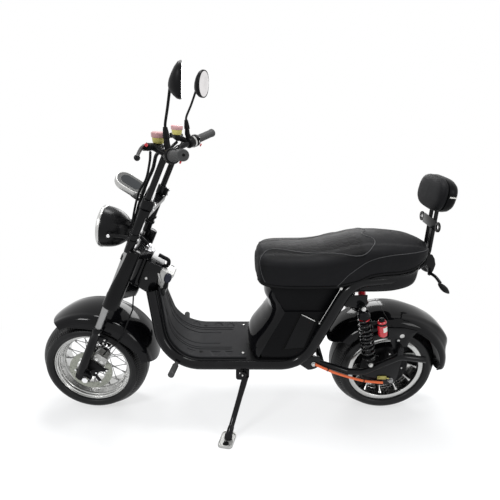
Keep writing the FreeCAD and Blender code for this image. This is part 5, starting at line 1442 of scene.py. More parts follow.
# Battery case by height: front x, ridge x and half width, back x and half width
CASE_LEVELS = ((352.0, 108.0, 98.0, 144.0, 256.0, 146.0), (376.0, 102.0, 93.0, 148.0, 270.0, 148.0),
               (414.0, 90.0, 112.0, 142.5, 294.0, 142.0), (500.0, 122.0, 158.0, 129.0, 342.0, 128.0),
               (560.0, 145.0, 190.0, 120.0, 371.0, 119.0), (564.0, 146.5, 191.0, 117.0, 373.0, 116.0),
               (566.0, 147.0, 188.0, 108.0, 374.0, 108.0), (620.0, 164.0, 156.0, 109.0, 399.0, 109.0),
               (681.0, 164.0, 120.0, 110.0, 425.0, 110.0))
CASE_FRONT_HALF = 50.0
# Front cover by height: x of its front, x of its side edges, half width
COVER_LEVELS = ((350.0, 47.0, 84.0, 144.5), (368.0, 40.0, 90.0, 148.0), (395.0, 38.0, 103.0, 146.5),
                (420.0, 46.0, 115.0, 143.2), (450.0, 66.0, 131.0, 138.0), (490.0, 94.0, 153.0, 131.0),
                (540.0, 121.0, 180.0, 123.8), (560.0, 126.0, 189.0, 120.0), (575.0, 122.0, 180.0, 112.0),
                (590.0, 116.0, 173.0, 109.6), (615.0, 107.0, 158.0, 110.0), (635.0, 110.0, 148.0, 109.0),
                (650.0, 117.0, 147.0, 108.0), (668.0, 130.0, 150.0, 107.0))
# Tail tray along the bike: x, half width, underside, rim
TRAY_STATIONS = ((476.0, 134.0, 650.0, 694.0), (492.0, 134.5, 655.0, 706.0), (512.0, 134.0, 654.0, 720.0),
                 (550.0, 132.0, 653.0, 734.0), (611.0, 129.0, 655.0, 738.0), (661.0, 125.0, 663.0, 742.0),
                 (690.0, 120.0, 671.0, 750.0), (708.0, 114.0, 680.0, 760.0), (718.0, 107.0, 694.0, 769.0),
                 (724.0, 98.0, 716.0, 775.0))
MAT_GROOVES = ((0.30, 2.3), (0.50, 2.3), (0.60, 2.3))
MAT_WIDTHS = ((354.0, 140.0), (366.0, 137.0), (376.0, 133.0), (420.0, 118.0), (511.0, 86.0),
              (606.0, 56.0), (640.0, 48.0))
MAT_HALF = MAT_WIDTHS[0][1]
# Mat's rounded edge, and the depths of its grooves and of its sunk pads
MAT_EDGE = 4.0
GROOVE_DEPTH = 2.8
PAD_DEPTH = 2.2
# Sunk pads: shares of the half width between which they lie, and their runs along the floor
PAD_SHARES = (0.70, 0.93)
PAD_RUNS = ((58.0, 96.0), (112.0, 158.0), (222.0, 262.0))


@dataclass
class Bodywork:
    """Battery case, covers, tail tray, floor mat, neck and lock panel."""

    make: Builder
    slope: float = math.radians(80.0)
    floor_z: float = 354.0
    floor_end: float = 33.0
    leg_x: float = -285.0
    bend: float = 150.0

    def build(self) -> None:
        """Every panel between the wheels."""
        self.case()
        self.doors()
        self.cover()
        self.tray()
        self.pan()
        self.mat()
        self.neck()
        self.lock()

    @staticmethod
    def flank(x: float, z: float, out: float, side: int) -> Vector:
        """Place on the case's flared flank, lifted outwards."""
        rows = [(row[0], row[3]) for row in CASE_LEVELS]
        for (low, first), (high, second) in zip(rows, rows[1:]):
            if z <= high:
                share = max(0.0, (z - low) / (high - low))
                return Vector((x, side * (first + (second - first) * share + out), z))
        return Vector((x, side * (rows[-1][1] + out), z))

    def case(self) -> None:
        """Case with chamfered front corners, flared flanks and a recessed upper panel."""
        shape = Shape()
        rings = []
        for z, front, ridge, wide, back, rear in CASE_LEVELS:
            half = [(front, CASE_FRONT_HALF), (ridge, wide), ((ridge + back) / 2, (wide + rear) / 2),
                    (back, rear)]
            rings.append([Vector((x, y, z)) for x, y in half]
                         + [Vector((x, -y, z)) for x, y in reversed(half)])
        shape.loft(rings)
        self.make.piece("case_shell", shape, Body.FRAME, Finishes.case, ["battery_case"],
                        bevel=3.0, sharp=20.0, segments=3)

    def doors(self) -> None:
        """Raised door panels, the painted shade in the groove round them, their bright top edge and the strut
        beside them.
        """
        shape = Shape()
        corners = ((258.0, 556.0), (316.0, 526.0), (274.0, 408.0), (192.0, 402.0))
        bright = Shape()
        groove = Shape()
        for side in SIDES:
            rings = []
            for out, inset in ((0.2, 0.0), (4.6, 0.0), (6.0, 1.8)):
                places = [self.flank(x, z, out, side) for x, z in corners]
                rings.append([place + (Vector((265.0, place.y, 467.0)) - place).normalized() * inset
                              for place in places])
            shape.loft(rings)
            # A near-black sheet under each door's edge paints the shade in the groove round it
            dark = ((251.0, 560.0), (321.0, 531.0), (280.0, 402.0), (182.0, 396.0))
            groove.slab([self.flank(x, z, 0.6, side) for x, z in dark], Y_AXIS * side * 0.5)
            bright.rod(self.flank(259.0, 557.0, 6.6, side), self.flank(316.0, 528.0, 6.6, side), 1.8)
            top = Vector((407.0, side * 139.0, 685.0))
            foot = Vector((333.0, side * 139.0, 522.0))
            bright.rod(top, foot, 1.3)
            bright.rod(top - Y_AXIS * side * 8, top + Y_AXIS * side * 6, 6.5, 2.0)
            bright.rod(foot - Y_AXIS * side * 30, foot + Y_AXIS * side * 2.5, 3.5, 1.0)
        self.make.piece("case_doors", shape, Body.FRAME, Finishes.satin, ["side_panels"], bevel=1.2)
        self.make.piece("door_grooves", groove, Body.FRAME, Finishes.painted_shade)
        self.make.piece("case_struts", bright, Body.FRAME, Finishes.steel)

    def cover(self) -> None:
        """Glossy cover wrapped from ridge to ridge, waisted below the seat."""
        shape = Shape()
        low = COVER_LEVELS[0][0]
        height = COVER_LEVELS[-1][0] - low
        levels = 66
        steps = 48
        rings = []
        for level in range(levels + 1):
            z = low + height * level / levels
            front, edge, half = columns_at(COVER_LEVELS, z)
            skin = []
            for k in range(steps + 1):
                ahead, across = squared(math.pi * (k / steps - 0.5), 1.0, 0.9)
                skin.append(Vector((edge - (edge - front) * ahead, half * across, z)))
            back = [Vector((edge + 3.0, skin[k].y * 0.96, z)) for k in (steps, steps // 2, 0)]
            rings.append(skin + back)
        shape.loft(rings)
        self.make.piece("case_front_cover", shape, Body.FRAME, Finishes.gloss, ["front_cover"],
                        sharp=50.0)

    def tray(self) -> None:
        """Tail tray: a trough with a rounded belly and a rolled rim."""
        shape = Shape()
        rings = []
        first = TRAY_STATIONS[0][0]
        length = TRAY_STATIONS[-1][0] - first
        steps = 60
        for step in range(steps + 1):
            x = first + length * (1 - (1 - step / steps) ** 1.5)
            half, low, high = columns_at(TRAY_STATIONS, x)
            radius = min(26.0, (high - low) * 0.6)
            outer = []
            for k in range(9):
                turn = math.pi / 2 * k / 8
                outer.append((half - 6.0 - radius + radius * math.sin(turn),
                              low + radius - radius * math.cos(turn)))
            outer.append((half - 3.5, (low + high) / 2 + 8.0))
            outer += [(half - 2.0, high - 12.0), (half, high - 8.5), (half + 2.2, high - 5.0),
                      (half + 2.4, high - 2.0), (half + 0.4, high)]
            inner = [(half - 4.0, high - 1.0), (half - 6.5, high - 14.0), (half - 8.0, low + radius),
                     (half - 10.0 - radius, low + 4.0)]
            ring = [Vector((x, y, z)) for y, z in outer + inner]
            rings.append(ring + [Vector((p.x, -p.y, p.z)) for p in reversed(ring)])
        shape.loft(rings)
        self.make.piece("tail_trough", shape, Body.FRAME, Finishes.tray, ["tail_tray"], sharp=45.0)

    @property
    def reach(self) -> float:
        """Length that the floor's bend takes off each of its straights."""
        return self.bend * math.tan(self.slope / 2)

    @property
    def flat(self) -> float:
        """Length of the floor's level part."""
        return self.floor_end - self.leg_x - self.reach

    def floor(self, along: float) -> tuple[Vector, Vector]:
        """Place on the floor's curve at a distance from its rear end, and its normal."""
        if along <= self.flat:
            return Vector((self.floor_end - along, 0.0, self.floor_z)), Z_AXIS.copy()
        turned = (along - self.flat) / self.bend
        centre = Vector((self.leg_x + self.reach, 0.0, self.floor_z + self.bend))
        turn = min(turned, self.slope)
        normal = Vector((math.sin(turn), 0.0, math.cos(turn)))
        rest = max(0.0, turned - self.slope) * self.bend
        place = centre - normal * self.bend + Vector((-math.cos(turn), 0.0, math.sin(turn))) * rest
        return place, normal

    def pan(self) -> None:
        """Sheet under the mat that closes the space between the rails."""
        shape = Shape()
        rings = []
        whole = self.leg_length()
        for i in range(101):
            along = -215.0 + (whole + 205.0) * i / 100
            place, normal = self.floor(along)
            half = between(MAT_WIDTHS, place.z) + 12.0
            rings.append([place + Y_AXIS * y - normal * low
                          for y, low in ((-half, 6.4), (half, 6.4), (half, 10.4), (-half, 10.4))])
        shape.loft(rings)
        self.make.piece("floor_sheet", shape, Body.FRAME, Finishes.satin, ["floor_pan"], sharp=40.0)

    def mat(self) -> None:
        """Rubber mat with long grooves, pads, slots and two screws; the shade in the slots and the screw
        sockets is painted.
        """
        shape = Shape()
        rows = []
        steps = 150
        columns = 112
        whole = self.leg_length()
        for i in range(steps + 1):
            along = whole * i / steps
            place, normal = self.floor(along)
            half = between(MAT_WIDTHS, place.z)
            row = []
            for j in range(columns + 1):
                share = -1 + 2 * j / columns
                lift = self.relief(along, share, place.z)
                row.append(place + Y_AXIS * (share * half) + normal * lift)
            row += [place + Y_AXIS * y - normal * 4.8 for y in (half, -half)]
            rows.append(row)
        shape.grid(rows, False, True)
        for row in (rows[0], rows[-1]):
            shape.add(row, [tuple(range(len(row)))])
        self.make.piece("ribbed_mat", shape, Body.FRAME, Finishes.mat, ["floor_mat"], sharp=28.0)
        metal = Shape()
        # Near-black discs and ovals paint the shade in the screw sockets and in the mat's slots
        dark = Shape()
        for side in SIDES:
            metal.rod((18.0, side * 111.0, 352.0), (18.0, side * 111.0, 356.6), 5.2, 1.6)
            dark.rod((18.0, side * 111.0, 356.4), (18.0, side * 111.0, 356.9), 2.0, 0.2, 6)
            self.oval(dark, Vector((-169.0, side * 103.0, 352.0)), Z_AXIS, X_AXIS, 13.0, 6.0)
            place, normal = self.floor(whole - 128.0)
            up = normal.cross(Y_AXIS).normalized()
            self.oval(dark, place + Y_AXIS * side * 40.0 - normal * 2.0, normal, up, 19.0, 4.0)
        self.make.piece("mat_screws", metal, Body.FRAME, Finishes.steel)
        self.make.piece("mat_openings", dark, Body.FRAME, Finishes.painted_shade)

    def leg_length(self) -> float:
        """Length of the floor's curve from its rear end to the top of the leg shield."""
        rise = (640.0 - self.floor_z) / math.sin(self.slope) - self.reach
        return self.flat + self.bend * self.slope + rise

    @staticmethod
    def relief(along: float, share: float, z: float) -> float:
        """Height of the mat's pattern at a place."""
        across = abs(share)
        lift = 0.0
        fade = min(1.0, max(0.0, (along - 62.0) / 4.0)) * min(1.0, max(0.0, (660.0 - along) / 30.0))
        for groove, width in MAT_GROOVES:
            if groove == 0.30 and along < 118.0:
                continue
            off = abs(across - groove) * MAT_HALF
            lift -= GROOVE_DEPTH * max(0.0, 1 - (off / width) ** 4) * fade if off < width else 0.0
        near, far = PAD_SHARES
        if near < across < far and z < 380.0:
            for start, end in PAD_RUNS:
                lean = (across - near) * 60.0
                inside = min(along - start - lean, end - along - lean, (across - near) * MAT_HALF,
                             (far - across) * MAT_HALF)
                if inside > 0:
                    lift -= PAD_DEPTH * min(1.0, inside / 1.6)
        edge = (1 - across) * MAT_HALF
        if edge < MAT_EDGE:
            lift -= (MAT_EDGE - edge) ** 2 * 0.12
        return lift

    @staticmethod
    def oval(shape: Shape, centre: Vector, axis: Vector, along: Vector, long: float,
             short: float) -> None:
        """Add a thin oval plug that reads as an opening; in the dark finish it is painted shade."""
        across = axis.cross(along).normalized()
        ring = [centre + along * long * math.cos(a) + across * short * math.sin(a)
                for a in turns(32)]
        shape.slab(ring, axis * 2.6)

    def neck(self) -> None:
        """Head tube, its boxed gusset and the bolt on it."""
        stance = self.make.stance
        shape = Shape()
        w = stance.steer_w
        shape.rod(stance.fork(446, w, 0), stance.fork(594, w, 0), 27.0, 2.0, 48)
        for u in (449.0, 584.0):
            shape.rod(stance.fork(u, w, 0), stance.fork(u + 8, w, 0), 30.0, 2.0, 48)
        outline = [(592.0, w - 14.0), (592.0, -104.0), (530.0, -107.0), (466.0, -110.0), (452.0, -92.0),
                   (462.0, w - 16.0)]
        near = [stance.fork(u, at, -44.0) for u, at in outline]
        shape.slab(near, Y_AXIS * 88.0)
        web = ((-396.0, 690.0), (-350.0, 690.0), (-338.0, 612.0), (-346.0, 590.0), (-374.0, 588.0))
        shape.plate(web, -30.0, 60.0)
        shape.rod((-337.0, -36.0, 606.0), (-337.0, 36.0, 606.0), 20.0, 3.0)
        self.make.piece("neck_box", shape, Body.FRAME, Finishes.paint, ["head_neck"], bevel=3.0,
                        sharp=40.0, segments=3)
        bright = Shape()
        for side in SIDES:
            bright.rod((-388.0, side * 42.0, 681.0), (-388.0, side * 49.0, 681.0), 6.5, 2.4)
        self.make.piece("neck_bolts", bright, Body.FRAME, Finishes.steel)

    def lock(self) -> None:
        """Gloss plate at the top of the leg shield, with the lock knob and the bag hook."""
        face = Vector((math.sin(self.slope), 0.0, math.cos(self.slope)))
        up = Vector((-math.cos(self.slope), 0.0, math.sin(self.slope)))
        centre = Vector((-330.0, 0.0, 690.0))
        shape = Shape()
        outline = ((-26.0, -60.0), (26.0, -60.0), (40.0, -34.0), (46.0, 4.0), (38.0, 44.0), (24.0, 52.0),
                   (-24.0, 52.0), (-38.0, 44.0), (-46.0, 4.0), (-40.0, -34.0))
        shape.slab([centre + Y_AXIS * y + up * z for y, z in outline], face * -8.0)
        wedge = ((-338.0, 712.0), (-320.0, 716.0), (-276.0, 690.0), (-274.0, 684.0), (-322.0, 634.0),
                 (-334.0, 624.0), (-342.0, 650.0))
        shape.plate(wedge, -38.0, 76.0)
        shape.mark = 2
        turned = Matrix.Rotation(math.radians(20.0), 3, "Y")
        for side in SIDES:
            shape.ball((-299.0, side * 40.0, 678.0), (16.0, 11.0, 24.0), turned, 32)
        shape.mark = 1
        low = centre - up * 14.0
        shape.rod(low, low + face * 22.0, 21.0, 3.0, 40)
        shape.rod(low + face * 22.0, low + face * 34.0, 17.0, 3.0, 40)
        shape.box((-308.0, -42.0, 650.0), (16.0, 9.0, 44.0), turned)
        shape.box(low - up * 40.0 + face * 8.0, (14.0, 16.0, 52.0),
                  Matrix.Rotation(math.pi / 2 - self.slope, 3, "Y"))
        hook = [centre + up * 26.0 + face * 2, centre + up * 24.0 + face * 30.0,
                centre + up * 46.0 + face * 40.0, centre + up * 66.0 + face * 20.0,
                centre + up * 78.0 + face * 6.0]
        shape.tube(flowing(hook, 8), 8.2, 16)
        self.make.piece("lock_plate", shape, Body.FRAME, [Finishes.caliper, Finishes.satin, Finishes.knob],
                        ["lock_panel"], bevel=2.0, sharp=40.0)


# Lower and upper face of each yoke, up the fork
YOKES = ((402.0, 440.0), (600.0, 622.0), (800.0, 826.0))
RISER_Y = 122.0


@dataclass
class ForkEnd:
    """Fork legs, yokes, brake caliper, headlamp and instrument.

    Places are up the fork and forward of it, turns are in degrees.
    """

    make: Builder
    leg_y: float = 130.0
    caliper_turn: float = 52.0
    caliper_reach: float = 84.0
    disc_y: float = -86.0
    lamp_place: tuple[float, float] = (642.0, 169.0)
    lamp_tilt: float = 9.0
    pod_place: tuple[float, float] = (838.0, 136.0)
    pod_tilt: float = 33.0
    pod_roll: float = 22.0

    def build(self) -> None:
        """Everything on the fork below the handlebar."""
        self.sliders()
        self.tubes()
        self.shrouds()
        self.yokes()
        self.caliper()
        self.headlamp()
        self.bracket()
        self.pod()

    def sliders(self) -> None:
        """Lower legs with dust caps, axle feet and fender lugs."""
        stance = self.make.stance
        shape = Shape()
        bright = Shape()
        w = stance.fork_w
        for side in SIDES:
            y = side * self.leg_y
            outline = [(6.0, 0.0), (6.0, 15.5), (9.0, 18.6), (60.0, 18.8), (200.0, 18.8), (232.0, 19.0),
                       (236.0, 20.6), (258.0, 20.6), (262.0, 19.0), (262.0, 0.0)]
            shape.lathe(outline, stance.fork(0, w, y), stance.up_fork, 40, False)
            foot = ((w + 16.0, 22.0), (w + 17.5, 0.0), (w + 14.0, -16.0), (w - 2.0, -24.0), (4.0, -24.0),
                    (-14.0, -17.0), (-21.0, 0.0), (-15.0, 16.0), (0.0, 24.0))
            shape.slab([stance.fork(u, at, y - 12.5) for at, u in foot], Y_AXIS * 25.0)
            lug = ((w, 198.0), (w, 226.0), (-24.0, 222.0), (-24.0, 202.0))
            shape.slab([stance.fork(u, at, y - 6.0) for at, u in lug], Y_AXIS * 12.0)
            for u in (204.0, 220.0):
                bright.rod(stance.fork(u, -12.0, y + side * 5.0), stance.fork(u, -12.0, y + side * 10.0),
                           4.2, 1.2)
            bright.rod(stance.fork(246.0, w - 12.0, y + side * 12.0),
                       stance.fork(246.0, w - 16.0, y + side * 22.0), 3.6, 1.0)
        self.make.piece("slider_legs", shape, Body.STEERING, Finishes.fork_black, ["fork_sliders"],
                        bevel=2.0, sharp=40.0, segments=3)
        self.make.piece("slider_bolts", bright, Body.STEERING, Finishes.steel)

    def tubes(self) -> None:
        """Grey stanchions below the shrouds, thicker black tubes above them."""
        stance = self.make.stance
        shape = Shape()
        for side in SIDES:
            y = side * self.leg_y
            for mark, (low, high, radius) in enumerate(((120, 640, 15.0), (640, YOKES[-1][1], 16.5))):
                shape.mark = mark
                shape.rod(stance.fork(low, stance.fork_w, y), stance.fork(high, stance.fork_w, y),
                          radius, 0.6, 36)
        self.make.piece("fork_stanchions", shape, Body.STEERING, [Finishes.stanchion, Finishes.fork_black],
                        ["fork_tubes"], sharp=40.0)

    def shrouds(self) -> None:
        """Oval covers with rounded mouths around the tops of the legs."""
        stance = self.make.stance
        shape = Shape()
        levels = ((375.0, 0.9), (377.0, 0.96), (381.0, 1.0), (440.0, 1.0), (520.0, 1.0), (600.0, 1.0),
                  (649.0, 1.0), (653.0, 0.96), (655.0, 0.86))
        mouth = levels[0][0]
        reach = levels[-1][0] - mouth
        for side in SIDES:
            rings = []
            for u, grow in levels:
                share = (u - mouth) / reach
                depth = (34.0 - 8.0 * share) * grow
                width = (24.5 - 2.5 * share) * grow
                middle = stance.fork(u, 18.0 - 8.0 * share, side * self.leg_y)
                rings.append([middle + stance.ahead_fork * depth * math.cos(turn)
                              + Y_AXIS * width * math.sin(turn) for turn in turns(48)])
            shape.loft(rings)
        self.make.piece("leg_shrouds", shape, Body.STEERING, Finishes.shroud, ["fork_shrouds"],
                        sharp=50.0)

    def yokes(self) -> None:
        """Lower, middle and upper yokes, the stem, its chrome nut and the riser clamps."""
        stance = self.make.stance
        shape = Shape()
        w = stance.steer_w
        tube = stance.fork_w
        for low, high in YOKES:
            half = [(w - 24.0, 18.0), (w - 18.0, 26.0), (tube - 22.0, 108.0), (tube - 24.0, 132.0),
                    (tube - 14.0, 142.0), (tube + 10.0, 142.0), (tube + 18.0, 134.0),
                    (tube + 18.0, 112.0), (tube - 2.0, 60.0), (tube - 8.0, 18.0)]
            if high == YOKES[-1][1]:
                half = [(8.0, 40.0), (8.0, 112.0), (tube - 24.0, 132.0), (tube - 14.0, 142.0),
                        (tube + 10.0, 142.0), (tube + 18.0, 134.0), (tube + 18.0, 112.0),
                        (44.0, 60.0)]
            outline = half + [(at, -y) for at, y in reversed(half)]
            shape.slab([stance.fork(low, at, y) for at, y in outline], stance.up_fork * (high - low))
        nut_foot = YOKES[1][1]
        shape.rod(stance.fork(YOKES[0][0], w, 0), stance.fork(nut_foot, w, 0), 14.0)
        for side in SIDES:
            base = stance.fork(YOKES[-1][1], 34.0, side * RISER_Y)
            shape.rod(base, base + stance.up_fork * 40.0, 19.0, 3.0, 40)
            block = stance.fork(846.0, 18.0, side * RISER_Y)
            shape.box(block, (26.0, 26.0, 34.0), Matrix.Rotation(math.radians(25.0), 3, "Y"))
            for u in (690.0, 716.0):
                middle = stance.fork(u, tube, side * self.leg_y)
                shape.rod(middle - stance.up_fork * 6, middle + stance.up_fork * 6, 21.0, 2.0, 40)
        self.make.piece("yoke_set", shape, Body.STEERING, Finishes.fork_black, ["fork_clamps"],
                        bevel=2.4, sharp=40.0, segments=3)
        bright = Shape()
        bright.rod(stance.fork(nut_foot, w, 0), stance.fork(nut_foot + 5, w, 0), 21.0, 1.5, 40)
        bright.nut(stance.fork(nut_foot + 5, w, 0), stance.up_fork, 17.5, 12.0)
        bright.rod(stance.fork(nut_foot + 17, w, 0), stance.fork(nut_foot + 23, w, 0), 11.0, 2.0)
        for side in SIDES:
            for u in (836.0, 856.0):
                foot = stance.fork(u, 4.0, side * RISER_Y)
                bright.rod(foot, foot - stance.ahead_fork * 5.0, 4.2, 1.2)
        self.make.piece("stem_nut", bright, Body.STEERING, Finishes.chrome)

    def caliper(self) -> None:
        """Cast caliper over the disc, on its black bracket plate."""
        stance = self.make.stance
        angle = math.radians(self.caliper_turn)
        out = Vector((math.cos(angle), 0.0, math.sin(angle)))
        along = Vector((-out.z, 0.0, out.x))
        middle = stance.axle_front + out * self.caliper_reach + Y_AXIS * self.disc_y
        shape = Shape()

        def cheek(outline: Outline, low: float, high: float) -> None:
            """Add a plate that is parallel to the disc."""
            shape.slab([middle + along * a + out * r + Y_AXIS * low for a, r in outline],
                       Y_AXIS * (high - low))

        block = ((-30.0, -20.0), (-18.0, -25.0), (18.0, -25.0), (30.0, -20.0), (32.0, 8.0),
                 (24.0, 30.0), (-24.0, 30.0), (-32.0, 8.0))
        cheek(block, -21.5, -5.5)
        cheek(block, 5.5, 21.5)
        cheek(((-24.0, 16.0), (24.0, 16.0), (24.0, 31.0), (-24.0, 31.0)), -8.0, 8.0)
        shape.mark = 1
        for a in (-13.0, 13.0):
            face = middle + along * a - Y_AXIS * 21.0
            shape.rod(face, face - Y_AXIS * 3.0, 10.0, 1.5, 32)
        for a, r in ((-26.0, 14.0), (26.0, 14.0), (0.0, 26.0)):
            shape.nut(middle + along * a + out * r - Y_AXIS * 21.0, -Y_AXIS, 5.0, 4.0)
        shape.mark = 2
        cheek(((-56.0, -6.0), (-30.0, -36.0), (10.0, -62.0), (34.0, -60.0), (44.0, -34.0),
               (36.0, -14.0), (-36.0, -14.0)), -30.0, -24.0)
        self.make.piece("caliper_body", shape, Body.STEERING,
                        [Finishes.caliper, Finishes.steel, Finishes.satin], ["brake_caliper"],
                        bevel=1.6, sharp=35.0)

    def lamp_axis(self) -> tuple[Vector, Vector]:
        """Centre of the headlamp's ring and the way it looks."""
        tilt = math.radians(self.lamp_tilt)
        return (self.make.stance.fork(*self.lamp_place, 0.0),
                Vector((-math.cos(tilt), 0.0, math.sin(tilt))))

    def headlamp(self) -> None:
        """Gloss bullet shell, rolled chrome ring, reflector and clear lens."""
        centre, ahead = self.lamp_axis()
        shape = Shape()
        curve = ((0.5, 83.6), (-6.0, 84.0), (-28.0, 81.0), (-50.0, 74.5), (-70.0, 63.5), (-86.0, 50.0),
                 (-98.0, 34.0), (-105.0, 18.0), (-108.0, 0.0))
        knots = [Vector((a, r, 0.0)) for a, r in curve]
        outline = [(p.x, max(0.0, p.y)) for p in flowing(knots, 5)]
        shape.lathe(outline, centre, ahead, 96, False)
        shape.mark = 1
        ring = [(0.0, 78.0), (0.0, 84.0), (1.5, 86.6), (5.0, 87.6), (9.0, 87.2), (12.0, 85.6), (14.5, 82.5),
                (15.0, 79.5), (13.0, 77.0), (6.0, 77.0)]
        shape.lathe(ring, centre, ahead, 96, True)
        shape.mark = 2
        bowl = [(10.0, 77.0), (2.0, 76.0), (-14.0, 68.0), (-32.0, 48.0), (-42.0, 24.0), (-44.0, 0.0)]
        shape.lathe(bowl, centre, ahead, 64, False)
        self.make.piece("headlamp_shell", shape, Body.STEERING,
                        [Finishes.lamp, Finishes.polished, Finishes.reflector], ["headlight_shell"],
                        sharp=45.0)
        lens = Shape()
        dome = [(10.0, 76.8), (12.5, 72.0), (16.5, 58.0), (20.0, 38.0), (22.0, 18.0), (22.6, 0.0)]
        back = [(19.6, 0.0), (17.0, 38.0), (13.5, 58.0), (9.6, 72.0), (8.0, 76.8)]
        lens.lathe(dome + back, centre, ahead, 64, True)
        self.make.piece("headlamp_lens", lens, Body.STEERING, Finishes.lens, ["headlight_lens"],
                        sharp=50.0)

    def bracket(self) -> None:
        """Forged arms from the fork tubes to the lamp's sides, with their bolts."""
        stance = self.make.stance
        shape = Shape()
        bright = Shape()
        for side in SIDES:
            tube = stance.fork(690.0, stance.fork_w, side * self.leg_y)
            start = tube + stance.ahead_fork * 18.0 - Y_AXIS * side * 10.0
            bolt = stance.fork(652.0, 128.0, side * 92.0)
            shape.tube(flowing([start, stance.fork(682.0, 72.0, side * 112.0),
                                stance.fork(664.0, 106.0, side * 96.0), bolt], 6), 7.0, 14)
            shape.rod(bolt - Y_AXIS * side * 14.0, bolt + Y_AXIS * side * 4.0, 10.5, 2.0, 32)
            bright.rod(bolt + Y_AXIS * side * 3.0, bolt + Y_AXIS * side * 8.0, 7.0, 2.0)
            rear = stance.fork(676.0, 48.0, side * 118.0)
            bright.rod(rear + Y_AXIS * side * 3.0, rear + Y_AXIS * side * 9.0, 5.5, 1.6)
        self.make.piece("lamp_arms", shape, Body.STEERING, Finishes.satin, ["headlight_bracket"],
                        sharp=40.0)
        self.make.piece("lamp_bolts", bright, Body.STEERING, Finishes.chrome)

    def pod(self) -> None:
        """Round-ended instrument: silver case, dark glass face, arm and cable socket."""
        stance = self.make.stance
        turn = (Matrix.Rotation(math.radians(self.pod_tilt), 3, "Y")
                @ Matrix.Rotation(math.radians(self.pod_roll), 3, "X"))
        origin = stance.fork(*self.pod_place, 0.0)
        shape = Shape()

        def ring(length: float, width: float, height: float) -> list[Vector]:
            run = (length - width) / 2
            points = []
            for end in (1, -1):
                for k in range(25):
                    a = -math.pi / 2 + math.pi * k / 24
                    points.append(Vector((end * (run + width / 2 * math.cos(a)),
                                          end * width / 2 * math.sin(a), height)))
            return [origin + turn @ p for p in points]

        shape.loft([ring(112, 70, -4.0), ring(120, 78, 0.0), ring(125, 83, 5.0), ring(126, 84, 14.0),
                    ring(126, 84, 20.0), ring(124, 82, 24.5), ring(119, 77, 26.0)])
        shape.mark = 1
        shape.loft([ring(118, 76, 25.8), ring(117, 75, 27.2), ring(100, 58, 27.4)])
        shape.mark = 2
        shape.loft([ring(86, 50, 27.3), ring(85, 49, 28.2)])
        shape.mark = 3
        foot = origin + turn @ Vector((30.0, 0.0, -24.0))
        shape.rod(foot, origin + turn @ Vector((30.0, 0.0, 0.0)), 10.0, 1.5)
        shape.tube(flowing([stance.fork(813.0, 44.0, 0.0), stance.fork(806.0, 84.0, 0.0),
                            stance.fork(812.0, 118.0, 0.0), foot], 8), 6.5, 14)
        self.make.piece("instrument_pod", shape, Body.STEERING,
                        [Finishes.bezel, Finishes.dial, Finishes.screen, Finishes.satin],
                        ["speedometer"], sharp=40.0)


# Inward turn of each mirror in degrees, by side
MIRROR_YAW = {-1: 9.0, 1: 19.0}
# Mirror shell: depth behind the glass, half width, half height, drop of its middle
MIRROR_RINGS = ((-1.6, 46.0, 53.0, 0.0), (-1.0, 47.5, 54.5, 0.0), (4.0, 48.0, 55.0, 0.0),
                (12.0, 46.0, 52.0, 1.5), (22.0, 38.0, 41.0, 5.0), (31.0, 26.0, 27.0, 10.0),
                (37.0, 13.0, 14.0, 14.0), (39.0, 5.0, 5.0, 16.0))
# Looms: side, radius and path of (up the fork, forward of it, out)
LOOMS = (
    (-1, 6.5, ((1050.0, 52.0, 158.0), (1024.0, 62.0, 124.0), (970.0, 62.0, 90.0), (900.0, 70.0, 58.0),
               (812.0, 70.0, 46.0), (740.0, 66.0, 34.0), (686.0, 74.0, 20.0))),
    (-1, 4.5, ((1048.0, 70.0, 200.0), (1004.0, 70.0, 150.0), (930.0, 68.0, 110.0), (860.0, 82.0, 72.0),
               (780.0, 78.0, 52.0), (700.0, 66.0, 40.0))),
    (1, 6.0, ((1050.0, 52.0, 158.0), (1020.0, 60.0, 118.0), (956.0, 58.0, 84.0), (880.0, 66.0, 52.0),
              (800.0, 72.0, 30.0), (700.0, 70.0, 18.0))),
    (1, 3.6, ((1050.0, 40.0, 226.0), (1006.0, 44.0, 190.0), (1000.0, 50.0, 140.0),
              (1012.0, 46.0, 104.0), (960.0, 54.0, 70.0), (860.0, 60.0, 40.0))),
    (1, 7.5, ((700.0, 60.0, 12.0), (660.0, 30.0, 6.0), (640.0, -6.0, 10.0), (600.0, -2.0, 34.0),
              (520.0, 6.0, 48.0))),
)


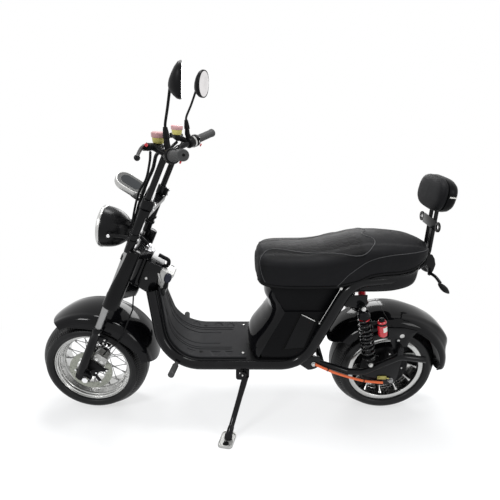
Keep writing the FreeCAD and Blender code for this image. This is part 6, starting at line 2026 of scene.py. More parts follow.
@dataclass
class Handlebar:
    """Risers, grips, switch housings, levers, reservoirs, mirrors and looms.

    Places of reservoir, lever and boot are up the fork, forward of it and out to the side.
    """

    make: Builder
    riser_top: float = 1036.0
    riser_y: float = RISER_Y
    riser_w: float = 34.0
    grip_end: tuple[float, float, float] = (-143.0, 361.0, 1232.0)
    grip_length: float = 128.0
    pot: Point = (1078.0, 63.0, 158.0)
    lever: Point = (1062.0, 84.0, 208.0)
    boot: Point = (1112.0, 38.0, 195.0)
    mirror: Point = (-158.0, 250.0, 1438.0)

    def build(self) -> None:
        """Everything that the rider's hands reach."""
        self.risers()
        for part in (self.grips, self.housings, self.levers, self.pots, self.mirrors, self.looms):
            part()

    def spot(self, place: Point, side: int) -> Vector:
        """Place on one side of the fork."""
        u, w, y = place
        return self.make.stance.fork(u, w, side * y)

    def corner(self, side: int) -> Vector:
        """Top of a riser."""
        return self.spot((self.riser_top, self.riser_w, self.riser_y), side)

    def end(self, side: int) -> Vector:
        """Outer end of a grip."""
        return Vector((self.grip_end[0], side * self.grip_end[1], self.grip_end[2]))

    def out(self, side: int) -> Vector:
        """Direction out along a grip."""
        return (self.end(side) - self.corner(side)).normalized()

    def risers(self) -> None:
        """Tall risers that bend into the swept bar, joined by a cross bar."""
        stance = self.make.stance
        shape = Shape()
        for side in SIDES:
            foot = stance.fork(826.5, self.riser_w, side * self.riser_y)
            corner = self.corner(side)
            shape.rod(foot, corner, 12.0, 0.5, 40)
            shape.ball(corner, (12.0, 12.0, 12.0))
            shape.rod(corner, self.end(side), 11.0, 0.5, 32)
        shape.rod(self.corner(-1), self.corner(1), 11.0, 0.5, 32)
        self.make.piece("bar_and_risers", shape, Body.STEERING, Finishes.paint, ["handlebar"],
                        sharp=50.0)

    def grips(self) -> None:
        """Grips with ribs along them, flanges and end plugs, with painted shade in each end's hole."""
        shape = Shape()
        for side in SIDES:
            out = self.out(side)
            across, up = square_axes(out)
            end = self.end(side)
            start = end - out * self.grip_length
            rings = []
            profile = [(0.0, 20.0), (5.0, 20.2), (6.5, 17.4)]
            profile += [(10.0 + 4.0 * k, 17.2 if k % 2 else 16.4) for k in range(27)]
            profile += [(119.0, 17.6), (124.0, 18.2), (130.0, 17.8), (132.5, 15.5)]
            for along, radius in profile:
                ring = []
                for k in range(48):
                    turn = 2 * math.pi * k / 48
                    flute = 0.5 if k % 4 < 2 and 8.0 < along < 118.0 else 0.0
                    ring.append(start + out * along
                                + (across * math.cos(turn) + up * math.sin(turn)) * (radius - flute))
                rings.append(ring)
            shape.loft(rings)
            # A near-black disc on the end paints the shade in the plug's hole
            shape.mark = 1
            shape.rod(end + out * 4.0, end + out * 5.4, 4.5, 0.5)
            shape.mark = 0
        self.make.piece("ribbed_grips", shape, Body.STEERING, [Finishes.grip, Finishes.painted_shade],
                        ["grips"], sharp=28.0)

    def housings(self) -> None:
        """Round switch housings, master cylinders and mirror seats."""
        stance = self.make.stance
        shape = Shape()
        detail = Shape()
        for side in SIDES:
            out = self.out(side)
            end = self.end(side)
            inner = end - out * (self.grip_length + 66.0)
            outer = end - out * (self.grip_length + 4.0)
            shape.rod(inner, inner + out * 30.0, 21.0, 3.0, 48)
            shape.rod(inner + out * 31.0, outer, 26.0, 5.0, 48)
            shape.box(inner + out * 46.0 - stance.ahead_fork * 14.0 + Z_AXIS * 8.0,
                      (24.0, 26.0, 34.0), Matrix.Rotation(math.radians(25.0), 3, "Y"))
            pot = self.spot(self.pot, side)
            root = self.spot(self.lever, side)
            low = pot - Z_AXIS * 12.0
            shape.rod(low - (root - low).normalized() * 14.0, root, 12.5, 2.0, 32)
            shape.rod(inner + out * 18.0, (low + root) * 0.5, 12.0, 1.0)
            boot = self.spot(self.boot, side)
            seat = boot - Z_AXIS * 16.0
            shape.tube([inner + out * 18.0, seat - Z_AXIS * 4.0, seat + Z_AXIS * 6.0,
                        boot - Z_AXIS * 0.3], [12.0, 11.0, 10.0, 9.5], 24)
            shape.box(root - Z_AXIS * 2.0, (26.0, 24.0, 20.0))
            # Bright screws, red adjusters and switch buttons
            detail.mark = 0
            for along in (8.0, 24.0):
                spot = inner + out * along + stance.ahead_fork * 20.0
                detail.rod(spot, spot + stance.ahead_fork * 4.0, 3.6, 1.0)
            spot = inner + out * 38.0 - stance.ahead_fork * 22.0 + Z_AXIS * 12.0
            detail.rod(spot, spot - stance.ahead_fork * 10.0, 5.0, 1.4)
            detail.lathe([(30.0, 21.6), (31.0, 24.4), (33.0, 26.4), (34.0, 26.4), (32.0, 22.0)],
                         inner, out, 48, True)
            detail.mark = 1
            detail.rod(root + out * 8.0 + stance.ahead_fork * 8.0,
                       root + out * 38.0 + stance.ahead_fork * 10.0, 5.5, 1.0)
            spot = inner + out * 50.0 - stance.ahead_fork * 26.0 - Z_AXIS * 6.0
            detail.rod(spot, spot - stance.ahead_fork * 6.0, 6.5, 1.4)
        self.make.piece("switch_housings", shape, Body.STEERING, Finishes.satin, ["control_clamps"],
                        bevel=1.6, sharp=40.0)
        self.make.piece("switch_details", detail, Body.STEERING, [Finishes.steel, Finishes.red],
                        sharp=40.0)

    def levers(self) -> None:
        """Curved brake levers, flat at the fingers, with ball ends."""
        stance = self.make.stance
        shape = Shape()
        for side in SIDES:
            root = self.spot(self.lever, side)
            bends = ((1060.0, 90.0, 246.0), (1055.0, 83.0, 300.0), (1051.0, 73.0, 346.0))
            path = flowing([root] + [self.spot(place, side) for place in bends], 10)
            rings = []
            for index, point in enumerate(path):
                share = index / (len(path) - 1)
                wide = 8.5 - 2.5 * share
                thick = 6.2 - 0.8 * share
                ahead = (path[min(index + 1, len(path) - 1)] - path[max(index - 1, 0)]).normalized()
                up = (stance.up_fork - ahead * stance.up_fork.dot(ahead)).normalized()
                across = ahead.cross(up)
                rings.append([point + up * wide * high + across * thick * low
                              for low, high in (squared(a, 0.7) for a in turns(20))])
            shape.loft(rings)
            shape.ball(self.spot((1051.0, 72.0, 351.0), side), (9.5, 9.5, 9.5))
            shape.rod(root - stance.up_fork * 12.0, root + stance.up_fork * 12.0, 8.0, 1.0)
        self.make.piece("ball_levers", shape, Body.STEERING, Finishes.fork_black, ["levers"],
                        sharp=50.0)

    def pots(self) -> None:
        """Brake fluid reservoirs: yellow-green bodies under pinkish caps."""
        shape = Shape()
        for side in SIDES:
            foot = self.spot(self.pot, side)
            tilt = (Z_AXIS + X_AXIS * 0.06).normalized()
            shape.mark = 0
            shape.lathe([(0.0, 0.0), (0.0, 17.0), (3.0, 19.5), (10.0, 21.0), (20.0, 22.0), (20.0, 0.0)],
                        foot, tilt, 48, False)
            shape.mark = 1
            shape.lathe([(20.0, 0.0), (20.0, 23.4), (22.0, 24.4), (33.0, 24.8), (36.5, 23.0), (38.0, 20.0),
                         (38.0, 0.0)], foot, tilt, 48, False)
        self.make.piece("fluid_pots", shape, Body.STEERING, [Finishes.pot, Finishes.cap],
                        ["reservoirs"], sharp=40.0)

    def mirrors(self) -> None:
        """Mirrors: rubber boots, bent stems, deep shells and oval glasses."""
        shape = Shape()
        for side in SIDES:
            boot = self.spot(self.boot, side)
            neck = boot + Z_AXIS * 36.0 - X_AXIS * 2.0
            shape.mark = 1
            rings = []
            for k in range(13):
                share = k / 12
                radius = 11.5 - 4.5 * share ** 1.4 + (0.7 if k % 2 else 0.0)
                middle = boot.lerp(neck, share)
                rings.append([middle + Vector((math.cos(a), math.sin(a), 0.0)) * radius
                              for a in turns(28)])
            shape.loft(rings)
            shape.mark = 0
            centre = Vector((self.mirror[0], side * self.mirror[1], self.mirror[2]))
            yaw = math.radians(MIRROR_YAW[side])
            look = Vector((math.cos(yaw), -side * math.sin(yaw), -0.08)).normalized()
            across = look.cross(Z_AXIS).normalized()
            up = across.cross(look).normalized()
            joint = centre - look * 33.0 - up * 22.0
            shape.tube(flowing([neck - Z_AXIS * 6.0, neck + Vector((2.0, side * 2.0, 14.0)),
                                neck.lerp(joint, 0.5), joint], 8), 4.6, 14)
            rings = []
            for depth, wide, tall, drop in MIRROR_RINGS:
                middle = centre - look * depth - up * drop
                rings.append([middle + across * wide * low + up * tall * high
                              for low, high in (squared(a, 0.85) for a in turns(48))])
            shape.loft(rings)
            shape.mark = 2
            face = centre + look * 1.5
            shape.slab([face + across * 43.0 * math.cos(a) + up * 50.0 * math.sin(a)
                        for a in turns(64)], look * 0.6)
        self.make.piece("mirror_set", shape, Body.STEERING,
                        [Finishes.satin, Finishes.hose, Finishes.glass], ["mirrors"], sharp=35.0)

    def looms(self) -> None:
        """Cables held along the risers, from the controls to the lamp and the neck."""
        shape = Shape()
        for side, radius, path in LOOMS:
            shape.tube(flowing([self.spot(place, side) for place in path]), radius, 12)
        self.make.piece("control_looms", shape, Body.STEERING, Finishes.hose, sharp=60.0)


# Where the canister's label faces, in degrees from the rear towards the outside
LABEL_TURN = 52.0


@dataclass
class TailEnd:
    """Swingarm, shocks, stays, axle hardware, backrest and indicators."""

    make: Builder
    arm_y: float = 140.0
    shock_y: float = 146.0
    shock_top: tuple[float, float] = (502.0, 603.0)
    shock_foot: tuple[float, float] = (562.0, 330.0)
    pivot: tuple[float, float] = (318.0, 335.0)
    coil_radius: float = 25.0
    coil_turns: int = 9
    canister_y: float = 163.0
    post_y: float = 22.0
    bracket_y: float = 30.0
    strap_x: float = 774.7
    strap_z: float = 921.0
    strap_depth: float = 5.0
    pad_place: tuple[float, float, float] = (789.0, 0.0, 1040.0)
    pad_tilt: float = 8.0
    hole: tuple[float, float] = (696.0, 444.0)
    hole_radius: float = 11.0

    def build(self) -> None:
        """Everything behind the battery case."""
        self.arms()
        self.shocks()
        self.canisters()
        self.stays()
        self.hardware()
        self.backrest()
        self.pad()
        self.indicators()

    def arms(self) -> None:
        """Bent swingarm tubes with welded axle plates and pivot eyes."""
        shape = Shape()
        for side in SIDES:
            y = side * self.arm_y
            path = arc_path([(self.pivot[0], y, self.pivot[1]), (470.0, y, 280.0), (545.0, y, 278.0),
                             (690.0, y, 358.0), (800.0, y, 342.0)], [60.0, 80.0, 60.0], 10)
            shape.tube(path, 14.0, 32)
            shape.rod((self.pivot[0], y - 15.0, self.pivot[1]), (self.pivot[0], y + 15.0, self.pivot[1]),
                      21.0, 2.0, 40)
            plate = ((505.0, 284.0), (560.0, 292.0), (620.0, 324.0), (672.0, 352.0), (700.0, 352.0),
                     (694.0, 300.0), (690.0, 250.0), (680.0, 224.0), (662.0, 212.0), (640.0, 212.0),
                     (600.0, 228.0), (556.0, 256.0))
            shape.plate(plate, y - 5.0, 10.0)
        shape.rod((356.0, -self.arm_y, 322.0), (356.0, self.arm_y, 322.0), 13.0)
        self.make.piece("swingarm_tubes", shape, Body.FRAME, Finishes.paint, ["swingarm"], bevel=1.6,
                        sharp=40.0)

    def shocks(self) -> None:
        """Dampers with cups and collars, and real coils around them."""
        body = Shape()
        coil = Shape()
        bright = Shape()
        for side in SIDES:
            y = side * self.shock_y
            top = Vector((self.shock_top[0], y, self.shock_top[1]))
            foot = Vector((self.shock_foot[0], y, self.shock_foot[1]))
            line = (foot - top).normalized()
            length = (foot - top).length
            body.mark = 0
            for place in (top, foot):
                body.rod(place - Y_AXIS * 13.0, place + Y_AXIS * 13.0, 14.0, 2.0, 36)
            outline = [(12.0, 0.0), (12.0, 13.0), (18.0, 21.0), (30.0, 22.0), (34.0, 25.0), (46.0, 26.0),
                       (48.0, 24.0), (52.0, 17.0), (120.0, 15.5), (126.0, 12.0), (length - 40.0, 12.0),
                       (length - 38.0, 24.0), (length - 34.0, 27.5), (length - 28.0, 27.5),
                       (length - 24.0, 20.0), (length - 16.0, 15.0), (length - 12.0, 0.0)]
            body.lathe(outline, top, line, 40, False)
            body.mark = 1
            body.lathe([(53.0, 17.5), (53.5, 21.5), (58.0, 21.5), (58.5, 17.5)], top, line, 40, True)
            start = 54.0
            end = length - 40.0
            across, up = square_axes(line)
            path = []
            steps = self.coil_turns * 28
            for k in range(steps + 1):
                share = k / steps
                lift = share + 0.035 * math.sin(2 * math.pi * share)
                turn = 2 * math.pi * self.coil_turns * share
                path.append(top + line * (start + (end - start) * lift)
                            + (across * math.cos(turn) + up * math.sin(turn)) * self.coil_radius)
            coil.tube(path, 4.4, 12)
            for place in (top, foot):
                face = place + Y_AXIS * side * 13.4
                bright.rod(face, face + Y_AXIS * side * 3.0, 9.5, 1.0, 32)
                bright.nut(face + Y_AXIS * side * 3.0, Y_AXIS * side, 8.0, 5.0)
        self.make.piece("damper_bodies", body, Body.FRAME, [Finishes.fork_black, Finishes.red],
                        ["shock_dampers"], sharp=40.0)
        self.make.piece("damper_coils", coil, Body.FRAME, Finishes.coil, ["shock_springs"], sharp=70.0)
        self.make.piece("damper_bolts", bright, Body.FRAME, Finishes.steel, sharp=40.0)

    def canisters(self) -> None:
        """Red gas canisters with black caps, straps and blank pale labels."""
        shape = Shape()
        for side in SIDES:
            top = Vector((580.0, side * self.canister_y, 550.0))
            foot = Vector((594.0, side * self.canister_y, 480.0))
            line = (foot - top).normalized()
            length = (foot - top).length
            shape.mark = 0
            outline = [(0.0, 0.0), (0.0, 14.0), (2.0, 17.0), (5.0, 18.6), (16.0, 18.6), (17.0, 17.6),
                       (19.0, 17.6), (20.0, 18.6), (length - 8.0, 18.6), (length - 3.0, 17.5),
                       (length, 14.0), (length, 0.0)]
            shape.lathe(outline, top, line, 48, False)
            shape.mark = 1
            shape.rod(top - line * 10.0, top + line * 1.0, 12.0, 2.0, 32)
            strap = flowing([(534.0, side * 150.0, 532.0), (552.0, side * 156.0, 538.0),
                             (566.0, side * 160.0, 540.0)], 6)
            shape.tube(strap, 6.0, 14)
            shape.lathe([(7.0, 18.7), (7.0, 20.6), (15.0, 20.6), (15.0, 18.7)], top, line, 48, True)
            shape.mark = 2
            rows = []
            for along in (24.0, 34.0, 46.0):
                row = []
                for k in range(17):
                    turn = math.radians(LABEL_TURN - 42.0 + 84.0 * k / 16)
                    out = X_AXIS * math.cos(turn) + Y_AXIS * side * math.sin(turn)
                    out = (out - line * out.dot(line)).normalized()
                    row.append(top + line * along + out * 18.8)
                rows.append(row)
            shape.grid(rows)
        self.make.piece("gas_canisters", shape, Body.FRAME,
                        [Finishes.red, Finishes.satin, Finishes.label], ["shock_canisters"], sharp=40.0)

    def stays(self) -> None:
        """Plates and stubs that hang the rear fender on the arms."""
        shape = Shape()
        bright = Shape()
        for side in SIDES:
            outer = side * 114.0
            outline = ((628.0, 486.0), (700.0, 484.0), (758.0, 470.0), (738.0, 440.0), (728.0, 408.0),
                       (722.0, 372.0), (672.0, 352.0), (658.0, 400.0), (640.0, 440.0))
            self.pierced(shape, outline, outer - 3.0, outer + 3.0)
            shape.rod((688.0, side * 116.0, 402.0), (688.0, side * 150.0, 402.0), 9.0, 2.0, 32)
            shape.plate(((676.0, 404.0), (700.0, 404.0), (700.0, 352.0), (676.0, 352.0)),
                        side * self.arm_y - 6.0, 12.0)
            face = Vector((681.0, side * 117.0, 425.0))
            bright.rod(face, face + Y_AXIS * side * 4.0, 6.0, 1.6)
            face = Vector((self.hole[0], side * 112.0, self.hole[1]))
            bright.rod(face, face + Y_AXIS * side * 3.0, 10.6, 1.0, 32)
        self.make.piece("stay_plates", shape, Body.FRAME, Finishes.paint, ["fender_stays"], bevel=1.0,
                        sharp=40.0)
        self.make.piece("stay_bolts", bright, Body.FRAME, Finishes.steel)

    def pierced(self, shape: Shape, outline: Outline, low: float, high: float) -> None:
        """Add a flat plate with a round hole through it."""
        middle_x, middle_z = self.hole
        dense = []
        for (x0, z0), (x1, z1) in zip(outline, outline[1:] + outline[:1]):
            dense += [(x0 + (x1 - x0) * k / 8, z0 + (z1 - z0) * k / 8) for k in range(8)]

        def turn(point: tuple[float, float]) -> float:
            return math.atan2(point[1] - middle_z, point[0] - middle_x)

        dense.sort(key=turn)
        inner = [(middle_x + self.hole_radius * math.cos(turn(point)),
                  middle_z + self.hole_radius * math.sin(turn(point))) for point in dense]
        rows = [[Vector((x, y, z)) for x, z in ring]
                for y, ring in ((low, inner), (low, dense), (high, dense), (high, inner))]
        shape.grid(rows, True, True)

    def hardware(self) -> None:
        """Axle nuts, adjusters, the orange motor cable and its clips."""
        stance = self.make.stance
        bright = Shape()
        zinc = Shape()
        cable = Shape()
        centre = stance.axle_rear
        for side in SIDES:
            face = centre + Y_AXIS * side * 146.0
            bright.rod(face - Y_AXIS * side * 30.0, face + Y_AXIS * side * 12.0, 6.8, 1.0)
            bright.rod(face, face + Y_AXIS * side * 2.0, 12.0, 0.6, 32)
            bright.nut(face + Y_AXIS * side * 2.0, Y_AXIS * side, 10.5, 8.0)
            y = side * (self.arm_y + 5.4)
            zinc.box((622.0, y + side * 2.5, 254.0), (38.0, 5.0, 18.0))
            zinc.nut(Vector((612.0, y + side * 5.0, 254.0)), Y_AXIS * side, 6.0, 4.0)
            zinc.rod((640.0, y + side * 5.0, 254.0), (654.0, y + side * 5.0, 250.0), 3.0)
        path = flowing([(324.0, -168.0, 338.0), (366.0, -165.0, 314.0), (416.0, -162.0, 289.0),
                        (500.0, -157.0, 255.0), (560.0, -154.0, 238.0), (628.0, -153.3, 231.0)], 7)
        cable.tube(path, 5.6, 16)
        cable.mark = 1
        for index in (9, 26):
            spot = path[index]
            ahead = (path[index + 1] - path[index - 1]).normalized()
            cable.rod(spot - ahead * 2.5, spot + ahead * 2.5, 6.8, 0.8)
        self.make.piece("rear_axle_nuts", bright, Body.FRAME, Finishes.stanchion, ["rear_axle"],
                        bevel=0.8, sharp=40.0)
        self.make.piece("axle_tensioners", zinc, Body.FRAME, Finishes.zinc, ["axle_adjusters"],
                        bevel=0.8)
        self.make.piece("motor_lead", cable, Body.FRAME, [Finishes.orange, Finishes.satin],
                        ["motor_cable"], sharp=50.0)

    def backrest(self) -> None:
        """Twin posts on a web, the eyed strap before them and the bracket below."""
        shape = Shape()
        for side in SIDES:
            post = [(x, side * self.post_y, z) for x, z in
                    ((700.0, 712.0), (748.0, 714.0), (780.0, 744.0), (788.0, 800.0), (788.0, 1000.0))]
            shape.tube(arc_path(post, [24.0, 40.0, 60.0], 8), 8.0, 20)
        web = ((-20.0, 790.0), (20.0, 790.0), (20.0, 900.0), (9.0, 906.0), (0.0, 890.0), (-9.0, 906.0),
               (-20.0, 900.0))
        shape.slab([Vector((785.5, y, z)) for y, z in web], X_AXIS * 5.0)
        shape.rod((640.0, -74.0, 712.0), (640.0, 74.0, 712.0), 13.0)
        shape.box((678.0, 0.0, 712.0), (80.0, 52.0, 10.0))
        bracket = ((776.0, 792.0), (800.0, 786.0), (812.0, 768.0), (820.0, 742.0), (816.0, 716.0),
                   (806.0, 690.0), (796.0, 694.0), (792.0, 722.0), (780.0, 748.0))
        for side in SIDES:
            y = side * self.bracket_y
            shape.plate(bracket, y - 2.5, 5.0)
            arm = flowing([(802.0, y, 704.0), (814.0, side * 62.0, 700.0),
                           (824.0, side * 92.0, 686.0)], 8)
            shape.tube(arm, 6.5, 16)
        for x, z in ((804.0, 716.0), (796.0, 770.0)):
            shape.rod((x, -self.bracket_y, z), (x, self.bracket_y, z), 7.0)
        self.strap(shape)
        self.make.piece("backrest_posts", shape, Body.FRAME, Finishes.paint, ["backrest_frame"],
                        bevel=1.0, sharp=40.0)

    def strap(self, shape: Shape) -> None:
        """Add the flat strap with an eye at each end."""
        depth = X_AXIS * self.strap_depth
        for side in SIDES:
            centre = Vector((self.strap_x, side * 76.0, self.strap_z))
            for k in range(40):
                first, last = (-math.pi / 2 + 2 * math.pi * at / 40 for at in (k, k + 1))
                corners = [centre + Y_AXIS * radius * math.cos(turn) + Z_AXIS * radius * math.sin(turn)
                           for turn, radius in ((first, 9.5), (first, 19.9), (last, 19.9), (last, 9.5))]
                shape.add(corners + [p + depth for p in corners],
                          [(0, 1, 2, 3), (7, 6, 5, 4), (0, 4, 5, 1), (2, 6, 7, 3)])
        middle = ((-58.0, -20.0), (58.0, -20.0), (58.0, 20.0), (-58.0, 20.0))
        shape.slab([Vector((self.strap_x, y, z + self.strap_z)) for y, z in middle], depth)

    def pad(self) -> None:
        """Backrest cushion, the moulded shell behind it and a pale tag at each side."""
        turn = Matrix.Rotation(math.radians(self.pad_tilt), 3, "Y")
        origin = Vector(self.pad_place)

        def ring(forward: float, half: float, high: float) -> list[Vector]:
            return [origin + turn @ Vector((-forward, half * y, high * z))
                    for y, z in (squared(a, 0.62, 0.74) for a in turns(72))]

        cushion = Shape()
        cushion.loft([ring(12.0, 104.0, 60.0), ring(15.0, 108.0, 63.5), ring(24.0, 109.0, 64.5),
                      ring(32.0, 106.0, 62.0), ring(37.0, 98.0, 55.5), ring(39.5, 84.0, 44.0),
                      ring(41.0, 60.0, 28.0), ring(41.4, 30.0, 12.0)])
        soft = self.make.piece("backrest_cushion", cushion, Body.FRAME, Finishes.saddle,
                               ["backrest_pad"], sharp=80.0)
        shell = Shape()
        shell.loft([ring(13.0, 104.0, 60.0), ring(10.0, 109.0, 65.0), ring(0.0, 110.0, 66.0),
                    ring(-16.0, 107.0, 63.0), ring(-26.0, 99.0, 56.0), ring(-32.0, 84.0, 43.0),
                    ring(-34.0, 60.0, 26.0)])
        shell.mark = 1
        for side in SIDES:
            spot = origin + turn @ Vector((8.0, side * 108.0, 8.0))
            shell.box(spot, (26.0, 5.0, 5.0), turn)
        self.make.piece("backrest_shell", shell, Body.FRAME, [Finishes.case, Finishes.label],
                        sharp=50.0)

    def indicators(self) -> None:
        """Leaf-shaped indicators in satin black at the tray's end."""
        shape = Shape()
        for side in SIDES:
            middle = Vector((836.0, side * 104.0, 668.0))
            turn = Matrix.Rotation(math.radians(42.0), 3, "Y")
            rings = []
            for along, wide, tall in ((-34.0, 3.0, 3.0), (-30.0, 8.0, 6.0), (-20.0, 13.5, 9.5),
                                      (-6.0, 16.5, 12.0), (8.0, 15.5, 12.0), (22.0, 10.5, 8.5),
                                      (32.0, 4.5, 4.0), (35.0, 1.2, 1.2)):
                rings.append([middle + turn @ Vector((along, wide * math.cos(a), tall * math.sin(a)))
                              for a in turns(28)])
            shape.loft(rings)
        self.make.piece("leaf_indicators", shape, Body.FRAME, Finishes.satin, ["rear_indicators"],
                        sharp=60.0)


@dataclass
class FramePlates:
    """Plates, bolts and the side stand: what is welded or hinged to the rails."""

    make: Builder
    stand_pivot: Vector = field(default_factory=lambda: Vector((20.0, -165.0, 280.0)))
    foot_place: tuple[float, float] = (-47.0, -293.0)
    stowed: Vector = field(default_factory=lambda: Vector((0.95, -0.28, -0.12)))
    foot_size: tuple[float, float, float] = (96.0, 62.0, 9.0)
    foot_turn: float = 78.0
    stand_side: Vector = field(default_factory=lambda: Vector((1.0, 0.0, 0.0)))

    def build(self) -> None:
        """Brackets, stand and pegs."""
        self.brackets()
        self.stand()
        self.pegs()

    def upright(self, x: float, y: float, z: float) -> Vector:
        """Parked place back in the upright frame."""
        return self.make.stance.leaned().inverted() @ Vector((x, y, z))

    def stand_axis(self) -> Vector:
        """Hinge line of the stand."""
        down = self.upright(self.foot_place[0], self.foot_place[1], 0.0) - self.stand_pivot
        return down.normalized().cross(self.stowed.normalized()).normalized()

    def brackets(self) -> None:
        """Swingarm and shock plates, and the stand's tab below the left rail."""
        shape = Shape()
        bright = Shape()
        pivot_plate = ((262.0, 330.0), (300.0, 372.0), (340.0, 372.0), (345.0, 366.0), (345.0, 334.0),
                       (338.0, 320.0), (326.0, 311.0), (312.0, 306.0), (296.0, 304.0))
        gusset = ((398.0, 640.0), (470.0, 648.0), (520.0, 650.0), (521.0, 602.0), (514.0, 592.0),
                  (502.0, 588.0), (488.0, 591.0), (404.0, 604.0))
        for side in SIDES:
            shape.plate(pivot_plate, side * 158.3 - 3.0, 6.0)
            centre = Vector((318.0, side * 161.3, 335.0))
            bright.rod(centre, centre + Y_AXIS * side * 2.0, 10.0, 0.6, 32)
            bright.nut(centre + Y_AXIS * side * 2.0, Y_AXIS * side, 8.5, 6.0)
            shape.rod((318.0, side * 100.0, 335.0), centre, 8.0)
            shape.plate(gusset, side * 129.7 - 3.0, 6.0)
            shape.rod((502.0, side * 129.7, 603.0), (502.0, side * 159.0, 603.0), 6.0)
        axis = self.stand_axis()
        pivot = self.stand_pivot
        along = (X_AXIS - axis * X_AXIS.dot(axis)).normalized()
        rise = along.cross(axis).normalized()
        rise = rise if rise.z > 0 else -rise
        tab = ((-36.0, 26.0), (-36.0, -14.0), (-33.0, -20.0), (-27.0, -23.0), (6.0, -23.0),
               (16.0, -19.0), (22.0, -10.0), (23.0, 26.0))
        inward = -axis if axis.y < 0 else axis
        face = pivot + inward * 12.4
        shape.slab([face + along * a + rise * b for a, b in tab], inward * 6.0)
        cheek = pivot - inward * 12.2
        shape.rod(cheek, cheek - inward * 5.0, 14.0, 1.4, 32)
        bright.nut(cheek - inward * 5.0, -inward, 3.6, 2.4)
        head = face + along * -16.0 + rise * 4.0
        bright.rod(head, head - inward * 3.5, 4.6, 1.6, 20)
        shape.rod(pivot - inward * 12.2, pivot + inward * 18.0, 6.8)
        rail = Vector((pivot.x, -145.0, 321.0))
        shape.rod(face + inward * 3.0 + rise * 10.0, rail, 9.0)
        self.make.piece("weld_plates", shape, Body.FRAME, Finishes.paint, ["frame_brackets"],
                        bevel=0.9, sharp=40.0)
        self.make.piece("plate_bolts", bright, Body.FRAME, Finishes.steel, bevel=0.4, sharp=40.0)

    def stand(self) -> None:
        """Stand leg with its eye, and the cast foot that lies on the floor."""
        shape = Shape()
        axis = self.stand_axis()
        pivot = self.stand_pivot
        shape.lathe([(-11.8, 7.2), (-11.8, 13.0), (-10.0, 15.0), (10.0, 15.0), (11.8, 13.0),
                     (11.8, 7.2)], pivot, axis, 40, True)
        foot = self.upright(self.foot_place[0], self.foot_place[1], 0.0)
        top = pivot + self.stand_side * 11.0
        line = (foot - top).normalized()
        reach = (foot - top).length
        outline = [(8.0, 0.0), (8.0, 13.6), (40.0, 13.6), (90.0, 12.0), (reach - 62.0, 11.4),
                   (reach - 60.0, 13.0), (reach - 30.0, 14.4), (reach - 24.0, 16.5),
                   (reach - 12.0, 17.0), (reach - 10.0, 0.0)]
        shape.lathe(outline, top, line, 32, False)
        self.make.piece("stand_leg", shape, Body.STAND, Finishes.paint, ["side_stand"], sharp=40.0)
        cast = Shape()
        length, width, thick = self.foot_size
        corner = 16.0
        turn = math.radians(self.foot_turn)
        ring = []
        for cx, cy, first in ((1, 1, 0.0), (-1, 1, 90.0), (-1, -1, 180.0), (1, -1, 270.0)):
            for k in range(7):
                a = math.radians(first + 15.0 * k)
                ring.append((cx * (length / 2 - corner) + corner * math.cos(a),
                             cy * (width / 2 - corner) + corner * math.sin(a)))

        def placed(scale: float, z: float) -> list[Vector]:
            points = []
            for x, y in ring:
                x, y = x * scale, y * scale
                points.append(self.upright(
                    self.foot_place[0] + x * math.cos(turn) - y * math.sin(turn),
                    self.foot_place[1] + x * math.sin(turn) + y * math.cos(turn), z))
            return points

        cast.loft([placed(0.97, 0.2), placed(1.0, 1.6), placed(1.0, thick), placed(0.97, thick + 3.0),
                   placed(0.88, thick + 3.2), placed(0.84, thick), placed(0.6, thick - 1.0)])
        self.make.piece("stand_foot", cast, Body.STAND, Finishes.caliper, sharp=50.0)
        # A near-black disc paints the shade in the foot's well
        well = Shape()
        centre = self.upright(self.foot_place[0] - 4.0, self.foot_place[1] - 27.0, thick)
        up = self.upright(0.0, 0.0, 1.0) - self.upright(0.0, 0.0, 0.0)
        well.rod(centre - up * 1.0, centre + up * 1.2, 12.5, 0.4, 32)
        self.make.piece("stand_foot_well", well, Body.STAND, Finishes.painted_shade, sharp=40.0)

    def pegs(self) -> None:
        """Ribbed rubber pegs at the front of the floor."""
        shape = Shape()
        for side in SIDES:
            root = Vector((-262.0, side * 149.0, 336.0))
            tip = Vector((-274.0, side * 240.0, 338.0))
            line = (tip - root).normalized()
            reach = (tip - root).length
            outline = [(0.0, 0.0), (0.0, 9.0), (26.0, 9.0), (26.5, 12.5), (29.0, 13.4)]
            for k in range(8):
                at = 31.0 + 6.6 * k
                outline += [(at, 13.0), (at + 0.6, 11.4), (at + 2.2, 11.4), (at + 2.8, 13.0)]
            outline += [(reach - 5.0, 13.4), (reach - 1.5, 12.8), (reach, 10.5), (reach, 0.0)]
            shape.lathe(outline, root, line, 36, False)
        self.make.piece("peg_rubbers", shape, Body.FRAME, Finishes.grip, ["front_pegs"], sharp=40.0)


ASSEMBLIES = (FrontWheel, RearWheel, Fenders, Saddle, Bodywork, ForkEnd, Handlebar, TailEnd,
              FramePlates)


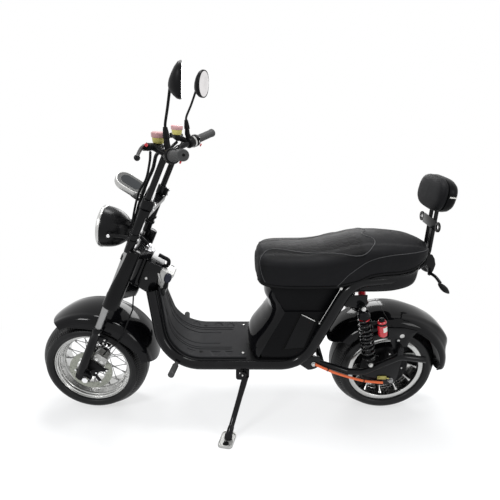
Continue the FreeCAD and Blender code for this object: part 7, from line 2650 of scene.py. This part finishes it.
@dataclass
class Studio:
    """Floor, soft light and the camera at the photograph's place."""

    stance: Stance
    eye: Point = (35.4, -1740.6, 1195.0)
    pitch: float = -14.11
    yaw: float = -0.363
    roll: float = 0.328
    focal_px: float = 401.4
    frame_px: float = 500.0
    floor_glow: float = 0.62

    def build(self) -> None:
        """Set up the camera, the floor, the world and the lamps."""
        self.camera()
        self.floor()
        self.world()
        self.lamps()
        view = bpy.context.scene.view_settings
        view.view_transform = "Standard"

    def camera(self) -> None:
        """Place the camera."""
        data = bpy.data.cameras.new("camera")
        data.sensor_fit = "HORIZONTAL"
        data.sensor_width = 36.0
        data.lens = self.focal_px / self.frame_px * data.sensor_width
        data.clip_end = 60.0
        camera = bpy.data.objects.new("camera", data)
        bpy.context.scene.collection.objects.link(camera)
        turn = (Matrix.Rotation(math.radians(self.yaw), 3, "Z")
                @ Matrix.Rotation(math.radians(self.pitch), 3, "X"))
        right = turn @ X_AXIS
        up = turn @ Z_AXIS
        ahead = turn @ Y_AXIS
        angle = math.radians(self.roll)
        right_rolled = right * math.cos(angle) + up * math.sin(angle)
        up_rolled = up * math.cos(angle) - right * math.sin(angle)
        basis = Matrix((right_rolled, up_rolled, -ahead)).transposed()
        place = (Vector(self.eye) + self.stance.shift) * MM
        camera.matrix_world = Matrix.Translation(place) @ basis.to_4x4()
        bpy.context.scene.camera = camera

    def floor(self) -> None:
        """Pale floor that reads as white and keeps the bike's shadow."""
        shape = 12.0
        mesh = bpy.data.meshes.new("floor")
        corners = [(-shape, -shape, 0.0), (shape, -shape, 0.0), (shape, shape, 0.0), (-shape, shape, 0.0)]
        mesh.from_pydata(corners, [], [(0, 1, 2, 3)])
        floor = bpy.data.objects.new("floor", mesh)
        bpy.context.scene.collection.objects.link(floor)
        mesh.materials.append(self.pale_floor())

    def pale_floor(self) -> bpy.types.Material:
        """White floor that keeps a soft shadow near the bike and fades to plain white."""
        shader = Shader("pale_floor")
        shader.put_all({"Base Color": (0.93, 0.93, 0.93), "Roughness": 0.95,
                        "Specular IOR Level": 0.05})
        glow = shader.node("ShaderNodeEmission", None, {"Color": WHITE, "Strength": 1.0})
        reach = shader.node("ShaderNodeVectorMath", {"operation": "LENGTH"}, {0: shader.place()},
                            "Value")
        share = (reach.step(0.7, 1.9) * (1.0 - self.floor_glow) + self.floor_glow) * shader.seen()
        mixed = shader.node("ShaderNodeMixShader", None, {0: share, 1: shader.surface, 2: glow})
        shader.plug(shader.output.inputs["Surface"], mixed)
        return shader.material

    def world(self) -> None:
        """White surroundings, softer on the bike than to the eye."""
        world = bpy.data.worlds.new("studio")
        world.use_nodes = True
        graph = Graph(world.node_tree)
        glow, white = (graph.node("ShaderNodeBackground", None, {"Color": colour, "Strength": power})
                       for colour, power in (((0.9, 0.95, 1.0), 0.55), (WHITE, 1.0)))
        mixed = graph.node("ShaderNodeMixShader", None, {0: graph.seen(), 1: glow, 2: white})
        graph.node("ShaderNodeOutputWorld", None, {"Surface": mixed})
        bpy.context.scene.world = world

    def lamps(self) -> None:
        """Large soft lamps above and to the sides."""
        rows = (
            ("overhead", (0.1, 0.3, 3.2), (0.0, 0.1, 0.4), (2.6, 0.5), 90.0),
            ("key", (-2.4, -2.6, 2.8), (-0.1, 0.0, 0.5), (1.0, 0.6), 60.0),
            ("fill", (2.8, -2.2, 1.8), (0.1, 0.0, 0.5), (1.2, 1.2), 30.0),
            ("rim", (0.4, 3.2, 2.2), (0.0, 0.0, 0.6), (2.2, 1.0), 50.0),
        )
        for name, place, target, size, power in rows:
            data = bpy.data.lights.new(name, "AREA")
            data.shape = "RECTANGLE"
            data.size, data.size_y = size
            data.energy = power
            lamp = bpy.data.objects.new(name, data)
            bpy.context.scene.collection.objects.link(lamp)
            aim = Vector(target) - Vector(place)
            lamp.matrix_world = (Matrix.Translation(place)
                                 @ aim.to_track_quat("-Z", "Y").to_matrix().to_4x4())


def main() -> None:
    """Build the bike's looks in order."""
    logging.basicConfig(level=logging.INFO, format="%(name)s: %(message)s")
    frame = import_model()
    joints = {joint["name"]: joint for joint in frame["joints"]}
    stance = Stance()
    stance.settle(joints["rear_wheel_spin"]["pos_m"])
    builder = Builder(stance)
    Studio(stance).build()
    for assembly in ASSEMBLIES:
        assembly(builder).build()
    builder.dress(frame)


if __name__ == "__main__":
    main()
